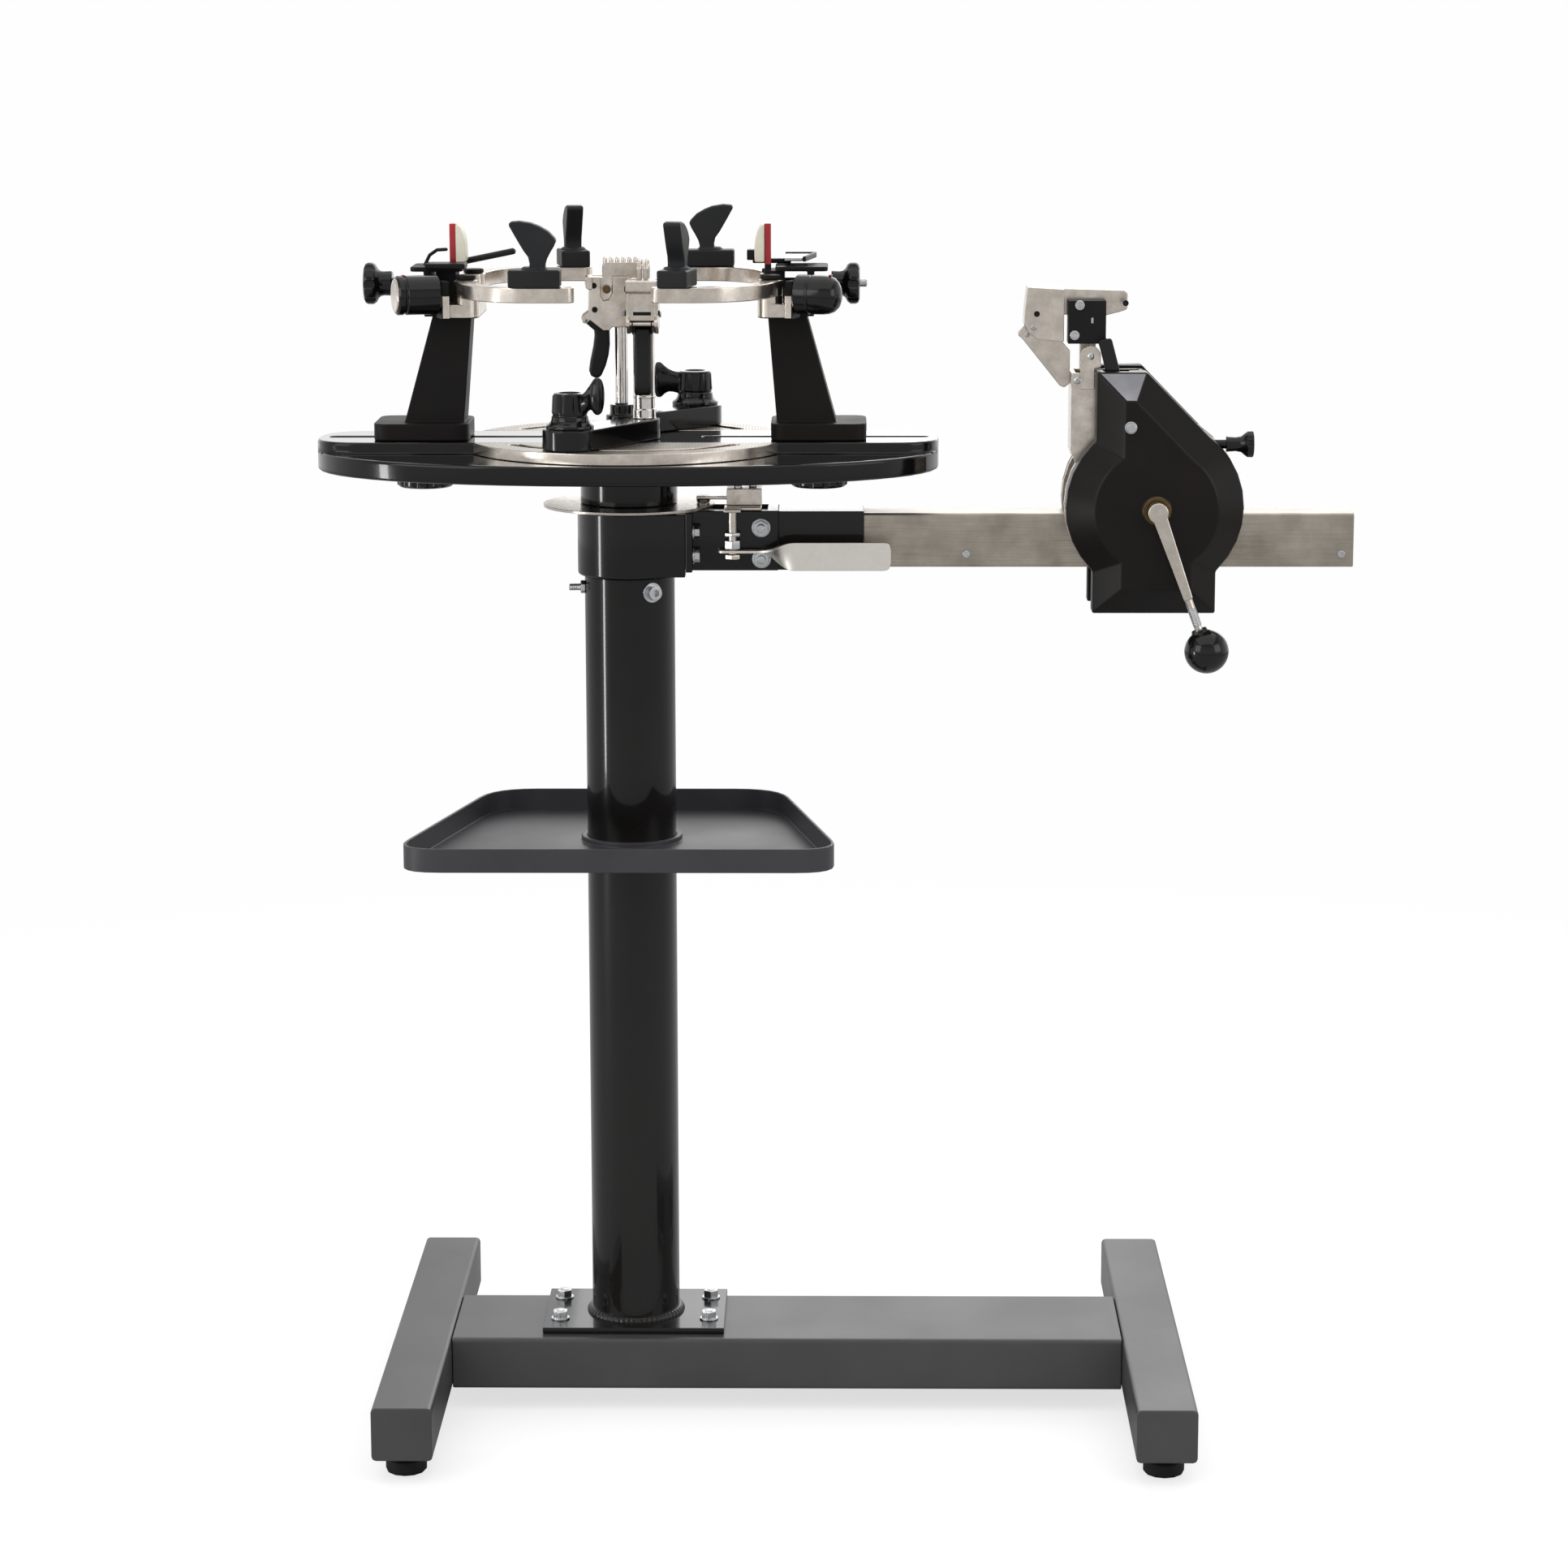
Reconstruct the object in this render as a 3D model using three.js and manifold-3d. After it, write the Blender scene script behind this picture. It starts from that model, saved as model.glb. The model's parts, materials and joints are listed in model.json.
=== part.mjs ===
import * as THREE from 'three';
import { mergeVertices } from 'three/addons/utils/BufferGeometryUtils.js';
import Module from 'manifold-3d';

const wasm = await Module();
wasm.setup();

// A racket stringing machine on a column stand, in millimetres with +Z up. The driving sizes come
// first. The column's axis is X = 0, Y = 0 and the floor is Z = 0; the outer group moves the whole to
// the middle of its own box.

// Gaps
const FIT = 0.3;
const RUN = 0.5;
const CUT = 2;
const WELD = 0.6;

// Facets round a circle
const FINE = 32;
const MEDIUM = 20;
const SMALL = 12;

// Stand
const STAND = {
  leftX: -190.8,
  rightX: 469.9,
  footWidth: 53,
  tubeHeight: 48,
  footFrontY: -258.8,
  footRearY: 236.6,
  footWall: 3,
  tubeCorner: 4,
  crossFrontY: -71,
  crossRearY: 59,
  crossWall: 3,
};
const RUBBER = {
  height: 21,
  padRadius: 18,
  padHeight: 13,
  neckRadius: 11,
  studRadius: 4,
  studLength: 18,
  fromTubeEnd: 36,
  rim: 2,
};
const COLUMN = {
  radius: 40,
  wall: 3,
  topZ: 758.7,
  plateLength: 165,
  plateDepth: 116,
  plateThickness: 6,
  plateCorner: 6,
  weldSize: 5,
};
const BOLT = {
  radius: 4,
  washerRadius: 8.5,
  washerThickness: 1.6,
  nutRadius: 7.5,
  nutHeight: 6.5,
  tipHeight: 6,
  headHeight: 5,
  offsetX: 68,
  offsetY: 31,
};
const TRAY = {
  bottomZ: 515.3,
  height: 21.2,
  wall: 2.5,
  floor: 2,
  frontLeftX: -203,
  frontRightX: 189.5,
  rearLeftX: -136,
  rearRightX: 132,
  halfDepth: 138,
  corner: 42,
  collarRadius: 45.5,
  collarDrop: 20,
  collarRise: 7,
};
TRAY.rimZ = TRAY.bottomZ + TRAY.height;

// Mast head, spindle and brake disc
const MAST = {
  radius: 46,
  height: 57,
  spigotDrop: 26,
  padX: 51,
  padHalfDepth: 40,
  lip: 1.5,
};
MAST.bottomZ = COLUMN.topZ + FIT;
MAST.topZ = MAST.bottomZ + MAST.height;
const SPINDLE = {
  radius: 15,
  hubRadius: 43,
  drop: 72,
};
const WASHER = { radius: 42, thickness: 3.4 };
const DISC = { radius: 76, thickness: 2.4 };

// Turntable
const TABLE = {
  rise: 38,
  discThickness: 17,
  barThickness: 27,
  halfLength: 274.5,
  discHalfDepth: 150,
  discPower: 2.2,
  barHalfDepth: 50,
  edge: 5,
  slotWidth: 12,
  slotInnerX: 66,
  slotToEnd: 9.5,
};
TABLE.slotOuterX = TABLE.halfLength - TABLE.slotToEnd;
TABLE.bottomZ = MAST.topZ + TABLE.rise;
TABLE.discTopZ = TABLE.bottomZ + TABLE.discThickness;
TABLE.barTopZ = TABLE.bottomZ + TABLE.barThickness;
const TRACK = {
  radius: 142.5,
  rim: 27.5,
  slotWidth: 11,
  slotToBar: 14.3,
};
TRACK.slotRadius = TRACK.radius - TRACK.rim;
TRACK.slotHalfAngle = Math.acos((TABLE.barHalfDepth + TRACK.slotToBar) / TRACK.slotRadius);

// Towers, in a frame whose +X points inward along the bar and whose origin is the tower's stud
const TOWER = {
  leftX: -180.5,
  rightX: 168.6,
  blockLength: 84,
  blockDepth: 78,
  blockHeight: 15,
  blockCorner: 14,
  postHeight: 93,
  postBottomOuter: -15.5,
  postBottomInner: 36.8,
  postTopOuter: 10.6,
  postTopInner: 44.6,
  postBottomDepth: 44,
  postTopDepth: 36,
  studRadius: 5.4,
  nutRadius: 21,
  nutTopGap: 0.4,
  nutHeight: 8,
};
TOWER.blockTopZ = TABLE.barTopZ + TOWER.blockHeight;
TOWER.postTopZ = TOWER.blockTopZ + TOWER.postHeight;
const HEAD = {
  bridgeThickness: 12,
  bridgeOuter: 4,
  webThickness: 6,
  capRise: 27,
  capThickness: 4,
  capOuter: -8,
  capInner: 38,
  halfDepth: 27,
  lugRadius: 11,
  pivotX: 42,
  pivotY: 40,
  pinRadius: 5,
  pinCapRadius: 9,
  pinCapHeight: 4,
  bearingThickness: 7,
  bearingWidth: 22,
  bearingHeight: 21,
};
HEAD.bridgeTopZ = TOWER.postTopZ + HEAD.bridgeThickness;
HEAD.capBottomZ = HEAD.bridgeTopZ + HEAD.capRise;
HEAD.capTopZ = HEAD.capBottomZ + HEAD.capThickness;
HEAD.bearingTopZ = HEAD.bridgeTopZ + HEAD.bearingHeight;
const ARM_KNOB = {
  x: 1,
  y: 56,
  rise: 9,
  radius: 17,
  length: 38,
  rim: 3,
  splayAngle: 18,
  stubRadius: 4,
  stubLength: 6.5,
};
ARM_KNOB.z = HEAD.bridgeTopZ + ARM_KNOB.rise;
const ARM = {
  rise: 8,
  height: 13,
  width: 15,
  outerY: 131,
  tipX: 142,
  straightX: 104,
  rootPull: 52,
  bendPull: 34,
};
ARM.bottomZ = HEAD.bridgeTopZ + ARM.rise;
const PAD = {
  blockLength: 44,
  blockDepth: 26,
  blockHeight: 15,
  blockCorner: 4,
  finWidth: 41,
  finHeight: 43.7,
  finThickness: 17,
  pinRadius: 3.5,
};
PAD.finTopZ = ARM.bottomZ + ARM.height + FIT + PAD.blockHeight + PAD.finHeight;
// Where each shoulder pad sits along its arm, and how it is turned
const PAD_SEATS = {
  left_front: { x: 108.7, turn: 0 },
  left_rear: { x: 125, turn: 100 },
  right_front: { x: 119.6, turn: 80 },
  right_rear: { x: 99.5, turn: 180 },
};
const CARRIAGE = {
  leftOut: 0,
  rightOut: 16.5,
  stemOuter: 25.4,
  stemThickness: 5.6,
  stemWidth: 15,
  stemHeight: 67.6,
  blockLength: 12,
  blockFront: 11,
  blockRear: 24,
  boreDepth: 9,
  screwRise: 14,
  screwY: 16,
  padThickness: 8.5,
  padWidth: 26,
  padRise: 34,
  padHeight: 33,
};
CARRIAGE.stemTopZ = HEAD.bridgeTopZ + CARRIAGE.stemHeight;
CARRIAGE.screwZ = HEAD.bridgeTopZ + CARRIAGE.screwRise;
CARRIAGE.padBottomZ = HEAD.bridgeTopZ + CARRIAGE.padRise;
CARRIAGE.padTopZ = CARRIAGE.padBottomZ + CARRIAGE.padHeight;
const PAD_KNOB = {
  faceX: -52.5,
  radius: 18.3,
  rimThickness: 10,
  hubRadius: 11,
  hubLength: 15,
  shaftRadius: 5,
};

// String clamps: the lock stud rides in the track slot and the post stands near the middle
const CLAMP = {
  frontLockAngle: -113,
  rearLockAngle: 61,
  frontArmAngle: 55.5,
  rearArmAngle: -126,
  frontTurn: 0,
  rearTurn: -85,
  armLength: 106,
  armThickness: 18,
  lockEndRadius: 24,
  postEndRadius: 14,
  collarRadius: 10.5,
  collarHeight: 9,
  postRadius: 5.6,
  postRise: 119,
  studRadius: 5,
};
CLAMP.postTopZ = TABLE.barTopZ + CLAMP.postRise;
const LOCK = {
  flangeRadius: 21,
  flangeHeight: 5,
  radius: 15.5,
  height: 27,
  wingLength: 26,
  wingThickness: 9,
  wingRoot: 9,
  wingTip: 27,
  frontTurn: -8,
  rearTurn: 178,
};
const CLAMP_HEAD = {
  drop: 21,
  rise: 23,
  width: 28,
  front: 26,
  rear: 8,
  jawHeight: 15,
  jawThickness: 4.5,
  jawGap: 1.2,
  jawFront: 16,
  jawRear: 16,
  teeth: 5,
  toothHeight: 3,
  corner: 3,
};
CLAMP_HEAD.bottomZ = CLAMP.postTopZ - CLAMP_HEAD.drop;
CLAMP_HEAD.topZ = CLAMP.postTopZ + CLAMP_HEAD.rise;
CLAMP_HEAD.jawTopZ = CLAMP_HEAD.topZ + CLAMP_HEAD.jawHeight;
const HANDLE = {
  width: 16,
  thickness: 8,
  eyeRise: 5,
  length: 62,
  topY: -31,
  bottomY: -16.5,
  pinRadius: 2.5,
  eyeRadius: 5,
};
HANDLE.topZ = CLAMP_HEAD.bottomZ + HANDLE.eyeRise;
HANDLE.bottomZ = HANDLE.topZ - HANDLE.length;

// Rail bracket, rail and turntable brake
const RAIL = {
  endX: 640.8,
  drop: 49,
  height: 48,
  halfDepth: 20,
  wall: 3,
  corner: 3,
};
RAIL.bottomZ = MAST.topZ - RAIL.drop;
RAIL.topZ = RAIL.bottomZ + RAIL.height;
const BRACKET = {
  plateThickness: 6,
  endX: 133,
  sleeveEndX: 208.6,
  sleeveWall: 1.8,
  cheekWall: 5.7,
  overRail: 3,
  windowInset: 10,
};
BRACKET.topZ = RAIL.topZ + BRACKET.overRail;
const CALIPER = {
  startX: 87,
  endX: 118,
  halfDepth: 12,
  height: 18,
  armTipX: 60,
  armThickness: 3,
  armHalfDepth: 7,
  padRadius: 6,
  studX: 92.7,
  studY: -34.5,
  studRadius: 4,
  studDrop: 42,
  nutRadius: 7.5,
};
CALIPER.topZ = BRACKET.topZ + CALIPER.height;
CALIPER.studBottomZ = BRACKET.topZ - CALIPER.studDrop;
const LEVER = {
  studGrip: 5,
  thickness: 4,
  eyeRadius: 8,
  stripWidth: 11,
  bendX: 118,
  stripY: -45,
  paddleStartX: 142,
  paddleEndX: 232,
  paddleY: -50,
  paddleDrop: 13,
  paddleHeight: 25,
  paddleThickness: 3,
  paddleCorner: 8,
};
LEVER.bottomZ = CALIPER.studBottomZ + LEVER.studGrip;
LEVER.paddleBottomZ = LEVER.bottomZ - LEVER.paddleDrop;
LEVER.paddleTopZ = LEVER.paddleBottomZ + LEVER.paddleHeight;

// Tension head
const CRANK = {
  x: 463,
  shaftRadius: 6,
  pinionRadius: 8,
  pinionLength: 16,
  bushRadius: 12.2,
  bushHeight: 3,
  hubRadius: 9,
  armY: -85,
  armThickness: 8,
  armWidth: 13,
  armTipWidth: 8,
  armReach: 80,
  rodRadius: 3.5,
  ballReach: 129,
  ballRadius: 19.3,
  tiltAngle: 19.9,
};
const COVER = {
  roundRadius: 78,
  leftReach: 52,
  topReach: 8.4,
  rise: 127,
  shoulderReach: 59,
  shoulderDrop: 69,
  blockHalfLength: 54,
  drop: 85,
  wall: 3,
  frontY: -70,
  frontSideY: -48,
  frontInset: 24,
  rearY: 52,
  rearSideY: 40,
  rearInset: 12,
};
COVER.leftX = CRANK.x - COVER.leftReach;
COVER.topRightX = CRANK.x - COVER.topReach;
COVER.shoulderX = CRANK.x + COVER.shoulderReach;
COVER.blockLeftX = CRANK.x - COVER.blockHalfLength;
COVER.blockRightX = CRANK.x + COVER.blockHalfLength;
COVER.topZ = RAIL.topZ + COVER.rise;
COVER.shoulderZ = COVER.topZ - COVER.shoulderDrop;
COVER.bottomZ = RAIL.topZ - COVER.drop;
const FRAME = {
  plateThickness: 3.6,
  discLedge: 0.5,
  guideHalfLength: 49,
  guideHeight: 13,
  pinionGap: 12,
  uprightReach: 73,
  webThickness: 4,
  webDrop: 73,
};
FRAME.discRadius = COVER.roundRadius + FRAME.discLedge;
FRAME.guideStartX = CRANK.x - FRAME.guideHalfLength;
FRAME.guideEndX = CRANK.x + FRAME.guideHalfLength;
FRAME.uprightLeftX = CRANK.x - FRAME.uprightReach;
FRAME.webBottomZ = COVER.topZ - FRAME.webDrop;
const TENSION_KNOB = {
  drop: 64,
  y: -36,
  shaftRadius: 4,
  neckRadius: 6.5,
  flareRadius: 11.5,
  flareLength: 7,
  startReach: 62,
  length: 24,
  shaftReach: 18,
};
TENSION_KNOB.startX = CRANK.x + TENSION_KNOB.startReach;
TENSION_KNOB.endX = TENSION_KNOB.startX + TENSION_KNOB.length;
TENSION_KNOB.z = COVER.topZ - TENSION_KNOB.drop;
const GRIPPER = {
  leftReach: 114,
  bodyLength: 37.5,
  bodyRise: 18,
  bodyHeight: 51,
  halfDepth: 18,
  mouthRise: 25,
  barReach: 23,
  barRise: 27,
  barHeight: 19,
  barTipRise: 3,
  jawReach: 43,
  jawRise: 4,
  jawHeight: 38,
  jawFront: 20,
  jawGap: 2,
  linkWidth: 24,
  linkInset: 3,
  linkRise: 2,
  linkLean: 32,
  linkHeight: 38,
  linkDepth: 16,
  postReach: 65,
  postWidth: 15,
  postDrop: 18,
};
GRIPPER.bodyLeftX = CRANK.x - GRIPPER.leftReach;
GRIPPER.bodyRightX = GRIPPER.bodyLeftX + GRIPPER.bodyLength;
GRIPPER.barEndX = CRANK.x - GRIPPER.barReach;
GRIPPER.jawRightX = CRANK.x - GRIPPER.jawReach;
GRIPPER.linkTopX = GRIPPER.bodyLeftX + GRIPPER.linkInset;
GRIPPER.linkBottomX = GRIPPER.linkTopX + GRIPPER.linkLean;
GRIPPER.postLeftX = CRANK.x - GRIPPER.postReach;
GRIPPER.postRightX = GRIPPER.postLeftX + GRIPPER.postWidth;
GRIPPER.bodyBottomZ = COVER.topZ + GRIPPER.bodyRise;
GRIPPER.bodyTopZ = GRIPPER.bodyBottomZ + GRIPPER.bodyHeight;
GRIPPER.mouthZ = GRIPPER.bodyBottomZ + GRIPPER.mouthRise;
GRIPPER.barBottomZ = GRIPPER.bodyBottomZ + GRIPPER.barRise;
GRIPPER.barTopZ = GRIPPER.barBottomZ + GRIPPER.barHeight;
GRIPPER.barTipBottomZ = GRIPPER.barBottomZ + GRIPPER.barTipRise;
GRIPPER.jawBottomZ = GRIPPER.bodyBottomZ + GRIPPER.jawRise;
GRIPPER.jawTopZ = GRIPPER.jawBottomZ + GRIPPER.jawHeight;
GRIPPER.linkTopZ = GRIPPER.bodyBottomZ + GRIPPER.linkRise;
GRIPPER.linkBottomZ = GRIPPER.linkTopZ - GRIPPER.linkHeight;
GRIPPER.postBottomZ = COVER.topZ - GRIPPER.postDrop;
const RELEASE = {
  pivotReach: 33,
  pivotDrop: 17,
  length: 46,
  leanAngle: 15,
  swingAngle: 15,
  startY: -27,
  endY: -35,
  thickness: 12,
  pinRadius: 2.5,
};
RELEASE.pivotX = CRANK.x - RELEASE.pivotReach;
RELEASE.pivotZ = COVER.topZ - RELEASE.pivotDrop;

// Finishes
const FINISH = {
  blackGloss: { color: '#1b1a19', roughness: 0.25, metalness: 0.1 },
  blackSatin: { color: '#1f1c1b', roughness: 0.5, metalness: 0.1 },
  charcoal: { color: '#4a494a', roughness: 0.55, metalness: 0.2 },
  tray: { color: '#3c3a3a', roughness: 0.6, metalness: 0.2 },
  towerBlack: { color: '#1a1718', roughness: 0.6, metalness: 0.1 },
  nickel: { color: '#c9c0b8', roughness: 0.3, metalness: 0.9 },
  steel: { color: '#a9a196', roughness: 0.4, metalness: 0.85 },
  zinc: { color: '#c7c9cc', roughness: 0.35, metalness: 0.8 },
  blackPlastic: { color: '#161616', roughness: 0.3, metalness: 0 },
  gloss: { color: '#0d0d0e', roughness: 0.12, metalness: 0 },
  greyRubber: { color: '#3d3f42', roughness: 0.75, metalness: 0 },
  rubber: { color: '#1c1c1c', roughness: 0.85, metalness: 0 },
  red: { color: '#a81622', roughness: 0.45, metalness: 0 },
  cream: { color: '#d9d6c4', roughness: 0.5, metalness: 0 },
  ivory: { color: '#ece8e2', roughness: 0.3, metalness: 0.3 },
};

// Solids

function solid(geometry) {
  const bare = geometry.clone();
  bare.deleteAttribute('normal');
  bare.deleteAttribute('uv');
  const merged = mergeVertices(bare, 1e-5);
  const vertProperties = new Float32Array(merged.attributes.position.array);
  const triVerts = new Uint32Array(wholeFaces(merged.index.array));
  return new wasm.Manifold(new wasm.Mesh({ numProp: 3, vertProperties, triVerts }));
}

// The faces whose three corners differ: a turned solid has flat ones at its poles
function wholeFaces(index) {
  const faces = [];
  for (let i = 0; i < index.length; i += 3) {
    const [a, b, c] = index.slice(i, i + 3);
    if (a !== b && b !== c && c !== a) faces.push(a, b, c);
  }
  return faces;
}

function geometryOf(manifold) {
  const mesh = manifold.getMesh();
  const geometry = new THREE.BufferGeometry();
  geometry.setAttribute('position', new THREE.BufferAttribute(new Float32Array(mesh.vertProperties), 3));
  geometry.setIndex(new THREE.BufferAttribute(new Uint32Array(mesh.triVerts), 1));
  geometry.computeVertexNormals();
  return geometry;
}

function join(...parts) {
  return geometryOf(parts.map(solid).reduce((whole, next) => whole.add(next)));
}

function cut(body, ...tools) {
  return geometryOf(tools.map(solid).reduce((rest, tool) => rest.subtract(tool), solid(body)));
}

function slab([x0, x1], [y0, y1], [z0, z1]) {
  const geometry = new THREE.BoxGeometry(x1 - x0, y1 - y0, z1 - z0);
  return geometry.translate((x0 + x1) / 2, (y0 + y1) / 2, (z0 + z1) / 2);
}

function rod(radius, from, to, facets = SMALL, endRadius = radius) {
  const start = new THREE.Vector3(...from);
  const axis = new THREE.Vector3(...to).sub(start);
  const geometry = new THREE.CylinderGeometry(endRadius, radius, axis.length(), facets);
  geometry.translate(0, axis.length() / 2, 0);
  const turn = new THREE.Quaternion().setFromUnitVectors(new THREE.Vector3(0, 1, 0), axis.normalize());
  return geometry.applyQuaternion(turn).translate(start.x, start.y, start.z);
}

// A turned solid about the vertical through (x, y); its profile is [radius, z] from axis to axis
function turned(profile, facets = MEDIUM, [x, y] = [0, 0]) {
  const points = profile.map(([radius, z]) => new THREE.Vector2(radius, z));
  const lathe = new THREE.LatheGeometry(points, facets).rotateX(Math.PI / 2).translate(x, y, 0);
  return signedVolume(lathe) < 0 ? flipped(lathe) : lathe;
}

// An outline in plan, raised from z0 to z1
function plate(shape, [z0, z1], curveSegments = 6) {
  const settings = { depth: z1 - z0, bevelEnabled: false, curveSegments };
  return new THREE.ExtrudeGeometry(shape, settings).translate(0, 0, z0);
}

// An outline in elevation, drawn as X and Z, run from y0 to y1
function panel(shape, [y0, y1], curveSegments = 6) {
  const settings = { depth: y1 - y0, bevelEnabled: false, curveSegments };
  return new THREE.ExtrudeGeometry(shape, settings).rotateX(Math.PI / 2).translate(0, y1, 0);
}

// An outline in side elevation, drawn as Y and Z, run from x0 to x1
function section(shape, [x0, x1], curveSegments = 4) {
  const settings = { depth: x1 - x0, bevelEnabled: false, curveSegments };
  const geometry = new THREE.ExtrudeGeometry(shape, settings);
  return geometry.rotateX(Math.PI / 2).rotateZ(Math.PI / 2).translate(x0, 0, 0);
}

// A closed outline through points whose corners are rounded
function rounded(points, radius) {
  const corners = points.map(([x, y]) => new THREE.Vector2(x, y));
  const shape = new THREE.Shape();
  corners.forEach((corner, i) => {
    const before = corners[(i + corners.length - 1) % corners.length];
    const after = corners[(i + 1) % corners.length];
    const enter = corner.clone().add(before.clone().sub(corner).setLength(radius));
    const leave = corner.clone().add(after.clone().sub(corner).setLength(radius));
    if (i === 0) shape.moveTo(enter.x, enter.y);
    else shape.lineTo(enter.x, enter.y);
    shape.quadraticCurveTo(corner.x, corner.y, leave.x, leave.y);
  });
  shape.closePath();
  return shape;
}

function rectangle([x0, x1], [y0, y1], radius) {
  return rounded([[x0, y0], [x1, y0], [x1, y1], [x0, y1]], radius);
}

function outline(points) {
  return new THREE.Shape(points.map(([x, y]) => new THREE.Vector2(x, y)));
}

// A solid between rings of points, with a flat cap on the first and the last
function lofted(rings) {
  const count = rings[0].length;
  const faces = [];
  rings.slice(1).forEach((ring, level) => {
    for (let i = 0; i < count; i += 1) {
      const a = level * count + i;
      const b = level * count + (i + 1) % count;
      faces.push(a, b, b + count, a, b + count, a + count);
    }
  });
  const last = (rings.length - 1) * count;
  for (let i = 1; i < count - 1; i += 1) {
    faces.push(0, i + 1, i, last, last + i, last + i + 1);
  }
  const geometry = new THREE.BufferGeometry();
  geometry.setAttribute('position', new THREE.Float32BufferAttribute(rings.flat(2), 3));
  geometry.setIndex(faces);
  return signedVolume(geometry) < 0 ? flipped(geometry) : geometry;
}

function signedVolume(geometry) {
  const index = geometry.index.array;
  const corner = (i) => new THREE.Vector3().fromBufferAttribute(geometry.attributes.position, index[i]);
  let volume = 0;
  for (let i = 0; i < index.length; i += 3) {
    volume += corner(i).dot(corner(i + 1).cross(corner(i + 2)));
  }
  return volume;
}

function flipped(geometry) {
  const turnedFaces = [...geometry.index.array];
  for (let i = 0; i < turnedFaces.length; i += 3) {
    [turnedFaces[i], turnedFaces[i + 1]] = [turnedFaces[i + 1], turnedFaces[i]];
  }
  geometry.setIndex(turnedFaces);
  geometry.computeVertexNormals();
  return geometry;
}

function mirrored(geometry) {
  const whole = geometryOf(solid(geometry));
  whole.scale(-1, 1, 1);
  return flipped(whole);
}

// The points of a convex outline, each edge moved inward
function inset(points, distance) {
  const edges = points.map(([x, y], i) => {
    const [nextX, nextY] = points[(i + 1) % points.length];
    const along = new THREE.Vector2(nextX - x, nextY - y).normalize();
    const inward = new THREE.Vector2(-along.y, along.x);
    return { start: new THREE.Vector2(x, y).addScaledVector(inward, distance), along };
  });
  return edges.map((edge, i) => {
    const before = edges[(i + edges.length - 1) % edges.length];
    const offset = edge.start.clone().sub(before.start);
    const reach = offset.cross(edge.along) / before.along.cross(edge.along);
    const corner = before.start.clone().addScaledVector(before.along, reach);
    return [corner.x, corner.y];
  });
}

// A band of even width along a list of points, with a round far end
function ribbon(points, width, endSteps = 6) {
  const half = width / 2;
  const left = [];
  const right = [];
  points.forEach((point, i) => {
    const before = points[Math.max(i - 1, 0)];
    const after = points[Math.min(i + 1, points.length - 1)];
    const along = after.clone().sub(before).normalize();
    left.push([point.x - along.y * half, point.y + along.x * half]);
    right.unshift([point.x + along.y * half, point.y - along.x * half]);
  });
  const end = points[points.length - 1];
  const along = end.clone().sub(points[points.length - 2]).normalize();
  const start = Math.atan2(along.x, -along.y);
  const round = [];
  for (let step = 1; step < endSteps; step += 1) {
    const angle = start - (Math.PI * step) / endSteps;
    round.push([end.x + half * Math.cos(angle), end.y + half * Math.sin(angle)]);
  }
  return outline([...left, ...round, ...right]);
}

function polar(radius, degrees) {
  const angle = THREE.MathUtils.degToRad(degrees);
  return [radius * Math.cos(angle), radius * Math.sin(angle)];
}

// A named mesh whose origin is its pivot
function piece(name, geometry, finish, pivot = [0, 0, 0]) {
  const shape = geometryOf(solid(geometry)).translate(-pivot[0], -pivot[1], -pivot[2]);
  const mesh = new THREE.Mesh(shape, new THREE.MeshStandardMaterial(finish));
  mesh.name = name;
  mesh.position.set(...pivot);
  return mesh;
}

// Heights that several pieces share
const TUBE_TOP = RUBBER.height + STAND.tubeHeight;
const PLATE_BOTTOM = TUBE_TOP + FIT;
const PLATE_TOP = PLATE_BOTTOM + COLUMN.plateThickness;
const CROSS_LEFT = STAND.leftX + STAND.footWidth / 2 + FIT;
const CROSS_RIGHT = STAND.rightX - STAND.footWidth / 2 - FIT;
const FOOT_PLACES = {
  front_left_rubber_foot: [STAND.leftX, STAND.footFrontY + RUBBER.fromTubeEnd],
  rear_left_rubber_foot: [STAND.leftX, STAND.footRearY - RUBBER.fromTubeEnd],
  front_right_rubber_foot: [STAND.rightX, STAND.footFrontY + RUBBER.fromTubeEnd],
  rear_right_rubber_foot: [STAND.rightX, STAND.footRearY - RUBBER.fromTubeEnd],
};
const BOLT_PLACES = {
  front_left_base_bolt: [-BOLT.offsetX, -BOLT.offsetY],
  rear_left_base_bolt: [-BOLT.offsetX, BOLT.offsetY],
  front_right_base_bolt: [BOLT.offsetX, -BOLT.offsetY],
  rear_right_base_bolt: [BOLT.offsetX, BOLT.offsetY],
};

// Stand

function footTube(name, x) {
  const half = STAND.footWidth / 2;
  const wall = STAND.footWall;
  const acrossX = [x - half, x + half];
  const ring = rectangle(acrossX, [RUBBER.height, TUBE_TOP], STAND.tubeCorner);
  const shell = panel(ring, [STAND.footFrontY, STAND.footRearY], 2);
  const hollow = slab(
    [x - half + wall, x + half - wall],
    [STAND.footFrontY + wall, STAND.footRearY - wall],
    [RUBBER.height + wall, TUBE_TOP - wall],
  );
  const studHoles = Object.values(FOOT_PLACES)
    .filter(([footX]) => footX === x)
    .map((place) => hole(place, RUBBER.studRadius + FIT, [RUBBER.height - CUT, RUBBER.height + wall + CUT]));
  return piece(name, cut(shell, hollow, ...studHoles), FINISH.charcoal, [x, 0, RUBBER.height]);
}

// A vertical round cut
function hole([x, y], radius, [z0, z1], facets = SMALL) {
  return rod(radius, [x, y, z0], [x, y, z1], facets);
}

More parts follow.
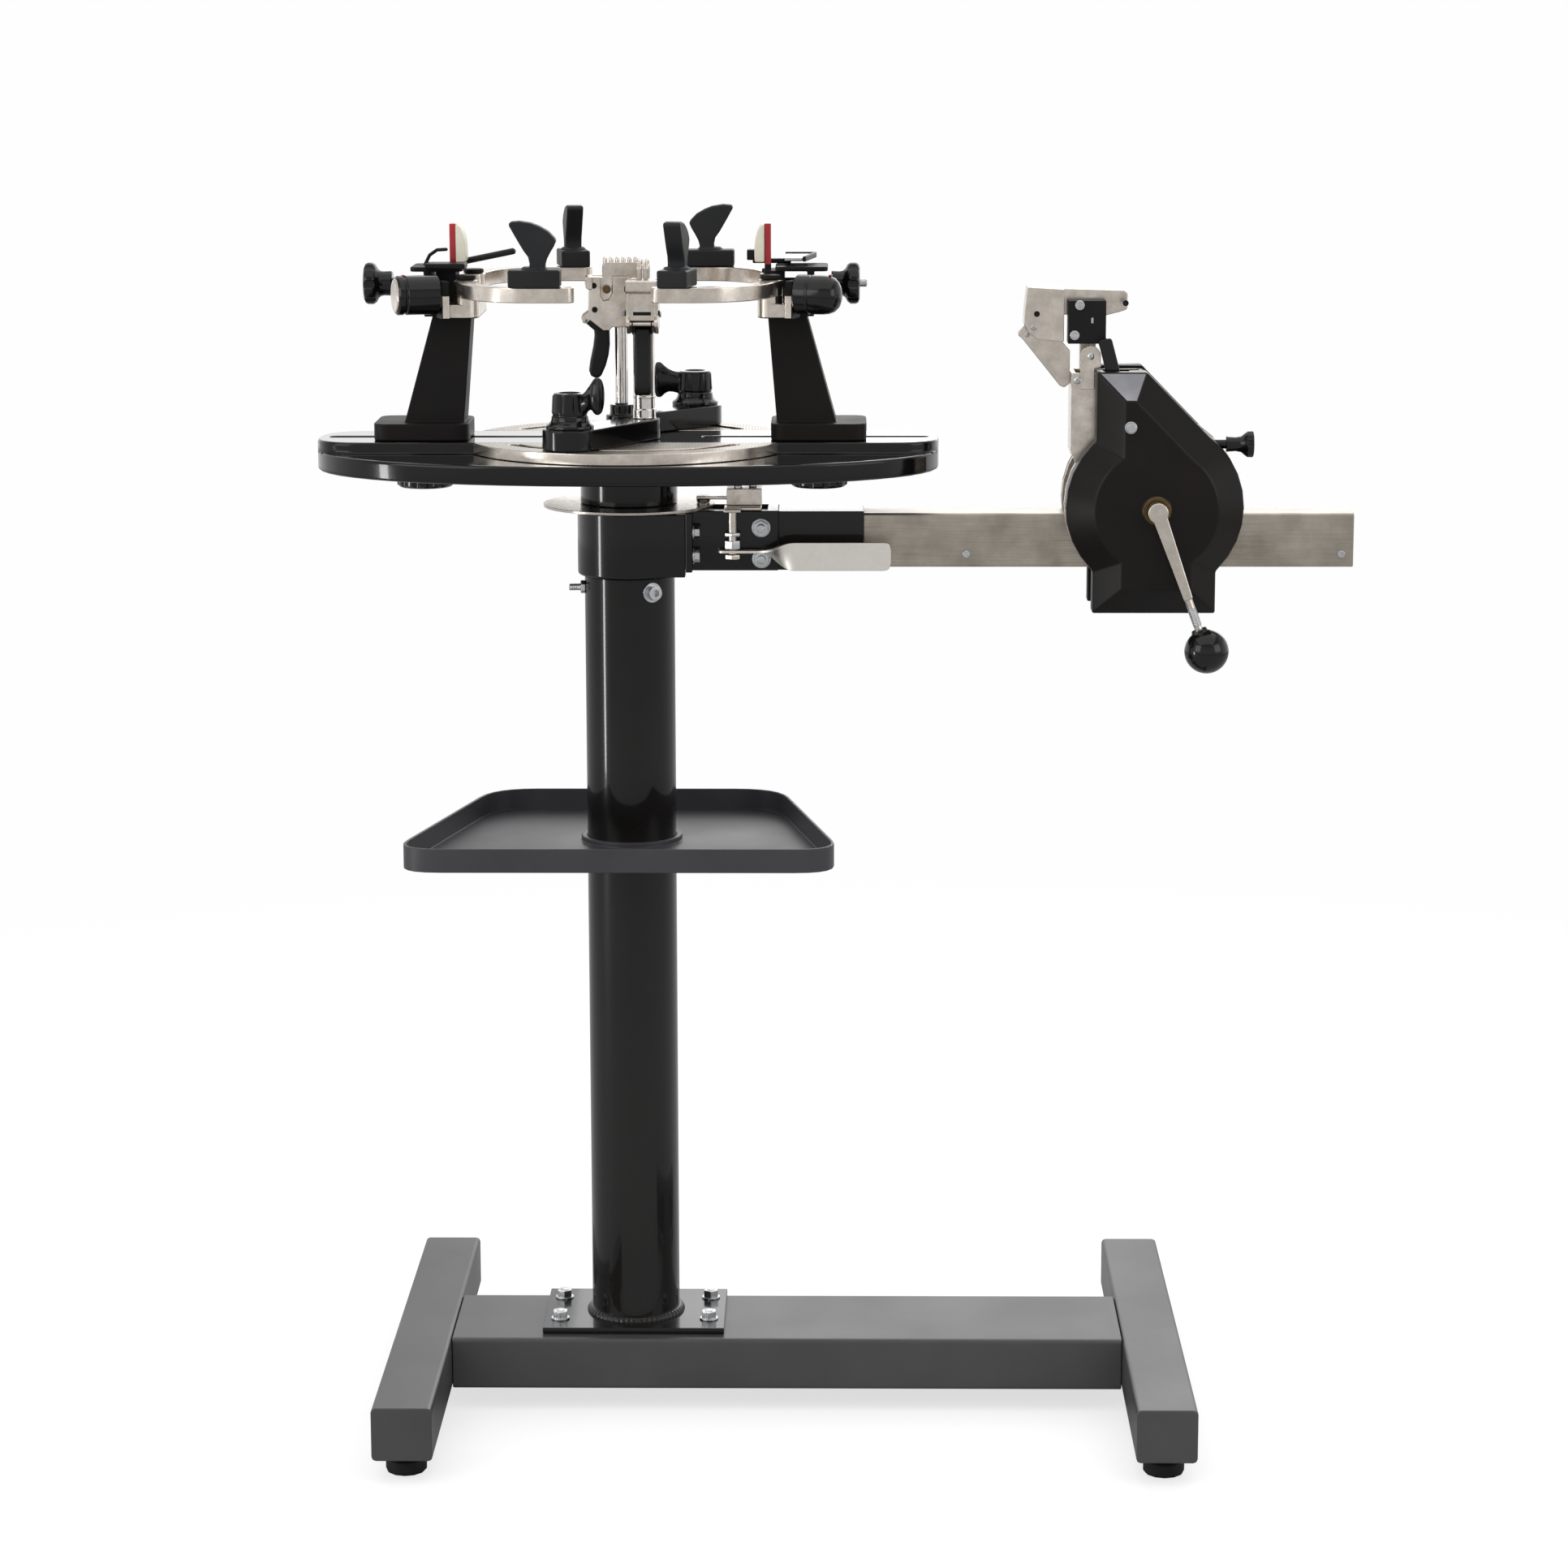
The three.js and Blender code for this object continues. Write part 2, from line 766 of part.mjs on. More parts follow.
function crossTube() {
  const acrossY = [STAND.crossFrontY, STAND.crossRearY];
  const wall = STAND.crossWall;
  const ring = rectangle(acrossY, [RUBBER.height, TUBE_TOP], STAND.tubeCorner);
  const shell = section(ring, [CROSS_LEFT, CROSS_RIGHT], 2);
  const hollow = slab(
    [CROSS_LEFT - CUT, CROSS_RIGHT + CUT],
    [STAND.crossFrontY + wall, STAND.crossRearY - wall],
    [RUBBER.height + wall, TUBE_TOP - wall],
  );
  const boltHoles = Object.values(BOLT_PLACES)
    .map((place) => hole(place, BOLT.radius + FIT, [RUBBER.height - CUT, TUBE_TOP + CUT]));
  return piece('cross_tube', cut(shell, hollow, ...boltHoles), FINISH.charcoal, [0, 0, RUBBER.height]);
}

function rubberFoot(name, place) {
  const { padRadius, padHeight, neckRadius, studRadius, height, studLength, rim } = RUBBER;
  const foot = turned([
    [0, 0],
    [padRadius - rim, 0],
    [padRadius, rim],
    [padRadius, padHeight - rim],
    [padRadius - rim, padHeight],
    [neckRadius, padHeight],
    [neckRadius, height - FIT],
    [studRadius, height - FIT],
    [studRadius, height + studLength],
    [0, height + studLength],
  ], SMALL, place);
  return piece(name, foot, FINISH.rubber, [...place, 0]);
}

function column() {
  const { radius, wall, weldSize, plateLength, plateDepth, plateCorner, topZ } = COLUMN;
  const footprint = rectangle(
    [-plateLength / 2, plateLength / 2],
    [-plateDepth / 2, plateDepth / 2],
    plateCorner,
  );
  const base = plate(footprint, [PLATE_BOTTOM, PLATE_TOP], 2);
  const tube = turned([
    [0, PLATE_BOTTOM],
    [radius + weldSize, PLATE_BOTTOM],
    [radius + weldSize, PLATE_TOP + WELD],
    [radius, PLATE_TOP + weldSize],
    [radius, topZ],
    [0, topZ],
  ], FINE);
  const bore = hole([0, 0], radius - wall, [PLATE_BOTTOM - CUT, topZ + CUT], FINE);
  const boltHoles = Object.values(BOLT_PLACES)
    .map((place) => hole(place, BOLT.radius + FIT, [PLATE_BOTTOM - CUT, PLATE_TOP + CUT]));
  return piece('column', cut(join(base, tube), bore, ...boltHoles), FINISH.blackGloss, [0, 0, PLATE_BOTTOM]);
}

// One M8 bolt with its washer and nut on the plate and its hexagon head under the cross tube
function baseBolt(name, place) {
  const { radius, washerRadius, washerThickness, nutRadius, nutHeight, tipHeight, headHeight } = BOLT;
  const [x, y] = place;
  const seat = PLATE_TOP + FIT;
  const nutBottom = seat + washerThickness;
  const underside = RUBBER.height - FIT;
  const shank = rod(radius, [x, y, underside], [x, y, nutBottom + nutHeight + tipHeight], SMALL);
  const washer = rod(washerRadius, [x, y, seat], [x, y, nutBottom + WELD], SMALL);
  const nut = rod(nutRadius, [x, y, nutBottom], [x, y, nutBottom + nutHeight], 6);
  const head = rod(nutRadius, [x, y, underside - headHeight], [x, y, underside], 6);
  const shankEnd = rod(radius, [x, y, underside - WELD], [x, y, underside + WELD], SMALL);
  return piece(name, join(shank, washer, nut, head, shankEnd), FINISH.zinc, [x, y, seat]);
}

function toolTray() {
  const t = TRAY;
  const corners = [
    [t.frontLeftX, -t.halfDepth],
    [t.frontRightX, -t.halfDepth],
    [t.rearRightX, t.halfDepth],
    [t.rearLeftX, t.halfDepth],
  ];
  const outside = plate(rounded(corners, t.corner), [t.bottomZ, t.rimZ], 6);
  const innerOutline = rounded(inset(corners, t.wall), t.corner - t.wall);
  const inside = plate(innerOutline, [t.bottomZ + t.floor, t.rimZ + CUT], 6);
  const collar = hole([0, 0], t.collarRadius, [t.bottomZ - t.collarDrop, t.bottomZ + t.collarRise], MEDIUM);
  const bore = hole(
    [0, 0],
    COLUMN.radius + FIT,
    [t.bottomZ - t.collarDrop - CUT, t.rimZ + CUT],
    FINE,
  );
  return piece('tool_tray', cut(join(cut(outside, inside), collar), bore), FINISH.tray, [0, 0, t.bottomZ]);
}

function stand() {
  const group = new THREE.Group();
  group.add(footTube('left_foot_tube', STAND.leftX), footTube('right_foot_tube', STAND.rightX));
  group.add(crossTube(), column(), toolTray());
  Object.entries(FOOT_PLACES).forEach(([name, place]) => group.add(rubberFoot(name, place)));
  Object.entries(BOLT_PLACES).forEach(([name, place]) => group.add(baseBolt(name, place)));
  return group;
}

// Mast head and spindle

function mastHead() {
  const { radius, bottomZ, topZ, spigotDrop, padX, padHalfDepth, lip } = MAST;
  const sleeve = turned([
    [0, bottomZ],
    [radius - lip, bottomZ],
    [radius, bottomZ + lip],
    [radius, topZ],
    [0, topZ],
  ], FINE);
  const spigot = hole([0, 0], COLUMN.radius - COLUMN.wall - FIT, [bottomZ - spigotDrop, bottomZ + WELD], FINE);
  const pad = slab([0, padX], [-padHalfDepth, padHalfDepth], [bottomZ + lip, topZ]);
  const bore = hole([0, 0], SPINDLE.radius + FIT, [bottomZ - spigotDrop - CUT, topZ + CUT], FINE);
  return piece('mast_head', cut(join(sleeve, spigot, pad), bore), FINISH.blackGloss, [0, 0, bottomZ]);
}

function thrustWasher() {
  const seat = MAST.topZ + FIT;
  const ring = hole([0, 0], WASHER.radius, [seat, seat + WASHER.thickness], FINE);
  const bore = hole([0, 0], SPINDLE.radius + FIT, [seat - CUT, seat + WASHER.thickness + CUT], FINE);
  return piece('thrust_washer', cut(ring, bore), FINISH.zinc, [0, 0, seat]);
}

const DISC_BOTTOM = MAST.topZ + FIT + WASHER.thickness + FIT;
const HUB_BOTTOM = DISC_BOTTOM + DISC.thickness + FIT;

function brakeDisc() {
  const top = DISC_BOTTOM + DISC.thickness;
  const ring = hole([0, 0], DISC.radius, [DISC_BOTTOM, top], FINE);
  const bore = hole([0, 0], SPINDLE.radius + FIT, [DISC_BOTTOM - CUT, top + CUT], FINE);
  return piece('brake_disc', cut(ring, bore), FINISH.nickel, [0, 0, DISC_BOTTOM]);
}

function spindle() {
  const { radius, hubRadius, drop } = SPINDLE;
  const shaft = turned([
    [0, HUB_BOTTOM - drop],
    [radius, HUB_BOTTOM - drop],
    [radius, HUB_BOTTOM],
    [hubRadius, HUB_BOTTOM],
    [hubRadius, TABLE.bottomZ - FIT],
    [0, TABLE.bottomZ - FIT],
  ], FINE);
  return piece('turntable_spindle', shaft, FINISH.blackGloss, [0, 0, HUB_BOTTOM]);
}

// Turntable

function turntablePlate() {
  const t = TABLE;
  const steps = 56;
  const disc = [];
  for (let i = 0; i < steps; i += 1) {
    const angle = (2 * Math.PI * i) / steps;
    const power = 2 / t.discPower;
    const x = t.halfLength * Math.sign(Math.cos(angle)) * Math.abs(Math.cos(angle)) ** power;
    const y = t.discHalfDepth * Math.sign(Math.sin(angle)) * Math.abs(Math.sin(angle)) ** power;
    disc.push([x, y]);
  }
  const lower = plate(outline(disc), [t.bottomZ, t.discTopZ]);
  const endRadius = t.barHalfDepth - t.edge;
  const bar = plate(
    rectangle([-t.halfLength, t.halfLength], [-t.barHalfDepth, t.barHalfDepth], endRadius),
    [t.bottomZ, t.barTopZ],
    6,
  );
  const slots = [-1, 1].map((side) => {
    const ends = [side * t.slotInnerX, side * t.slotOuterX].sort((a, b) => a - b);
    const slot = rectangle(ends, [-t.slotWidth / 2, t.slotWidth / 2], t.slotWidth / 2);
    return plate(slot, [t.bottomZ - CUT, t.barTopZ + CUT], 3);
  });
  return piece('turntable_plate', cut(join(lower, bar), ...slots), FINISH.blackGloss, [0, 0, t.bottomZ]);
}

// A circular segment beside the bar, with a curved slot for one clamp base
function trackPlate(name, side) {
  const { radius, slotRadius, slotWidth, slotHalfAngle } = TRACK;
  const chord = TABLE.barHalfDepth + FIT;
  const start = Math.asin(chord / radius);
  const segment = new THREE.Shape();
  segment.absarc(0, 0, radius, start, Math.PI - start);
  const raised = plate(segment, [TABLE.discTopZ + FIT, TABLE.barTopZ], 24);
  const [first, last] = [Math.PI / 2 - slotHalfAngle, Math.PI / 2 + slotHalfAngle];
  const end = (angle) => [slotRadius * Math.cos(angle), slotRadius * Math.sin(angle)];
  const slot = new THREE.Shape();
  slot.absarc(0, 0, slotRadius + slotWidth / 2, first, last);
  slot.absarc(...end(last), slotWidth / 2, last, last + Math.PI);
  slot.absarc(0, 0, slotRadius - slotWidth / 2, last, first, true);
  slot.absarc(...end(first), slotWidth / 2, first + Math.PI, first + 2 * Math.PI);
  const groove = plate(slot, [TABLE.discTopZ, TABLE.barTopZ + CUT], 8);
  const whole = cut(raised, groove).rotateZ(side < 0 ? Math.PI : 0);
  return piece(name, whole, FINISH.nickel, [0, 0, TABLE.discTopZ]);
}

// Towers: each is built for the left and turned over for the right

function sided(side, name, geometry, finish, [x, y, z]) {
  return side.name === 'left'
    ? piece(name, geometry, finish, [x, y, z])
    : piece(name, mirrored(geometry), finish, [-x, y, z]);
}

const ARM_TOP = ARM.bottomZ + ARM.height;
const KNOB_SPLAY = THREE.MathUtils.degToRad(ARM_KNOB.splayAngle);
const KNOB_INWARD = new THREE.Vector3(Math.cos(KNOB_SPLAY), Math.sin(KNOB_SPLAY), 0);
const KNOB_FACE = new THREE.Vector3(ARM_KNOB.x, -ARM_KNOB.y, ARM_KNOB.z)
  .addScaledVector(KNOB_INWARD, ARM_KNOB.length / 2);

// Turns a solid drawn along +Z so that it points along a direction from a point
function aimed(geometry, from, direction) {
  const turn = new THREE.Quaternion().setFromUnitVectors(new THREE.Vector3(0, 0, 1), direction);
  return geometry.applyQuaternion(turn).translate(from.x, from.y, from.z);
}

function knobBearing() {
  const { bearingThickness, bearingWidth, bearingTopZ } = HEAD;
  const upright = new THREE.BoxGeometry(bearingThickness, bearingWidth, bearingTopZ - TOWER.postTopZ);
  const reach = FIT + bearingThickness / 2;
  const middle = KNOB_FACE.clone().addScaledVector(KNOB_INWARD, reach);
  upright.rotateZ(KNOB_SPLAY).translate(middle.x, middle.y, (bearingTopZ + TOWER.postTopZ) / 2);
  const foot = slab(
    [middle.x, HEAD.pivotX],
    [-HEAD.pivotY - bearingWidth / 2, -HEAD.pivotY + bearingWidth / 4],
    [TOWER.postTopZ, HEAD.bridgeTopZ],
  );
  const bore = aimed(
    hole([0, 0], ARM_KNOB.stubRadius + FIT, [-CUT, bearingThickness + CUT]),
    KNOB_FACE,
    KNOB_INWARD,
  );
  return cut(join(upright, foot), bore);
}

function towerPost() {
  const t = TOWER;
  const ring = (outer, inner, depth, z) => [
    [outer, -depth / 2, z],
    [inner, -depth / 2, z],
    [inner, depth / 2, z],
    [outer, depth / 2, z],
  ];
  return lofted([
    ring(t.postBottomOuter, t.postBottomInner, t.postBottomDepth, t.blockTopZ - WELD),
    ring(t.postTopOuter, t.postTopInner, t.postTopDepth, t.postTopZ + WELD),
  ]);
}

// The crosshead on the post: a bridge with two arm pivots, an outer web and a cap over the slide
function crosshead() {
  const h = HEAD;
  const deck = [TOWER.postTopZ, h.bridgeTopZ];
  const bridge = slab([h.bridgeOuter, h.pivotX], [-h.halfDepth, h.halfDepth], deck);
  const beam = slab([h.pivotX - h.lugRadius, h.pivotX + h.lugRadius], [-h.pivotY, h.pivotY], deck);
  const pivots = [-h.pivotY, h.pivotY].flatMap((y) => [
    hole([h.pivotX, y], h.lugRadius, [TOWER.postTopZ, ARM.bottomZ - FIT]),
    hole([h.pivotX, y], h.pinRadius, [ARM.bottomZ - FIT - WELD, ARM_TOP + FIT + WELD]),
    hole([h.pivotX, y], h.pinCapRadius, [ARM_TOP + FIT, ARM_TOP + FIT + h.pinCapHeight]),
  ]);
  const web = slab(
    [h.bridgeOuter, h.bridgeOuter + h.webThickness],
    [-h.halfDepth, h.halfDepth],
    [h.bridgeTopZ - WELD, h.capBottomZ + WELD],
  );
  const capOutline = rectangle([h.capOuter, h.capInner], [-h.halfDepth, h.halfDepth], h.webThickness);
  const cap = plate(capOutline, [h.capBottomZ, h.capTopZ], 3);
  const stemSlot = slab(
    [h.bridgeOuter + h.webThickness, h.capInner + CUT],
    [-CARRIAGE.stemWidth / 2 - RUN, CARRIAGE.stemWidth / 2 + RUN],
    [h.capBottomZ - RUN, h.capTopZ + CUT],
  );
  const screwBore = rod(
    PAD_KNOB.shaftRadius + FIT,
    [h.bridgeOuter - CUT, CARRIAGE.screwY, CARRIAGE.screwZ],
    [h.bridgeOuter + h.webThickness + CUT, CARRIAGE.screwY, CARRIAGE.screwZ],
  );
  return cut(join(bridge, beam, ...pivots, web, cap), stemSlot, screwBore);
}

function tower(side) {
  const t = TOWER;
  const block = plate(
    rectangle([-t.blockLength / 2, t.blockLength / 2], [-t.blockDepth / 2, t.blockDepth / 2], t.blockCorner),
    [TABLE.barTopZ + FIT, t.blockTopZ],
    5,
  );
  const nutTop = TABLE.bottomZ - t.nutTopGap;
  const stud = hole([0, 0], t.studRadius, [nutTop - WELD, TABLE.barTopZ + FIT + WELD]);
  const nut = hole([0, 0], t.nutRadius, [nutTop - t.nutHeight, nutTop], MEDIUM);
  const whole = join(block, towerPost(), stud, nut, crosshead(), knobBearing());
  return sided(side, `${side.name}_tower`, whole, FINISH.towerBlack, [0, 0, TABLE.barTopZ]);
}

function armKnob(side) {
  const { stubRadius, stubLength, radius, length, rim } = ARM_KNOB;
  const barrel = turned([
    [0, -stubLength],
    [stubRadius, -stubLength],
    [stubRadius, 0],
    [radius - rim, 0],
    [radius, rim],
    [radius, length - rim],
    [radius - rim, length],
    [0, length],
  ]);
  const outward = KNOB_INWARD.clone().negate();
  const pivot = KNOB_FACE.toArray();
  return sided(side, `${side.name}_arm_knob`, aimed(barrel, KNOB_FACE, outward), FINISH.gloss, pivot);
}

function padKnob(side) {
  const k = PAD_KNOB;
  const shaftEnd = CARRIAGE.stemOuter - CARRIAGE.blockLength + CARRIAGE.boreDepth - k.faceX - FIT;
  const knob = turned([
    [0, 0],
    [k.hubRadius, 0],
    [k.radius, k.rimThickness / 4],
    [k.radius, (k.rimThickness * 3) / 4],
    [k.hubRadius, k.rimThickness],
    [k.hubRadius, k.rimThickness + k.hubLength],
    [k.shaftRadius, k.rimThickness + k.hubLength],
    [k.shaftRadius, shaftEnd],
    [0, shaftEnd],
  ]);
  const face = new THREE.Vector3(k.faceX + side.padOut, CARRIAGE.screwY, CARRIAGE.screwZ);
  const inward = new THREE.Vector3(1, 0, 0);
  return sided(side, `${side.name}_pad_knob`, aimed(knob, face, inward), FINISH.gloss, face.toArray());
}

// The slide in the crosshead and the upright that carries the head pad
function padCarriage(side) {
  const c = CARRIAGE;
  const outer = c.stemOuter - c.blockLength + side.padOut;
  const inner = c.stemOuter + c.stemThickness + side.padOut;
  const block = slab(
    [outer, inner],
    [-c.blockFront, c.blockRear],
    [HEAD.bridgeTopZ + FIT, HEAD.capBottomZ - FIT],
  );
  const stem = slab(
    [inner - c.stemThickness, inner],
    [-c.stemWidth / 2, c.stemWidth / 2],
    [HEAD.bridgeTopZ + FIT, c.stemTopZ],
  );
  const bore = rod(
    PAD_KNOB.shaftRadius + FIT,
    [outer - CUT, c.screwY, c.screwZ],
    [outer + c.boreDepth, c.screwY, c.screwZ],
  );
  const whole = cut(join(block, stem), bore);
  return sided(side, `${side.name}_pad_carriage`, whole, FINISH.red, [inner, 0, HEAD.bridgeTopZ]);
}

function headPad(side) {
  const c = CARRIAGE;
  const back = c.stemOuter + c.stemThickness + side.padOut + FIT;
  const height = c.padTopZ - c.padBottomZ;
  const profileShares = [[0, 0], [1, 0], [1, 0.45], [0.75, 0.8], [0.35, 1], [0, 1]];
  const profile = profileShares.map(([x, z]) => [back + x * c.padThickness, c.padBottomZ + z * height]);
  const pad = panel(outline(profile), [-c.padWidth / 2, c.padWidth / 2]);
  return sided(side, `${side.name}_head_pad`, pad, FINISH.cream, [back, 0, c.padBottomZ]);
}

// A side arm curves out from its pivot and runs straight along the frame
function sideArm(side, end) {
  const a = ARM;
  const pivotY = end.sign * HEAD.pivotY;
  const outerY = end.sign * a.outerY;
  const curve = new THREE.CubicBezierCurve(
    new THREE.Vector2(HEAD.pivotX, pivotY),
    new THREE.Vector2(HEAD.pivotX, pivotY + end.sign * a.rootPull),
    new THREE.Vector2(a.straightX - a.bendPull, outerY),
    new THREE.Vector2(a.straightX, outerY),
  );
  const tip = new THREE.Vector2(a.tipX - a.width / 2, outerY);
  const bow = plate(ribbon([...curve.getPoints(9), tip], a.width), [a.bottomZ, ARM_TOP]);
  const eye = hole([HEAD.pivotX, pivotY], HEAD.lugRadius, [a.bottomZ, ARM_TOP]);
  const through = [a.bottomZ - CUT, ARM_TOP + CUT];
  const pivotHole = hole([HEAD.pivotX, pivotY], HEAD.pinRadius + FIT, through);
  const seat = PAD_SEATS[`${side.name}_${end.name}`];
  const seatHole = hole([seat.x, outerY], PAD.pinRadius + FIT, through);
  const name = `${side.name}_${end.name}_side_arm`;
  const whole = cut(join(bow, eye), pivotHole, seatHole);
  return sided(side, name, whole, FINISH.nickel, [HEAD.pivotX, pivotY, a.bottomZ]);
}

function shoulderPad(side, end) {
  const p = PAD;
  const seat = PAD_SEATS[`${side.name}_${end.name}`];
  const bottom = ARM_TOP + FIT;
  const blockTop = bottom + p.blockHeight;
  const block = plate(
    rectangle([-p.blockLength / 2, p.blockLength / 2], [-p.blockDepth / 2, p.blockDepth / 2], p.blockCorner),
    [bottom, blockTop],
    3,
  );
  const height = p.finTopZ - blockTop;
  const finShares = [
    [-0.17, -0.02], [0.17, -0.02], [0.17, 0.14], [0.4, 0.42], [0.5, 0.64], [0.36, 0.84],
    [0.12, 0.96], [-0.2, 1], [-0.5, 0.97], [-0.44, 0.72], [-0.3, 0.4], [-0.17, 0.16],
  ];
  const finOutline = finShares.map(([x, z]) => [x * p.finWidth, blockTop + z * height]);
  const fin = panel(outline(finOutline), [-p.finThickness / 2, p.finThickness / 2]);
  const pin = hole([0, 0], p.pinRadius, [ARM.bottomZ + FIT, bottom + WELD]);
  const whole = join(block, fin, pin).rotateZ(THREE.MathUtils.degToRad(seat.turn));
  const place = [seat.x, end.sign * ARM.outerY, bottom];
  whole.translate(place[0], place[1], 0);
  return sided(side, `${side.name}_${end.name}_shoulder_pad`, whole, FINISH.greyRubber, place);
}

const SIDES = [
  { name: 'left', x: TOWER.leftX, padOut: CARRIAGE.leftOut },
  { name: 'right', x: TOWER.rightX, padOut: CARRIAGE.rightOut },
];
const ENDS = [{ name: 'front', sign: -1 }, { name: 'rear', sign: 1 }];

function towerGroup(side) {
  const group = new THREE.Group();
  group.position.x = side.x;
  group.add(tower(side), armKnob(side), padKnob(side), padCarriage(side), headPad(side));
  ENDS.forEach((end) => group.add(sideArm(side, end), shoulderPad(side, end)));
  return group;
}

// String clamps: each base is drawn along +X from its lock stud, then swung to its place

const BASE_BOTTOM = TABLE.barTopZ + FIT;
const BASE_TOP = BASE_BOTTOM + CLAMP.armThickness;
const CLAMP_ENDS = [
  {
    name: 'front',
    lockAngle: CLAMP.frontLockAngle,
    armAngle: CLAMP.frontArmAngle,
    headTurn: CLAMP.frontTurn,
    lockTurn: LOCK.frontTurn,
  },
  {
    name: 'rear',
    lockAngle: CLAMP.rearLockAngle,
    armAngle: CLAMP.rearArmAngle,
    headTurn: CLAMP.rearTurn,
    lockTurn: LOCK.rearTurn,
  },
];

function lockPlace(end) {
  return polar(TRACK.slotRadius, end.lockAngle);
}

function postPlace(end) {
  const [lockX, lockY] = lockPlace(end);
  const [reachX, reachY] = polar(CLAMP.armLength, end.armAngle);
  return [lockX + reachX, lockY + reachY];
}

// Turns a solid about the vertical through the origin and carries it to a place
function swung(geometry, degrees, [x, y]) {
  return geometry.rotateZ(THREE.MathUtils.degToRad(degrees)).translate(x, y, 0);
}

function clampBase(end) {
  const c = CLAMP;
  const height = [BASE_BOTTOM, BASE_TOP];
  const lockEnd = hole([0, 0], c.lockEndRadius, height, MEDIUM);
  const postEnd = hole([c.armLength, 0], c.postEndRadius, height, MEDIUM);
  const sides = outline([
    [0, -c.lockEndRadius],
    [c.armLength, -c.postEndRadius],
    [c.armLength, c.postEndRadius],
    [0, c.lockEndRadius],
  ]);
  const collarTop = BASE_TOP + c.collarHeight;
  const collar = hole([c.armLength, 0], c.collarRadius, [BASE_TOP - WELD, collarTop]);
  const post = hole([c.armLength, 0], c.postRadius, [collarTop - WELD, c.postTopZ]);
  const studHole = hole([0, 0], c.studRadius + FIT, [BASE_BOTTOM - CUT, BASE_TOP + CUT]);
  const whole = cut(join(lockEnd, postEnd, plate(sides, height), collar, post), studHole);
  const placed = swung(whole, end.armAngle, lockPlace(end));
  return piece(`${end.name}_clamp_base`, placed, FINISH.blackSatin, [0, 0, BASE_BOTTOM]);
}

// The lever nut that locks a clamp base, with the stud that rides in the track slot
function baseLock(end) {
  const l = LOCK;
  const bottom = BASE_TOP + FIT;
  const knob = turned([
    [0, TABLE.discTopZ + FIT + WELD],
    [CLAMP.studRadius, TABLE.discTopZ + FIT + WELD],
    [CLAMP.studRadius, bottom],
    [l.flangeRadius, bottom],
    [l.flangeRadius, bottom + l.flangeHeight],
    [l.radius, bottom + l.flangeHeight],
    [l.radius, bottom + l.height],
    [0, bottom + l.height],
  ]);
  const root = l.radius / 2;
  const tip = l.radius + l.wingLength;
  const height = l.wingTip - l.wingRoot;
  const wingShares = [
    [0, 0.2], [0.45, 0.25], [0.75, 0], [1, 0.15], [0.95, 0.85], [0.78, 1.1], [0.45, 0.8], [0, 0.8],
  ];
  const wingOutline = wingShares.map(([x, z]) => [
    root + x * (tip - root),
    bottom + l.wingRoot + z * height,
  ]);
  const wing = panel(outline(wingOutline), [-l.wingThickness / 2, l.wingThickness / 2]);
  const place = lockPlace(end);
  const whole = swung(join(knob, wing), end.lockTurn, place);
  return piece(`${end.name}_base_lock`, whole, FINISH.gloss, [...place, bottom]);
}

function clampHead(end) {
  const h = CLAMP_HEAD;
  const half = h.width / 2;
  const bodyOutline = rectangle([-half, half], [-h.front, h.rear], h.corner);
  const body = plate(bodyOutline, [h.bottomZ, h.topZ], 2);
  const cheekFront = HANDLE.topY - HANDLE.eyeRadius;
  const cheekTop = HANDLE.topZ + HANDLE.eyeRadius;
  const cheeks = slab([-half, half], [cheekFront, -h.front + WELD], [h.bottomZ, cheekTop]);
  const gap = slab(
    [-HANDLE.width / 2 - FIT, HANDLE.width / 2 + FIT],
    [cheekFront - CUT, -h.front - FIT],
    [h.bottomZ - CUT, HANDLE.topZ + HANDLE.eyeRadius + CUT],
  );
  const pinHole = rod(
    HANDLE.pinRadius + FIT,
    [-half - CUT, HANDLE.topY, HANDLE.topZ],
    [half + CUT, HANDLE.topY, HANDLE.topZ],
  );
  const bore = hole([0, 0], CLAMP.postRadius + FIT, [h.bottomZ - CUT, CLAMP.postTopZ + FIT]);
  const stringGap = slab(
    [-h.jawGap / 2, h.jawGap / 2],
    [-h.jawFront - CUT, h.jawRear + CUT],
    [h.topZ, h.jawTopZ + CUT],
  );
  const jaws = cut(jawTeeth(), stringGap);
  const whole = join(cut(join(body, cheeks), gap, pinHole, bore), jaws);
  const place = postPlace(end);
  const turned = swung(whole, end.headTurn, place);
  return piece(`${end.name}_clamp_head`, turned, FINISH.nickel, [...place, h.bottomZ]);
}

// Both jaws in one block, whose upper edge is cut into teeth
function jawTeeth() {
  const h = CLAMP_HEAD;
  const pitch = (h.jawFront + h.jawRear) / (2 * h.teeth - 1);
  const points = [[-h.jawFront, h.topZ - WELD]];
  for (let tooth = 0; tooth < h.teeth; tooth += 1) {
    const start = -h.jawFront + 2 * tooth * pitch;
    if (tooth > 0) points.push([start, h.jawTopZ - h.toothHeight]);
    points.push([start, h.jawTopZ], [start + pitch, h.jawTopZ]);
    if (tooth < h.teeth - 1) points.push([start + pitch, h.jawTopZ - h.toothHeight]);
  }
  points.push([h.jawRear, h.topZ - WELD]);
  const half = h.jawThickness + h.jawGap / 2;
  return section(outline(points.reverse()), [-half, half]);
}

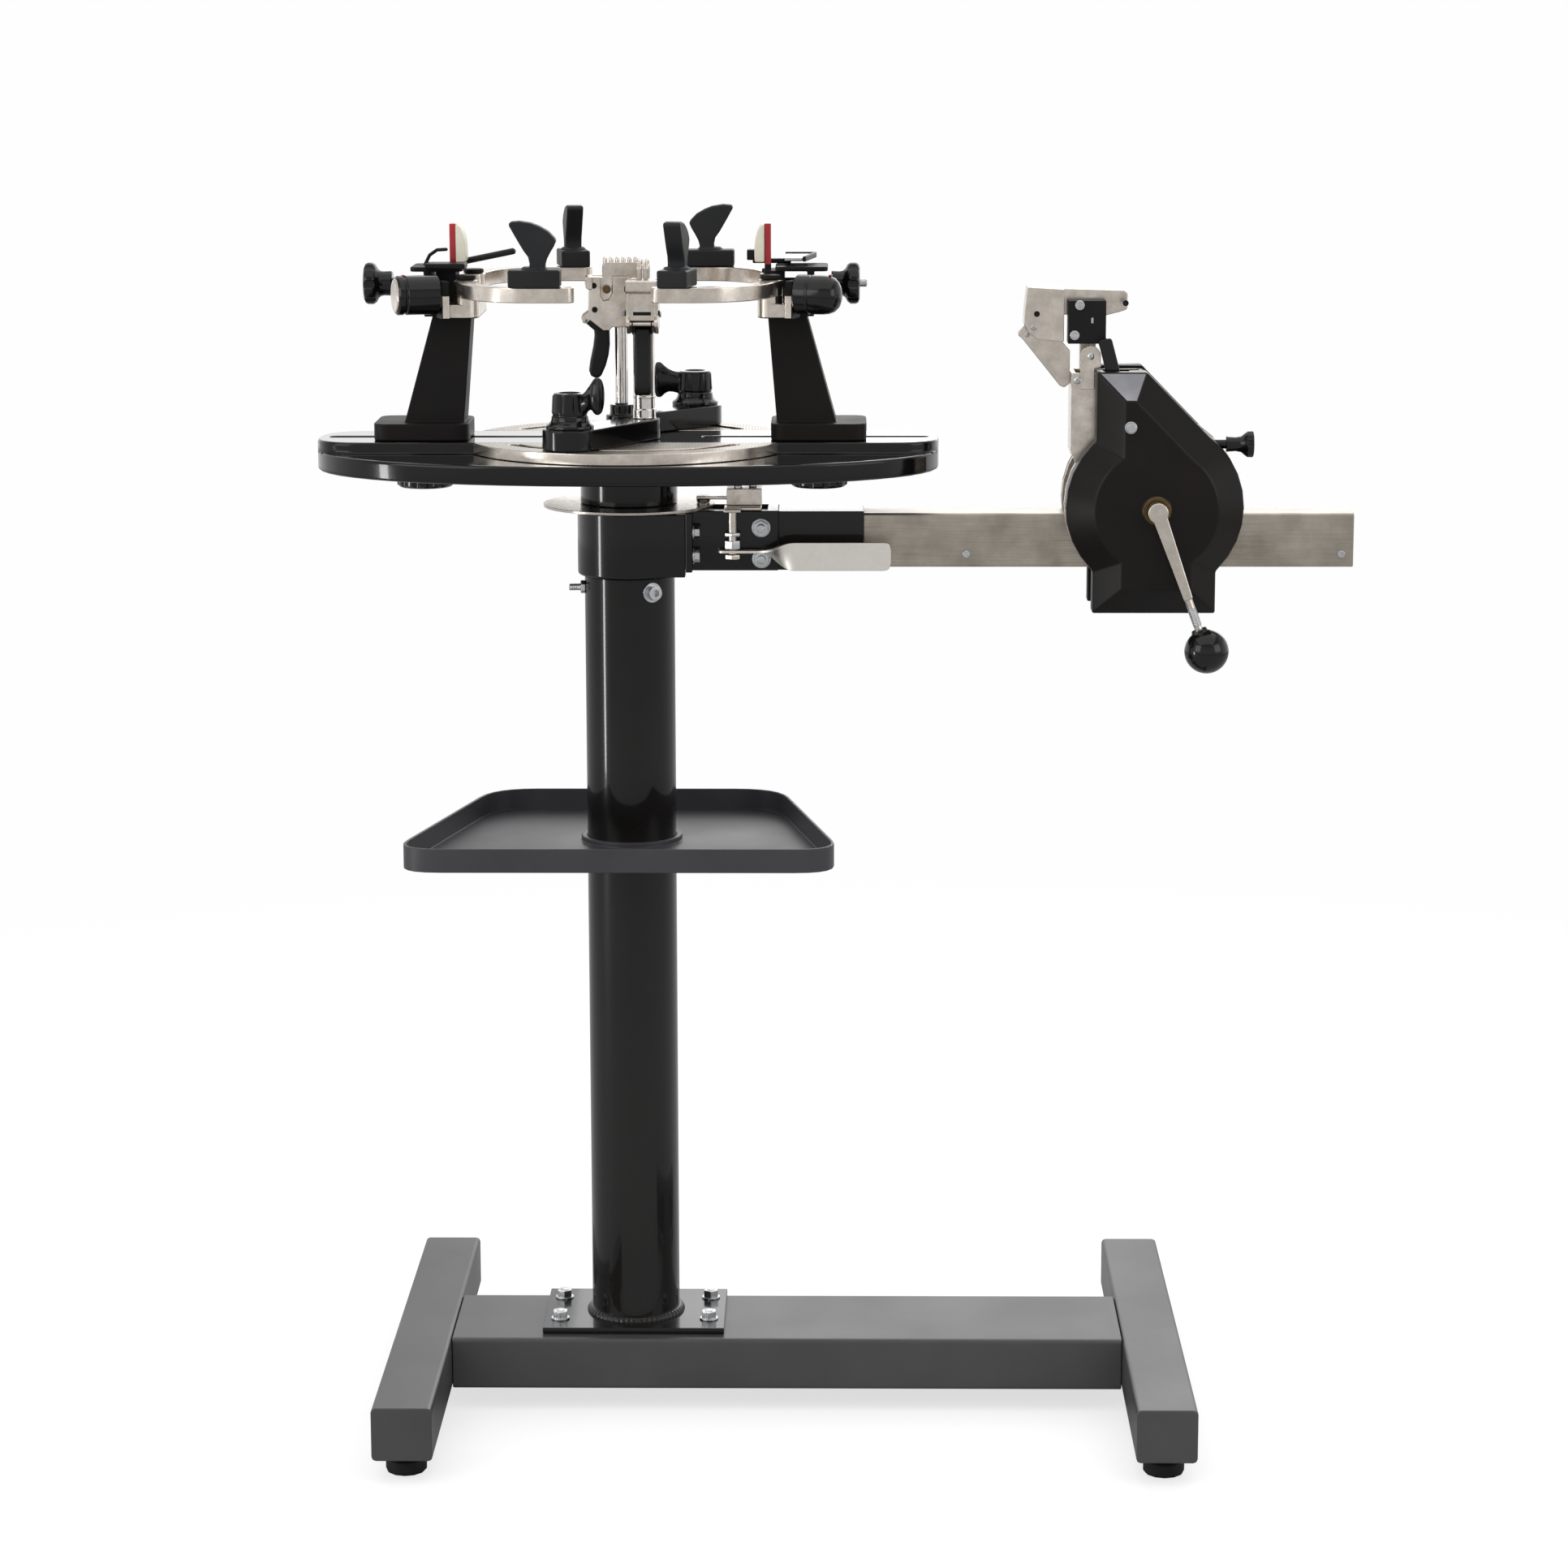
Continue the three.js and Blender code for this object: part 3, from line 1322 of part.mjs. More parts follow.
function clampHandle(end) {
  const h = HANDLE;
  const drop = h.topZ - h.bottomZ;
  const shares = [
    [0.5, 0], [0.62, 0.3], [0.7, 0.7], [0.5, 1], [-0.1, 0.97], [-0.5, 0.6], [-0.35, 0.25], [-0.3, 0],
  ];
  const side = shares.map(([across, down]) => [
    h.topY + (h.bottomY - h.topY) * down - across * h.thickness,
    h.topZ - down * drop,
  ]);
  const grip = section(outline(side), [-h.width / 2, h.width / 2]);
  const eye = rod(h.eyeRadius - FIT, [-h.width / 2, h.topY, h.topZ], [h.width / 2, h.topY, h.topZ]);
  const pinHalf = CLAMP_HEAD.width / 2;
  const pin = rod(h.pinRadius, [-pinHalf, h.topY, h.topZ], [pinHalf, h.topY, h.topZ]);
  const place = postPlace(end);
  const whole = swung(join(grip, eye, pin), end.headTurn, place);
  const eyePoint = new THREE.BufferGeometry().setFromPoints([new THREE.Vector3(0, h.topY, h.topZ)]);
  const axis = swung(eyePoint, end.headTurn, place);
  return piece(`${end.name}_clamp_handle`, whole, FINISH.rubber, [...axis.attributes.position.array]);
}

function turntable() {
  const group = new THREE.Group();
  group.add(spindle(), brakeDisc(), turntablePlate());
  group.add(trackPlate('front_track_plate', -1), trackPlate('rear_track_plate', 1));
  SIDES.forEach((side) => group.add(towerGroup(side)));
  CLAMP_ENDS.forEach((end) => group.add(clampBase(end), baseLock(end), clampHead(end), clampHandle(end)));
  return group;
}

// Rail bracket, rail and brake

function bracket() {
  const { plateThickness, endX, sleeveEndX, sleeveWall, cheekWall, topZ, windowInset } = BRACKET;
  const startX = MAST.padX + FIT;
  const bottom = RAIL.bottomZ - FIT - sleeveWall;
  const outerY = RAIL.halfDepth + FIT + cheekWall;
  const sleeveY = RAIL.halfDepth + FIT + sleeveWall;
  const flangeY = [-MAST.padHalfDepth, MAST.padHalfDepth];
  const flange = slab([startX, startX + plateThickness], flangeY, [bottom, topZ]);
  const channel = slab([startX, endX], [-outerY, outerY], [bottom, topZ]);
  const sleeve = slab([endX - CUT, sleeveEndX], [-sleeveY, sleeveY], [bottom, RAIL.topZ + FIT + sleeveWall]);
  const passage = slab(
    [startX + plateThickness, sleeveEndX + CUT],
    [-RAIL.halfDepth - FIT, RAIL.halfDepth + FIT],
    [RAIL.bottomZ - FIT, RAIL.topZ + FIT],
  );
  const window = slab(
    [startX + plateThickness, endX - windowInset],
    [-RAIL.halfDepth - FIT, RAIL.halfDepth + FIT],
    [RAIL.topZ, topZ + CUT],
  );
  const whole = cut(join(flange, channel, sleeve), passage, window);
  return piece('rail_bracket', whole, FINISH.blackGloss, [startX, 0, bottom]);
}

function rail() {
  const r = RAIL;
  const startX = MAST.padX + FIT + BRACKET.plateThickness + FIT;
  const ring = rectangle([-r.halfDepth, r.halfDepth], [r.bottomZ, r.topZ], r.corner);
  const bar = section(ring, [startX, r.endX], 2);
  const hollow = slab(
    [startX - CUT, r.endX + CUT],
    [-r.halfDepth + r.wall, r.halfDepth - r.wall],
    [r.bottomZ + r.wall, r.topZ - r.wall],
  );
  return piece('tension_rail', cut(bar, hollow), FINISH.steel, [startX, 0, r.bottomZ]);
}

// The caliper stands on the bracket, reaches over the disc's edge and holds the lever's stud in front
function brakeCaliper() {
  const c = CALIPER;
  const seat = BRACKET.topZ + FIT;
  const footY = RAIL.halfDepth + BRACKET.cheekWall;
  const foot = slab([c.startX, c.endX], [-footY, footY], [seat, seat + c.armThickness]);
  const body = slab([c.startX, c.endX], [-c.halfDepth, c.halfDepth], [seat, c.topZ]);
  const padBottom = DISC_BOTTOM + DISC.thickness + FIT;
  const armBottom = padBottom + c.armThickness;
  const arm = slab(
    [c.armTipX, c.startX + WELD],
    [-c.armHalfDepth, c.armHalfDepth],
    [armBottom, armBottom + c.armThickness],
  );
  const pad = hole([c.armTipX + c.padRadius, 0], c.padRadius, [padBottom, armBottom + WELD]);
  const lug = slab(
    [c.studX - c.nutRadius, c.studX + c.nutRadius],
    [c.studY - c.nutRadius, -c.halfDepth],
    [seat, seat + c.armThickness],
  );
  const stud = hole([c.studX, c.studY], c.studRadius, [c.studBottomZ, seat + WELD]);
  const nuts = [
    [LEVER.bottomZ + LEVER.thickness + FIT, LEVER.bottomZ + LEVER.thickness + FIT + BOLT.nutHeight],
    [c.studBottomZ + WELD, LEVER.bottomZ - FIT],
  ].map(([z0, z1]) => hole([c.studX, c.studY], c.nutRadius, [z0, z1], 6));
  const whole = join(foot, body, arm, pad, lug, stud, ...nuts);
  return piece('brake_caliper', whole, FINISH.zinc, [c.startX, 0, seat]);
}

function brakeLever() {
  const l = LEVER;
  const pivot = [CALIPER.studX, CALIPER.studY];
  const eye = hole(pivot, l.eyeRadius, [l.bottomZ, l.bottomZ + l.thickness]);
  const route = [
    new THREE.Vector2(...pivot),
    new THREE.Vector2((CALIPER.studX + l.bendX) / 2, (CALIPER.studY + l.stripY) / 2),
    new THREE.Vector2(l.bendX, l.stripY),
    new THREE.Vector2(l.paddleStartX, l.paddleY),
  ];
  const strip = plate(ribbon(route, l.stripWidth), [l.bottomZ, l.bottomZ + l.thickness]);
  const paddleX = [l.paddleStartX, l.paddleEndX];
  const paddleOutline = rectangle(paddleX, [l.paddleBottomZ, l.paddleTopZ], l.paddleCorner);
  const paddleHalf = l.paddleThickness / 2;
  const paddle = panel(paddleOutline, [l.paddleY - paddleHalf, l.paddleY + paddleHalf], 4);
  const bore = hole(pivot, CALIPER.studRadius + FIT, [l.bottomZ - CUT, l.bottomZ + l.thickness + CUT]);
  const whole = cut(join(eye, strip, paddle), bore);
  return piece('turntable_brake_lever', whole, FINISH.ivory, [...pivot, l.bottomZ]);
}

// Tension head

const CRANK_Z = RAIL.topZ + RUN + CRANK.pinionRadius;
const PLATE_INNER_Y = RAIL.halfDepth + RUN;
const PLATE_OUTER_Y = PLATE_INNER_Y + FRAME.plateThickness;
const COVER_START_Y = PLATE_OUTER_Y + FIT;
const CRANK_AXIS = [CRANK.x, CRANK_Z];

function crankBore(radius, [y0, y1]) {
  return rod(radius, [CRANK.x, y0, CRANK_Z], [CRANK.x, y1, CRANK_Z], MEDIUM);
}

// The three convex outlines that make up the housing: the round, the top and the foot
function housingOutlines() {
  const c = COVER;
  const steps = FINE;
  const round = [];
  for (let i = 0; i < steps; i += 1) {
    const [x, z] = polar(c.roundRadius, (360 * i) / steps);
    round.push([CRANK.x + x, CRANK_Z + z]);
  }
  const top = [
    [c.leftX, CRANK_Z - c.frontInset],
    [c.shoulderX, CRANK_Z - c.frontInset],
    [c.shoulderX, c.shoulderZ],
    [c.topRightX, c.topZ],
    [c.leftX, c.topZ],
  ];
  const foot = [
    [c.blockLeftX, c.bottomZ],
    [c.blockRightX, c.bottomZ],
    [c.blockRightX, CRANK_Z + c.frontInset],
    [c.blockLeftX, CRANK_Z + c.frontInset],
  ];
  return [round, top, foot];
}

// A block over the housing's outlines: straight from startY to sideY, then drawn in to faceY
function housingBlock(startY, sideY, faceY, drawIn, wall) {
  const ring = (points, distance, y) => inset(points, distance).map(([x, z]) => [x, y, z]);
  const blocks = housingOutlines().map((points) => lofted([
    ring(points, wall, startY),
    ring(points, wall, sideY),
    ring(points, drawIn, faceY),
  ]));
  return join(...blocks);
}

function frontCover() {
  const c = COVER;
  const k = TENSION_KNOB;
  const outside = housingBlock(-COVER_START_Y, c.frontSideY, c.frontY, c.frontInset, 0);
  const inside = housingBlock(-COVER_START_Y + CUT, c.frontSideY, c.frontY + c.wall, c.frontInset, c.wall);
  const bush = crankBore(CRANK.bushRadius, [c.frontY - CRANK.bushHeight, c.frontY + WELD]);
  const boreY = [c.frontY - CRANK.bushHeight - CUT, c.frontY + c.wall + CUT];
  const bore = crankBore(CRANK.shaftRadius + RUN, boreY);
  const knobHole = rod(
    k.shaftRadius + FIT,
    [k.startX - k.shaftReach - CUT, k.y, k.z],
    [k.startX + CUT, k.y, k.z],
  );
  const whole = cut(join(outside, bush), inside, bore, knobHole, releaseSlot());
  return piece('tension_head_front_cover', whole, FINISH.blackSatin, [CRANK.x, -COVER_START_Y, CRANK_Z]);
}

function releaseSlot() {
  const r = RELEASE;
  const lean = THREE.MathUtils.degToRad(r.leanAngle);
  const rise = COVER.topZ - r.pivotZ;
  const half = r.thickness / 2 / Math.cos(lean) + RUN;
  return slab(
    [r.pivotX - rise * Math.tan(lean) - half, r.pivotX + half + CUT],
    [r.endY - CUT, r.startY + CUT],
    [COVER.topZ - COVER.wall - CUT, COVER.topZ + CUT],
  );
}

function rearCover() {
  const c = COVER;
  const outside = housingBlock(COVER_START_Y, c.rearSideY, c.rearY, c.rearInset, 0);
  const inside = housingBlock(COVER_START_Y - CUT, c.rearSideY, c.rearY - c.wall, c.rearInset, c.wall);
  const start = [CRANK.x, COVER_START_Y, CRANK_Z];
  return piece('tension_head_rear_cover', cut(outside, inside), FINISH.blackSatin, start);
}

// Two side plates on either side of the rail, with guides above and below it and webs between
function carriageFrame() {
  const f = FRAME;
  const c = COVER;
  const between = [-PLATE_INNER_Y - WELD, PLATE_INNER_Y + WELD];
  const sidePlate = (y0, y1) => join(
    rod(f.discRadius, [CRANK.x, y0, CRANK_Z], [CRANK.x, y1, CRANK_Z], FINE),
    panel(outline([
      [f.uprightLeftX, f.webBottomZ],
      [c.leftX, CRANK_Z],
      [c.shoulderX - c.wall, CRANK_Z],
      [c.shoulderX - c.wall, c.shoulderZ],
      [c.topRightX, c.topZ - c.wall],
      [f.uprightLeftX, c.topZ - c.wall],
    ]), [y0, y1]),
  );
  const guideTop = [RAIL.topZ + RUN, RAIL.topZ + RUN + f.guideHeight];
  const guides = join(
    slab([f.guideStartX, CRANK.x - f.pinionGap], between, guideTop),
    slab([CRANK.x + f.pinionGap, f.guideEndX], between, guideTop),
    slab([f.guideStartX, f.guideEndX], between, [RAIL.bottomZ - RUN - f.guideHeight, RAIL.bottomZ - RUN]),
  );
  const leftWeb = slab(
    [f.uprightLeftX, f.uprightLeftX + f.webThickness],
    between,
    [f.webBottomZ, c.topZ - c.wall],
  );
  const backWeb = panel(outline([
    [c.shoulderX - c.wall - f.webThickness, c.shoulderZ],
    [c.shoulderX - c.wall, c.shoulderZ],
    [c.topRightX, c.topZ - c.wall],
    [c.topRightX - f.webThickness, c.topZ - c.wall],
  ]), between);
  const shaftBore = crankBore(CRANK.shaftRadius + RUN, [-PLATE_OUTER_Y - CUT, PLATE_OUTER_Y + CUT]);
  const releasePin = rod(
    RELEASE.pinRadius,
    [RELEASE.pivotX, -PLATE_OUTER_Y + WELD, RELEASE.pivotZ],
    [RELEASE.pivotX, RELEASE.endY - FIT, RELEASE.pivotZ],
  );
  const plates = join(
    sidePlate(-PLATE_OUTER_Y, -PLATE_INNER_Y),
    sidePlate(PLATE_INNER_Y, PLATE_OUTER_Y),
    guides,
    leftWeb,
    backWeb,
  );
  const whole = join(cut(plates, shaftBore), releasePin);
  return piece('tension_carriage', whole, FINISH.nickel, [CRANK.x, 0, CRANK_Z]);
}

// Turns a solid drawn about the crank's axis by the crank's angle and carries it to that axis
function onCrank(geometry) {
  return geometry.rotateY(-THREE.MathUtils.degToRad(CRANK.tiltAngle)).translate(CRANK.x, 0, CRANK_Z);
}

function tensionCrank() {
  const k = CRANK;
  const armFront = k.armY - k.armThickness / 2;
  const armBack = k.armY + k.armThickness / 2;
  const shaft = rod(k.shaftRadius, [0, armBack, 0], [0, PLATE_OUTER_Y - RUN, 0]);
  const pinion = rod(k.pinionRadius, [0, -k.pinionLength / 2, 0], [0, k.pinionLength / 2, 0], MEDIUM);
  const hub = rod(k.hubRadius, [0, armFront, 0], [0, COVER.frontY - k.bushHeight - RUN, 0], MEDIUM);
  const arm = panel(outline([
    [-k.armWidth / 2, 0],
    [-k.armTipWidth / 2, -k.armReach],
    [k.armTipWidth / 2, -k.armReach],
    [k.armWidth / 2, 0],
  ]), [armFront, armBack]);
  const rodEnd = k.ballReach - k.ballRadius / 2;
  const spindleRod = rod(k.rodRadius, [0, k.armY, -k.armReach + WELD], [0, k.armY, -rodEnd]);
  const whole = onCrank(join(shaft, pinion, hub, arm, spindleRod));
  return piece('tension_crank', whole, FINISH.nickel, [CRANK.x, 0, CRANK_Z]);
}

function ballKnob() {
  const k = CRANK;
  const ball = new THREE.SphereGeometry(k.ballRadius, MEDIUM, SMALL).translate(0, k.armY, -k.ballReach);
  const boreEnd = k.ballReach - k.ballRadius / 2 + FIT;
  const bore = rod(k.rodRadius + FIT, [0, k.armY, -k.ballReach + k.ballRadius + CUT], [0, k.armY, -boreEnd]);
  const lean = THREE.MathUtils.degToRad(k.tiltAngle);
  const pivot = [k.x + k.ballReach * Math.sin(lean), k.armY, CRANK_Z - k.ballReach * Math.cos(lean)];
  return piece('crank_ball_knob', onCrank(cut(ball, bore)), FINISH.gloss, pivot);
}

function tensionKnob() {
  const k = TENSION_KNOB;
  const length = k.endX - k.startX;
  const knob = turned([
    [0, -k.shaftReach],
    [k.shaftRadius, -k.shaftReach],
    [k.shaftRadius, 0],
    [k.neckRadius, 0],
    [k.neckRadius, length - 2 * k.flareLength],
    [k.flareRadius, length - k.flareLength],
    [k.flareRadius, length],
    [0, length],
  ], SMALL);
  const seat = new THREE.Vector3(k.startX, k.y, k.z);
  return piece('tension_knob', aimed(knob, seat, new THREE.Vector3(1, 0, 0)), FINISH.gloss, seat.toArray());
}

// The gripper stands on a slanting link and an upright on the frame's left web
function gripperBody() {
  const g = GRIPPER;
  const block = slab([g.bodyLeftX, g.bodyRightX], [-g.halfDepth, g.halfDepth], [g.bodyBottomZ, g.bodyTopZ]);
  const mouth = slab(
    [g.bodyLeftX - CUT, g.bodyRightX + CUT],
    [-g.jawGap, 0],
    [g.mouthZ, g.bodyTopZ + CUT],
  );
  const bar = panel(outline([
    [g.bodyRightX - WELD, g.barBottomZ],
    [g.jawRightX, g.barBottomZ],
    [g.barEndX, g.barTipBottomZ],
    [g.barEndX, g.barTopZ],
    [g.bodyRightX - WELD, g.barTopZ],
  ]), [FIT, g.halfDepth]);
  const along = new THREE.Vector2(g.linkBottomX - g.linkTopX, g.linkBottomZ - g.linkTopZ);
  const across = new THREE.Vector2(-along.y, along.x).setLength(g.linkWidth / 2);
  const link = panel(outline([
    [g.linkTopX - across.x, g.linkTopZ - across.y],
    [g.linkBottomX - across.x, g.linkBottomZ - across.y],
    [g.linkBottomX + across.x, g.linkBottomZ + across.y],
    [g.linkTopX + across.x, g.linkTopZ + across.y],
  ]), [-g.linkDepth / 2, g.linkDepth / 2]);
  const upright = slab([g.postLeftX, g.postRightX], [0, g.linkDepth], [g.postBottomZ, g.barBottomZ + WELD]);
  const clear = slab(
    [FRAME.uprightLeftX - FIT, g.barEndX],
    [-g.halfDepth, -RUN],
    [g.bodyBottomZ - g.linkWidth * 2, g.jawBottomZ],
  );
  const webClear = slab(
    [FRAME.uprightLeftX - FIT, FRAME.uprightLeftX + FRAME.webThickness + FIT],
    [-g.linkDepth, g.linkDepth],
    [FRAME.webBottomZ, COVER.topZ - COVER.wall + FIT],
  );
  const whole = cut(join(cut(block, mouth), bar, link, upright), clear, webClear);
  return piece('gripper_body', whole, FINISH.nickel, [g.bodyLeftX, 0, g.bodyBottomZ]);
}

function gripperJaw() {
  const g = GRIPPER;
  const jaw = slab(
    [g.bodyRightX + FIT, g.jawRightX],
    [-g.jawFront, -FIT],
    [g.jawBottomZ + FIT, g.jawTopZ],
  );
  return piece('gripper_jaw', jaw, FINISH.blackSatin, [g.bodyRightX, -FIT, g.jawBottomZ]);
}

function releaseLever() {
  const r = RELEASE;
  const half = r.thickness / 2;
  const across = [r.endY, r.startY];
  const eye = rod(half, [0, r.endY, 0], [0, r.startY, 0]);
  const gripOutline = [[-half, 0], [half, 0], [half, r.length], [-half, r.length]];
  const grip = panel(rounded(gripOutline, half / 2), across, 3);
  const bore = rod(r.pinRadius + FIT, [0, r.endY - CUT, 0], [0, r.startY + CUT, 0]);
  const lever = cut(join(eye, grip), bore).rotateY(-THREE.MathUtils.degToRad(r.leanAngle));
  lever.translate(r.pivotX, 0, r.pivotZ);
  return piece('brake_release_lever', lever, FINISH.blackPlastic, [r.pivotX, r.startY, r.pivotZ]);
}

function tensionHead() {
  const group = new THREE.Group();
  group.add(carriageFrame(), frontCover(), rearCover(), tensionCrank(), ballKnob());
  group.add(tensionKnob(), gripperBody(), gripperJaw(), releaseLever());
  return group;
}

// The whole machine, moved so that its origin is the middle of its box on the floor

function stringingMachine() {
  const left = TOWER.leftX + PAD_KNOB.faceX + CARRIAGE.leftOut;
  const middleX = (Math.min(-TABLE.halfLength, left) + RAIL.endX) / 2;
  const middleY = (STAND.footFrontY + STAND.footRearY) / 2;
  const machine = new THREE.Group();
  machine.position.set(-middleX, -middleY, 0);
  machine.add(stand());
  machine.add(mastHead(), thrustWasher(), bracket(), rail(), brakeCaliper(), brakeLever());
  machine.add(turntable(), tensionHead());
  return machine;
}

export default stringingMachine();
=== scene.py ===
"""A racket stringing machine on a column stand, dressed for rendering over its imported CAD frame.

Every place is measured in millimetres from the column's axis at floor level, as the machine's maker would,
and spot() turns it into the frame's own metres.
"""

import json
import logging
import math
from contextlib import contextmanager
from dataclasses import dataclass
from enum import Enum
from typing import Callable, Iterator, Sequence

import bpy
from mathutils import Euler, Matrix, Vector

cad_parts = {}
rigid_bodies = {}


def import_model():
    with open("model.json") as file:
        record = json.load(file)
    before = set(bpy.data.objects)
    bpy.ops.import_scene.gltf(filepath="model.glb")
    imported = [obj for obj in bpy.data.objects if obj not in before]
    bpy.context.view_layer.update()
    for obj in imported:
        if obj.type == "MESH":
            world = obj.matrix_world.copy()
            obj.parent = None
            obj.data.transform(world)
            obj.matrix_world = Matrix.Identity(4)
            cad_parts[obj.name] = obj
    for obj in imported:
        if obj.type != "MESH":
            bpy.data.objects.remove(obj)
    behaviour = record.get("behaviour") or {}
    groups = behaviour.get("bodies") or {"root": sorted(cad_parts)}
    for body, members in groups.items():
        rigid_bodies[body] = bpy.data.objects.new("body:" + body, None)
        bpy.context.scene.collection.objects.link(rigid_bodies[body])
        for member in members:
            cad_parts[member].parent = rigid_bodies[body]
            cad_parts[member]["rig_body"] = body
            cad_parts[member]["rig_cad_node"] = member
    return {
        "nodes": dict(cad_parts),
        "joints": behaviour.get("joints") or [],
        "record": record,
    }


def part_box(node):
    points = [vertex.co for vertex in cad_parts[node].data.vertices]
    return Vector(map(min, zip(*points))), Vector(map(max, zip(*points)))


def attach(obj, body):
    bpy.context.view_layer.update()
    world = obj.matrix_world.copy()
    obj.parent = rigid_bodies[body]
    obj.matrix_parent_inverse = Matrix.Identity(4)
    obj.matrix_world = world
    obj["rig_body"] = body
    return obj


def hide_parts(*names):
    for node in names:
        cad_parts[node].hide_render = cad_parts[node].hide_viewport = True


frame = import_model()

log = logging.getLogger("stringing machine")
MM = 0.001
COLUMN_AXIS = Vector((-0.18315, 0.0111, 0.0))
Point = tuple[float, float, float]
Flat = tuple[float, float]
RIGHT: Point = (1.0, 0.0, 0.0)
REAR: Point = (0.0, 1.0, 0.0)
FRONT: Point = (0.0, -1.0, 0.0)
UP: Point = (0.0, 0.0, 1.0)
DOWN: Point = (0.0, 0.0, -1.0)
THREAD_PITCH = 1.2


class Axis(Enum):
    """The way that a metal was brushed."""

    X = RIGHT
    Y = REAR


class Slot(str, Enum):
    """The record's material slots."""

    BLACK_GLOSS = "black_gloss"
    BASE_CHARCOAL = "base_charcoal"
    TRAY_GREY = "tray_grey"
    TOWER_BLACK = "tower_black"
    NICKEL = "nickel"
    STEEL = "steel"
    ZINC = "zinc"
    SATIN_BLACK = "satin_black"
    GLOSS_PLASTIC = "gloss_black_plastic"
    COVER_PLASTIC = "cover_plastic"
    BLACK_RUBBER = "black_rubber"
    GREY_RUBBER = "grey_rubber"
    RED_PAINT = "red_paint"
    CREAM_PAD = "cream_pad"
    IVORY_LEVER = "ivory_lever"


def spot(x: float, y: float, z: float) -> Vector:
    """Gives the frame's point for a place in millimetres from the column's axis at floor level.

    Args:
        x: Millimetres along the tension rail.
        y: Millimetres to the back.
        z: Millimetres above the floor.

    Returns:
        The point in metres.
    """
    return COLUMN_AXIS + Vector((x, y, z)) * MM


def linear(hex_colour: str) -> tuple[float, float, float, float]:
    """Turns an sRGB hex colour into the linear colour that a shader reads.

    Args:
        hex_colour: Six hex digits after a hash sign.

    Returns:
        Linear red, green, blue and an alpha of one.
    """
    parts = [int(hex_colour[i : i + 2], 16) / 255 for i in (1, 3, 5)]
    red, green, blue = [c / 12.92 if c <= 0.04045 else ((c + 0.055) / 1.055) ** 2.4 for c in parts]
    return (red, green, blue, 1.0)


def wire(tree: bpy.types.NodeTree, node: bpy.types.Node, **inputs: object) -> bpy.types.Node:
    """Links or sets a node's inputs.

    Args:
        tree: The node tree that the node is in.
        node: The node.
        **inputs: Input sockets by name, with spaces as underscores or in_ and an index. A socket is linked
            and anything else is set.

    Returns:
        The same node.
    """
    for name, value in inputs.items():
        key = int(name[3:]) if name.startswith("in_") else name.replace("_", " ")
        if isinstance(value, bpy.types.NodeSocket):
            tree.links.new(value, node.inputs[key])
        else:
            node.inputs[key].default_value = value
    return node


def add_node(
    tree: bpy.types.NodeTree, kind: str, settings: dict | None = None, **inputs: object,
) -> bpy.types.Node:
    """Adds one shader node with its settings and its inputs.

    Args:
        tree: The node tree that takes it.
        kind: The node's type without its ShaderNode prefix.
        settings: Attributes of the node by name.
        **inputs: Its inputs, as wire() takes them.

    Returns:
        The new node.
    """
    made = tree.nodes.new("ShaderNode" + kind)
    for name, value in (settings or {}).items():
        setattr(made, name, value)
    return wire(tree, made, **inputs)


def clear() -> None:
    """Leaves edit mode and deselects everything, so that the next operator acts on its own piece alone."""
    if bpy.context.object is not None and bpy.context.object.mode != "OBJECT":
        bpy.ops.object.mode_set(mode="OBJECT")
    bpy.ops.object.select_all(action="DESELECT")


def hold(piece: bpy.types.Object) -> bpy.types.Object:
    """Selects one piece alone and makes it active.

    Args:
        piece: The object to work on.

    Returns:
        The same object.
    """
    clear()
    piece.select_set(True)
    bpy.context.view_layer.objects.active = piece
    return piece


def settle(name: str) -> bpy.types.Object:
    """Names the primitive just added and puts its place into its mesh.

    Args:
        name: The piece's name.

    Returns:
        The new object, at the origin, unturned and unscaled.
    """
    piece = bpy.context.object
    piece.name = name
    piece.data.name = name
    bpy.ops.object.transform_apply(location=True, rotation=True, scale=True)
    return piece


@contextmanager
def bench(piece: bpy.types.Object, mode: str = "FACE") -> Iterator[bpy.types.Object]:
    """Puts a piece in edit mode with nothing selected, and leaves edit mode at the end.

    Args:
        piece: The object to edit.
        mode: The select mode: VERT, EDGE or FACE.
    """
    hold(piece)
    bpy.ops.object.mode_set(mode="EDIT")
    bpy.ops.mesh.select_mode(type=mode)
    bpy.ops.mesh.select_all(action="DESELECT")
    yield piece
    bpy.ops.object.mode_set(mode="OBJECT")


def pick_all() -> None:
    """Selects the whole mesh, from inside bench()."""
    bpy.ops.mesh.select_all(action="SELECT")


def pick_faces(piece: bpy.types.Object, test: Callable[[bpy.types.MeshPolygon], bool]) -> None:
    """Selects the faces that pass a test, from inside bench().

    Args:
        piece: The object in edit mode.
        test: Says whether a polygon is picked.
    """
    bpy.ops.object.mode_set(mode="OBJECT")
    for polygon in piece.data.polygons:
        polygon.select = test(polygon)
    bpy.ops.object.mode_set(mode="EDIT")


def turn_to(direction: Sequence[float]) -> Euler:
    """Gives the rotation that takes +Z to a direction."""
    return Vector(direction).to_track_quat("Z", "Y").to_euler()


def block(name: str, size: Point, centre: Vector, turn: Sequence[float] = (0.0, 0.0, 0.0)) -> bpy.types.Object:
    """Adds a block.

    Args:
        name: The piece's name.
        size: Its length, depth and height in millimetres.
        centre: Its middle in the frame.
        turn: Its rotation in radians.

    Returns:
        The block.
    """
    clear()
    bpy.ops.mesh.primitive_cube_add(size=1.0, location=centre, rotation=turn, scale=Vector(size) * MM)
    return settle(name)


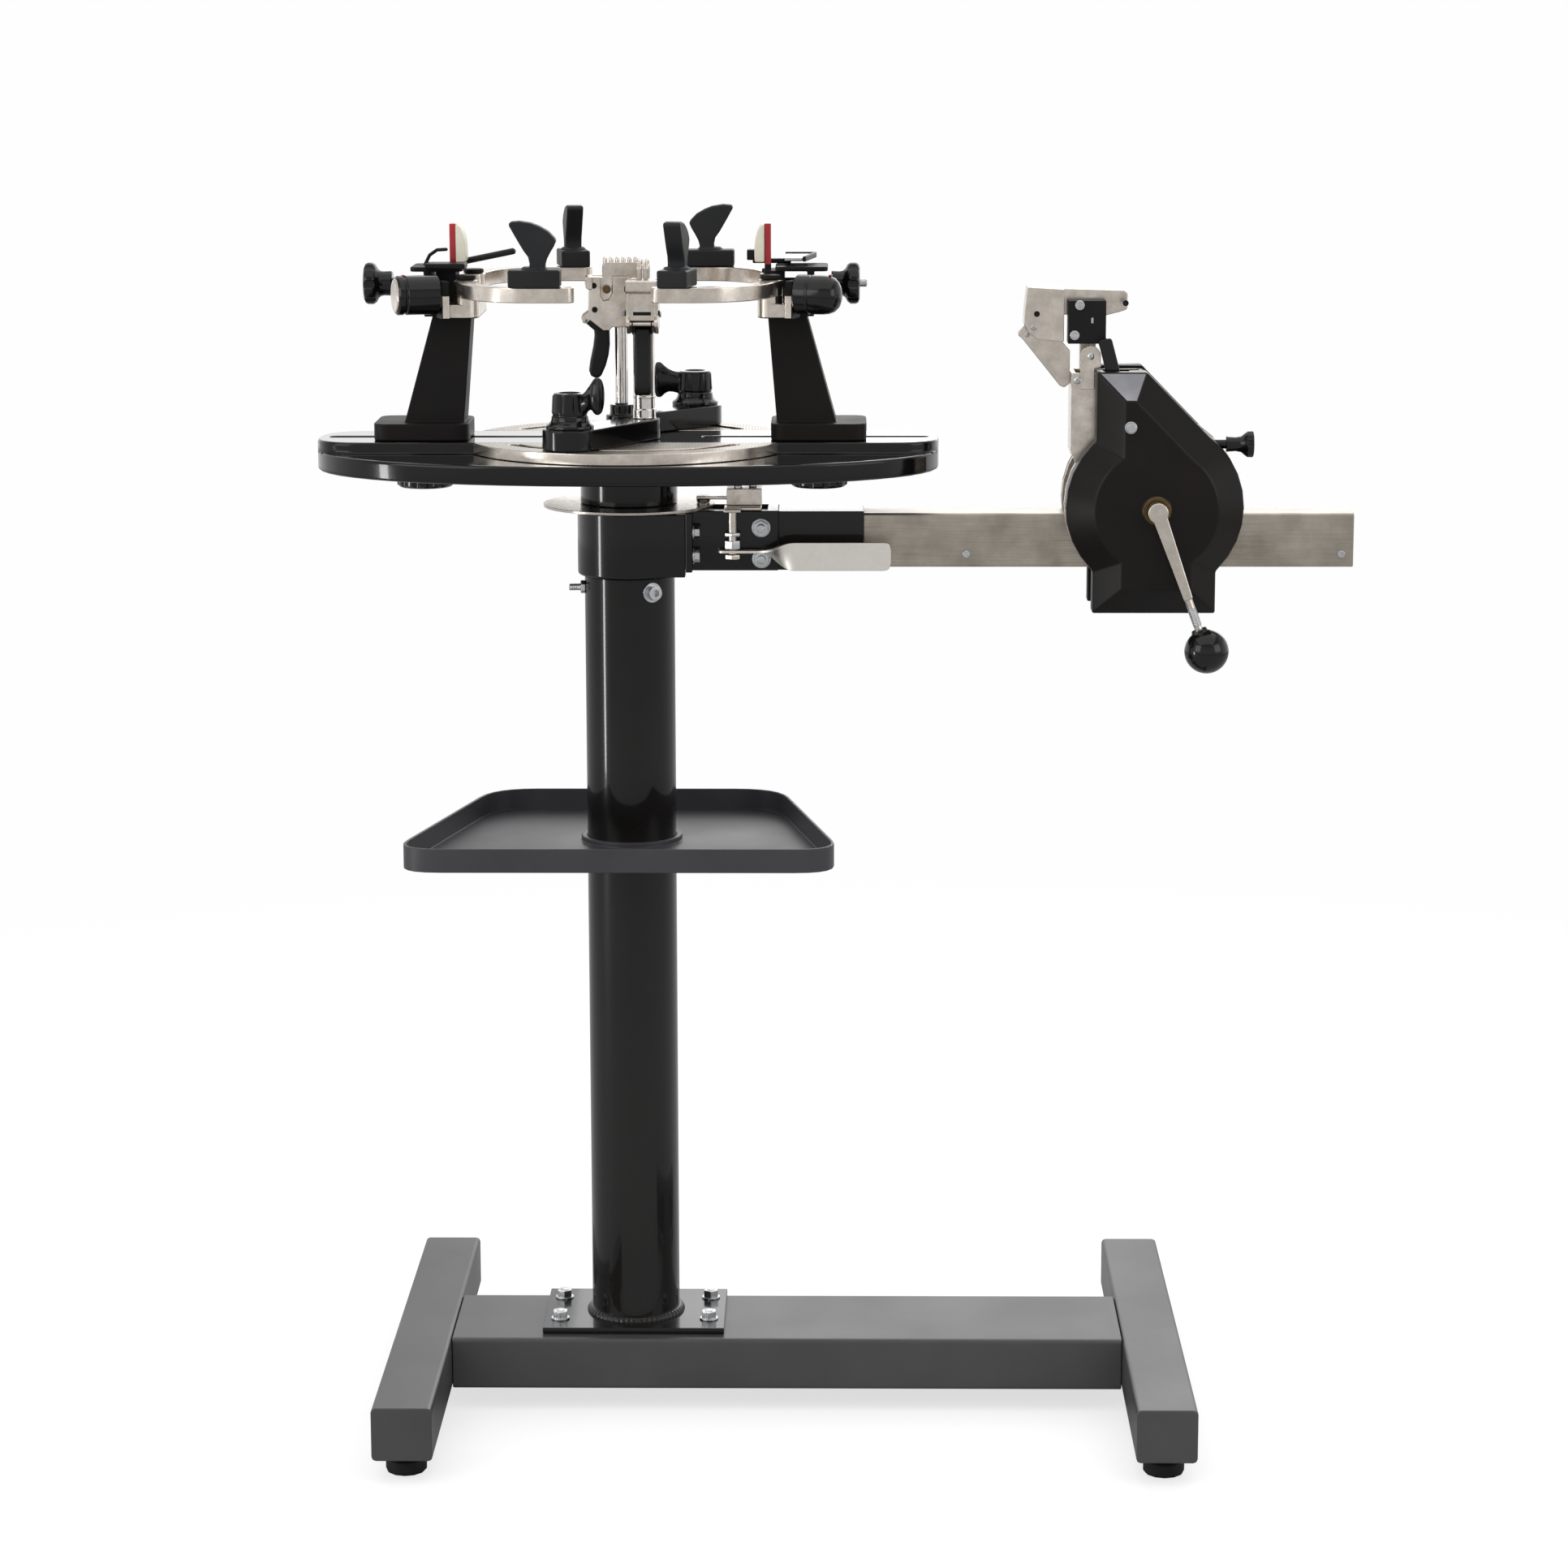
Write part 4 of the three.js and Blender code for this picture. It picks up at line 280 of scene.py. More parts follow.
def barrel(
    name: str, radius: float, length: float, start: Vector, direction: Sequence[float], sides: int = 48,
) -> bpy.types.Object:
    """Adds a round bar that starts at a point.

    Args:
        name: The piece's name.
        radius: Its radius in millimetres.
        length: Its length in millimetres.
        start: The middle of its first end.
        direction: The way it points.
        sides: How many faces go round it.

    Returns:
        The bar.
    """
    clear()
    way = Vector(direction).normalized()
    bpy.ops.mesh.primitive_cone_add(
        vertices=sides, radius1=radius * MM, radius2=radius * MM,
        depth=length * MM, location=start + way * length * MM / 2, rotation=turn_to(way),
    )
    return settle(name)


def plate(
    name: str, outline: Sequence[Flat], thickness: float, origin: Vector, across: Sequence[float],
    upward: Sequence[float],
) -> bpy.types.Object:
    """Cuts a flat plate to an outline and gives it its thickness.

    Args:
        name: The piece's name.
        outline: Its corners in millimetres, along across and upward.
        thickness: How far it is drawn out along across x upward, in millimetres.
        origin: Where the outline's own zero lies.
        across: The outline's first direction.
        upward: The outline's second direction.

    Returns:
        The plate.
    """
    clear()
    bpy.ops.mesh.primitive_circle_add(vertices=len(outline), radius=MM, fill_type="NGON", location=(0, 0, 0))
    piece = bpy.context.object
    first, second = Vector(across).normalized(), Vector(upward).normalized()
    for vertex, (u, v) in zip(piece.data.vertices, outline):
        vertex.co = origin + (first * u + second * v) * MM
    with bench(piece):
        pick_all()
        bpy.ops.mesh.extrude_region_move(TRANSFORM_OT_translate={"value": first.cross(second) * thickness * MM})
        pick_all()
        bpy.ops.mesh.normals_make_consistent(inside=False)
    return settle(name)


def turned(
    name: str, profile: Sequence[Flat], foot: Vector, direction: Sequence[float], steps: int = 48,
) -> bpy.types.Object:
    """Turns a piece on a lathe from a profile that starts and ends on its axis.

    Args:
        name: The piece's name.
        profile: Radius and height pairs in millimetres, from the axis and back to it.
        foot: Where the height is zero, on the axis.
        direction: The way the height grows.
        steps: How many faces go round it.

    Returns:
        The turned piece.
    """
    clear()
    bpy.ops.mesh.primitive_circle_add(vertices=len(profile), radius=MM, location=(0, 0, 0))
    piece = bpy.context.object
    for vertex, (radius, height) in zip(piece.data.vertices, profile):
        vertex.co = Vector((radius, 0.0, height)) * MM
    with bench(piece, "EDGE"):
        bpy.ops.object.mode_set(mode="OBJECT")
        last = len(profile) - 1
        for edge in piece.data.edges:
            edge.select = set(edge.vertices) == {0, last}
        bpy.ops.object.mode_set(mode="EDIT")
        bpy.ops.mesh.delete(type="EDGE_FACE")
        pick_all()
        bpy.ops.mesh.spin(steps=steps, angle=math.tau, center=(0, 0, 0), axis=UP)
        pick_all()
        bpy.ops.mesh.remove_doubles(threshold=0.01 * MM)
        bpy.ops.mesh.dissolve_degenerate(threshold=0.005 * MM)
        pick_all()
        bpy.ops.mesh.normals_make_consistent(inside=False)
    piece.location = foot
    piece.rotation_euler = turn_to(direction)
    hold(piece)
    return settle(name)


def finish_with(piece: bpy.types.Object, kind: str, **settings: object) -> bpy.types.Object:
    """Puts one modifier on a piece and applies it.

    Args:
        piece: The object to change.
        kind: The modifier's type.
        **settings: The modifier's settings by name.

    Returns:
        The same object.
    """
    hold(piece)
    modifier = piece.modifiers.new(kind.title(), kind)
    for name, value in settings.items():
        setattr(modifier, name, value)
    bpy.ops.object.modifier_apply(modifier=modifier.name)
    return piece


def smooth(piece: bpy.types.Object, angle: float = 35.0) -> bpy.types.Object:
    """Shades a piece smooth, but for its sharp edges.

    Args:
        piece: The object to shade.
        angle: Edges sharper than this many degrees stay sharp.

    Returns:
        The same object.
    """
    hold(piece)
    bpy.ops.object.shade_smooth_by_angle(angle=math.radians(angle))
    return piece


def soften(
    piece: bpy.types.Object, width: float, rounds: int = 2, angle: float = 32.0, clamp: bool = True,
) -> bpy.types.Object:
    """Rounds a piece's sharp edges and shades it smooth.

    Args:
        piece: The object to round.
        width: The rounding's width in millimetres.
        rounds: How many faces the rounding has.
        angle: Edges sharper than this many degrees are rounded.
        clamp: Whether the rounding gets narrower where it would meet another.

    Returns:
        The same object.
    """
    finish_with(piece, "BEVEL", width=width * MM, segments=rounds, limit_method="ANGLE",
                angle_limit=math.radians(angle), use_clamp_overlap=clamp)
    return smooth(piece)


def carve(piece: bpy.types.Object, *cutters: bpy.types.Object) -> bpy.types.Object:
    """Cuts other pieces out of one and removes them.

    Args:
        piece: The object to cut.
        *cutters: The objects to cut away.

    Returns:
        The same object.
    """
    for cutter in cutters:
        finish_with(piece, "BOOLEAN", operation="DIFFERENCE", solver="EXACT", object=cutter)
        bpy.data.objects.remove(cutter)
    return piece


def joined(name: str, *pieces: bpy.types.Object) -> bpy.types.Object:
    """Makes one piece of several, such as a screw's head and its washer.

    Args:
        name: The new piece's name.
        *pieces: The objects to join.

    Returns:
        The joined object.
    """
    clear()
    for piece in pieces:
        piece.select_set(True)
    bpy.context.view_layer.objects.active = pieces[0]
    bpy.ops.object.join()
    whole = bpy.context.object
    whole.name = name
    whole.data.name = name
    return whole


def remade(node: str, width: float, rounds: int = 2, angle: float = 32.0) -> bpy.types.Object:
    """Copies a CAD node, welds the copy and rounds its edges, and shows it in the node's place.

    Args:
        node: The CAD node's name.
        width: The rounding's width in millimetres.
        rounds: How many faces the rounding has.
        angle: Edges sharper than this many degrees are rounded.

    Returns:
        The rounded copy.
    """
    source = frame["nodes"][node]
    piece = source.copy()
    piece.data = source.data.copy()
    piece.name = piece.data.name = node + "_finished"
    bpy.context.scene.collection.objects.link(piece)
    piece.parent = None
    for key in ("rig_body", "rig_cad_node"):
        if key in piece:
            del piece[key]
    with bench(piece, "VERT"):
        pick_all()
        bpy.ops.mesh.remove_doubles(threshold=0.02 * MM)
        pick_all()
        bpy.ops.mesh.dissolve_limited(angle_limit=math.radians(1.0))
    soften(piece, width, rounds, angle, clamp=False)
    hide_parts(node)
    return piece


def dress(piece: bpy.types.Object, body: str, finish: bpy.types.Material) -> bpy.types.Object:
    """Evens out a piece's shading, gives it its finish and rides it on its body.

    Args:
        piece: The finished object.
        body: The body that it moves with.
        finish: Its material.

    Returns:
        The same object.
    """
    finish_with(piece, "WEIGHTED_NORMAL", keep_sharp=True, weight=50)
    piece.data.materials.clear()
    piece.data.materials.append(finish)
    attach(piece, body)
    log.info("%s rides on %s, %d faces", piece.name, body, len(piece.data.polygons))
    return piece


def two_faced(
    piece: bpy.types.Object, finish: bpy.types.Material, test: Callable[[bpy.types.MeshPolygon], bool],
) -> None:
    """Gives the faces of a dressed piece that pass a test a second finish.

    Args:
        piece: The dressed object.
        finish: The second finish.
        test: Says whether a polygon takes it.
    """
    piece.data.materials.append(finish)
    for polygon in piece.data.polygons:
        if test(polygon):
            polygon.material_index = 1


def cross_cut(piece: bpy.types.Object, height: float) -> bpy.types.Object:
    """Scores a piece all round at a height, so that its finish can change there.

    Args:
        piece: The object to score.
        height: Millimetres above the floor.

    Returns:
        The same object.
    """
    with bench(piece):
        pick_all()
        bpy.ops.mesh.bisect(plane_co=(0, 0, height * MM), plane_no=UP)
    return piece


def fluted(
    piece: bpy.types.Object, count: int, reach: float, foot: Vector, way: Sequence[float], cutter: tuple,
    start: float = 0.5, angle: float = 40.0,
) -> bpy.types.Object:
    """Cuts a ring of round flutes along a turned piece.

    Args:
        piece: The object to flute.
        count: How many flutes it gets.
        reach: How far their axes lie from the piece's own, in millimetres.
        foot: The point on the piece's axis where they start.
        way: The piece's axis, along X or Z.
        cutter: A flute's radius and length in millimetres, and how many sides it has.
        start: The first flute's place, as a share of their spacing.
        angle: The edge angle in degrees up to which the piece is shaded smooth.

    Returns:
        The same object.
    """
    radius, length, sides = cutter
    first, second = (REAR, UP) if abs(way[0]) > 0.5 else (RIGHT, REAR)
    flutes = []
    for step in range(count):
        turn = math.tau * (step + start) / count
        aside = (Vector(first) * math.cos(turn) + Vector(second) * math.sin(turn)) * reach * MM
        flutes.append(barrel("flute", radius, length, foot + aside, way, sides=sides))
    return smooth(carve(piece, joined("flutes", *flutes)), angle)


def repaint(finish: bpy.types.Material, *nodes: str) -> None:
    """Gives CAD nodes whose shape stays their finish.

    Args:
        finish: The material.
        *nodes: The nodes' names.
    """
    for name in nodes:
        data = frame["nodes"][name].data
        data.materials.clear()
        data.materials.append(finish)
        log.info("%s is painted as a solid", name)


def start_finish(
    name: str,
) -> tuple[bpy.types.Material, bpy.types.NodeTree, bpy.types.Node, bpy.types.NodeSocket]:
    """Makes an empty node material.

    Args:
        name: The material's name.

    Returns:
        The material, its tree, its principled shader and the object coordinates.
    """
    material = bpy.data.materials.new(name)
    material.use_nodes = True
    tree = material.node_tree
    tree.nodes.clear()
    shader = add_node(tree, "BsdfPrincipled")
    add_node(tree, "OutputMaterial", Surface=shader.outputs["BSDF"])
    place = add_node(tree, "TexCoord").outputs["Object"]
    return material, tree, shader, place


def per_mm(spacing: float) -> float:
    """Gives the noise scale whose cells are a spacing in millimetres apart."""
    return 1.0 / (spacing * MM)


def relief(
    tree: bpy.types.NodeTree, height: bpy.types.NodeSocket, depth_mm: float, edge_mm: float,
) -> bpy.types.NodeSocket:
    """Gives the normal of a surface that rises by a height over edges worn round.

    Args:
        tree: The material's tree.
        height: The relief, from 0 to 1.
        depth_mm: How deep it is in millimetres.
        edge_mm: The worn edges' radius in millimetres.

    Returns:
        The normal.
    """
    edge = add_node(tree, "Bevel", {"samples": 4}, Radius=edge_mm * MM)
    return add_node(tree, "Bump", Height=height, Strength=1.0, Distance=depth_mm * MM,
                    Normal=edge.outputs[0]).outputs[0]


def spread(
    tree: bpy.types.NodeTree, value: bpy.types.NodeSocket, low: float, high: float,
) -> bpy.types.NodeSocket:
    """Maps a noise's middle range onto two values.

    Args:
        tree: The material's tree.
        value: A factor near one half.
        low: The result where the factor is 0.3.
        high: The result where the factor is 0.7.

    Returns:
        The mapped value.
    """
    mapped = add_node(tree, "MapRange", Value=value, From_Min=0.3, From_Max=0.7, To_Min=low, To_Max=high)
    return mapped.outputs["Result"]


def two_tone(
    tree: bpy.types.NodeTree, factor: bpy.types.NodeSocket, first: str, second: str,
) -> bpy.types.NodeSocket:
    """Blends two sRGB hex colours by a factor."""
    mix = add_node(tree, "Mix", {"data_type": "RGBA"}, Factor=factor, in_6=linear(first), in_7=linear(second))
    return mix.outputs[2]


@dataclass(frozen=True)
class Finish:
    """What every finish has: its name, its colour, the tone that it drifts to and its roughness."""

    name: str
    colour: str
    tone: str
    roughness: float

    def drift(
        self, tree: bpy.types.NodeTree, cloud: bpy.types.NodeSocket, first: float, last: float,
    ) -> dict[str, object]:
        """Lets the tone and the roughness drift with a noise.

        Args:
            tree: The material's tree.
            cloud: The noise's factor.
            first: The roughness where the noise is low, as a share of the finish's own.
            last: The roughness where it is high.

        Returns:
            The shader's inputs.
        """
        return {"Base_Color": two_tone(tree, spread(tree, cloud, 0.0, 1.0), self.tone, self.colour),
                "Roughness": spread(tree, cloud, self.roughness * first, self.roughness * last)}

    def inputs(self, tree: bpy.types.NodeTree, place: bpy.types.NodeSocket) -> dict[str, object]:
        """Gives what the finish feeds into the shader.

        Args:
            tree: The material's tree.
            place: The object coordinates.

        Returns:
            The shader's inputs, as wire() takes them.
        """
        raise NotImplementedError

    def make(self) -> bpy.types.Material:
        """Builds the material.

        Returns:
            The finished node material.
        """
        material, tree, shader, place = start_finish(self.name)
        wire(tree, shader, **self.inputs(tree, place))
        return material


@dataclass(frozen=True)
class PowderCoat(Finish):
    """Baked powder coat on steel: fine orange peel, a slow drift of tone and edges worn round."""

    peel_mm: float = 1.6
    peel_depth_mm: float = 0.012
    shift_mm: float = 90.0
    coat: float = 0.0
    coat_index: float = 1.5
    specular: float = 0.3
    edge_mm: float = 0.8

    def inputs(self, tree: bpy.types.NodeTree, place: bpy.types.NodeSocket) -> dict[str, object]:
        """Gives a drifting tone, the peel's relief and the clear coat.

        Args:
            tree: The material's tree.
            place: The object coordinates.

        Returns:
            The shader's inputs, as wire() takes them.
        """
        peel = add_node(tree, "TexNoise", Vector=place, Scale=per_mm(self.peel_mm), Detail=2.0)
        cloud = add_node(tree, "TexNoise", Vector=place, Scale=per_mm(self.shift_mm), Detail=3.0)
        return {**self.drift(tree, cloud.outputs[0], 0.88, 1.12), "Coat_Weight": self.coat,
                "Normal": relief(tree, peel.outputs[0], self.peel_depth_mm, self.edge_mm),
                "Coat_Roughness": 0.06, "Coat_IOR": self.coat_index, "Specular_IOR_Level": self.specular}


@dataclass(frozen=True)
class BrushedMetal(Finish):
    """Rolled or brushed metal: long fine scratches along one way, and faint stains from handling."""

    along: Axis = Axis.X
    streak_mm: float = 0.8
    streak_length: float = 60.0
    streak_depth_mm: float = 0.01
    stain_mm: float = 45.0
    edge_mm: float = 0.5

    def inputs(self, tree: bpy.types.NodeTree, place: bpy.types.NodeSocket) -> dict[str, object]:
        """Gives the stained colour under the scratches, and the scratches' relief.

        Args:
            tree: The material's tree.
            place: The object coordinates.

        Returns:
            The shader's inputs, as wire() takes them.
        """
        stretch = [1.0 / self.streak_length if part else 1.0 for part in self.along.value]
        grain_place = add_node(tree, "Mapping", Vector=place, Scale=stretch).outputs[0]
        grain = add_node(tree, "TexNoise", Vector=grain_place, Scale=per_mm(self.streak_mm), Detail=4.0).outputs[0]
        stains = add_node(tree, "TexNoise", Vector=place, Scale=per_mm(self.stain_mm), Detail=5.0, Roughness=0.6)
        stained = two_tone(tree, spread(tree, stains.outputs[0], 0.0, 1.0), self.tone, self.colour)
        worn = add_node(tree, "Mix", {"data_type": "RGBA", "blend_type": "MULTIPLY"},
                        Factor=spread(tree, grain, 0.0, 0.5), in_6=stained, in_7=linear("#c4c0ba"))
        return {"Base_Color": worn.outputs[2], "Metallic": 1.0,
                "Roughness": spread(tree, grain, self.roughness * 0.75, self.roughness * 1.3),
                "Normal": relief(tree, grain, self.streak_depth_mm, self.edge_mm)}


@dataclass(frozen=True)
class Plating(Finish):
    """Bright nickel or zinc plate on cast or pressed steel: slight ripples, smudges and softened edges."""

    ripple_mm: float = 9.0
    ripple_depth_mm: float = 0.05
    smudge_mm: float = 14.0
    edge_mm: float = 0.6

    def inputs(self, tree: bpy.types.NodeTree, place: bpy.types.NodeSocket) -> dict[str, object]:
        """Gives the smudged metal and the ripples' relief.

        Args:
            tree: The material's tree.
            place: The object coordinates.

        Returns:
            The shader's inputs, as wire() takes them.
        """
        ripple = add_node(tree, "TexNoise", Vector=place, Scale=per_mm(self.ripple_mm), Detail=2.0)
        smudge = add_node(tree, "TexNoise", Vector=place, Scale=per_mm(self.smudge_mm), Detail=6.0, Roughness=0.65)
        return {**self.drift(tree, smudge.outputs[0], 1.5, 0.8), "Metallic": 1.0,
                "Normal": relief(tree, ripple.outputs[0], self.ripple_depth_mm, self.edge_mm)}


@dataclass(frozen=True)
class Knurling(Finish):
    """Nickel plate rolled with a diamond knurl, whose grooves are darkened as painted shade and whose crests keep
    the plate's own colour.
    """

    pitch_mm: float = 3.4
    depth_mm: float = 0.45

    def inputs(self, tree: bpy.types.NodeTree, place: bpy.types.NodeSocket) -> dict[str, object]:
        """Gives two crossing sets of ridges, in relief and in colour, with painted shade darkening the grooves.

        Args:
            tree: The material's tree.
            place: The object coordinates.

        Returns:
            The shader's inputs, as wire() takes them.
        """
        ridges = []
        for angle in (0.9, -0.9):
            turned_place = add_node(tree, "Mapping", Vector=place, Rotation=(0.0, 0.0, angle))
            wave = add_node(tree, "TexWave", {"wave_profile": "SIN"}, Vector=turned_place.outputs[0],
                            Scale=per_mm(self.pitch_mm) * math.pi / 10.0)
            ridges.append(wave.outputs["Fac"])
        crest = add_node(tree, "Math", {"operation": "MINIMUM"}, in_0=ridges[0], in_1=ridges[1]).outputs[0]
        bump = add_node(tree, "Bump", Height=crest, Strength=1.0, Distance=self.depth_mm * MM)
        # Painted shade: the colour runs from the plate's own tone on the crests to a dark tone in the grooves.
        return {"Base_Color": two_tone(tree, crest, self.tone, self.colour), "Metallic": 1.0,
                "Normal": bump.outputs[0], "Roughness": self.roughness}


@dataclass(frozen=True)
class Moulding(Finish):
    """Injection moulded or cast polymer: a spark-eroded grain, slight flow marks and rounded edges."""

    grain_mm: float = 0.9
    grain_depth_mm: float = 0.02
    flow_mm: float = 40.0
    edge_mm: float = 0.8
    coat: float = 0.0
    specular: float = 0.5
    ior: float = 1.5

    def inputs(self, tree: bpy.types.NodeTree, place: bpy.types.NodeSocket) -> dict[str, object]:
        """Gives the flow marks, the grain's relief and the polymer's own gloss.

        Args:
            tree: The material's tree.
            place: The object coordinates.

        Returns:
            The shader's inputs, as wire() takes them.
        """
        grain = add_node(tree, "TexNoise", Vector=place, Scale=per_mm(self.grain_mm), Detail=3.0)
        flow = add_node(tree, "TexNoise", Vector=place, Scale=per_mm(self.flow_mm), Detail=2.0)
        return {**self.drift(tree, flow.outputs[0], 0.85, 1.15), "Coat_Weight": self.coat,
                "Normal": relief(tree, grain.outputs[0], self.grain_depth_mm, self.edge_mm),
                "Specular_IOR_Level": self.specular, "IOR": self.ior}


class Finishes:
    """The machine's finishes, each made once."""

    def __init__(self) -> None:
        """Makes every material."""
        self.gloss_coat = PowderCoat("gloss_black_powder_coat", "#151312", "#0f0e0d", 0.26, coat=0.5,
                                     specular=0.14).make()
        self.lacquer = PowderCoat("black_lacquered_casting", "#0c0b0c", "#080809", 0.16, peel_mm=9.0,
                                  peel_depth_mm=0.012, coat=0.35, specular=0.2, edge_mm=1.5).make()
        self.polish = PowderCoat("polished_lacquer_top", "#0c0b0c", "#080809", 0.1, peel_mm=9.0,
                                 peel_depth_mm=0.008, coat=1.0, coat_index=1.9, specular=0.5, edge_mm=1.5).make()
        self.satin_coat = PowderCoat("satin_charcoal_powder_coat", "#3c3a3c", "#333133", 0.38,
                                     specular=0.75).make()
        self.tray_coat = PowderCoat("satin_grey_powder_coat", "#38363a", "#302e32", 0.42, specular=0.45).make()
        self.tower_coat = PowderCoat("matte_black_cast_coat", "#100e0e", "#17120e", 0.5, peel_mm=2.2,
                                     peel_depth_mm=0.03, specular=0.18, edge_mm=1.6).make()
        self.hard_black = PowderCoat("satin_black_paint", "#151313", "#100e0e", 0.4, specular=0.22).make()
        self.nickel = Plating("nickel_plated_steel", "#e6ddd3", "#c6bdb2", 0.2).make()
        self.chrome = Plating("chromed_post", "#e8e4e0", "#d2ccc6", 0.12, ripple_mm=30.0).make()
        self.zinc = Plating("bright_zinc_plate", "#dcdedf", "#b0b2b5", 0.24, ripple_mm=4.0).make()
        self.paddle = Plating("polished_steel_paddle", "#f4f0ea", "#e6e0d8", 0.34, ripple_mm=20.0).make()
        self.rail_steel = BrushedMetal("brushed_steel_rail", "#c9c1b6", "#9f978c", 0.34).make()
        self.disc_steel = BrushedMetal("turned_steel_disc", "#d9d2ca", "#b5ada4", 0.25, streak_length=6.0).make()
        self.knurl = Knurling("knurled_nickel_plate", "#e2dbd2", "#8d867c", 0.3).make()
        self.brass = BrushedMetal("oiled_bronze_bush", "#8a7350", "#5b4a30", 0.3, along=Axis.Y, edge_mm=0.4).make()
        self.gloss_plastic = Moulding("glossy_black_phenolic", "#09090a", "#0d0d0f", 0.13, grain_mm=5.0,
                                      grain_depth_mm=0.01, specular=0.4).make()
        self.handle_plastic = Moulding("satin_black_nylon", "#0f0f10", "#151516", 0.38, specular=0.3).make()
        self.cover_plastic = Moulding("satin_black_abs", "#0e0c0b", "#15110f", 0.34, specular=0.2).make()
        # A pale grey painted highlight: it stands for the overhead light's reflection on the black cover's top
        # facet.
        self.facet_highlight = Moulding("painted_highlight_top_facet", "#85858a", "#66666b", 0.24, coat=0.4).make()
        self.foot_rubber = Moulding("black_rubber", "#161616", "#1d1c1c", 0.72, grain_mm=1.4, specular=0.25).make()
        self.fin_rubber = Moulding("grey_moulded_rubber", "#1e1f21", "#18191b", 0.5, grain_mm=1.2, specular=0.3,
                                   edge_mm=1.2).make()
        self.block_rubber = Moulding("black_moulded_rubber", "#131315", "#1a1a1c", 0.5, grain_mm=1.2, specular=0.3,
                                     edge_mm=1.0).make()
        self.red = Moulding("red_enamel", "#b01220", "#960c18", 0.3, grain_mm=3.0, coat=0.4).make()
        self.cream = Moulding("cream_nylon", "#dad7c6", "#cfcab6", 0.45, edge_mm=1.2, ior=1.53).make()


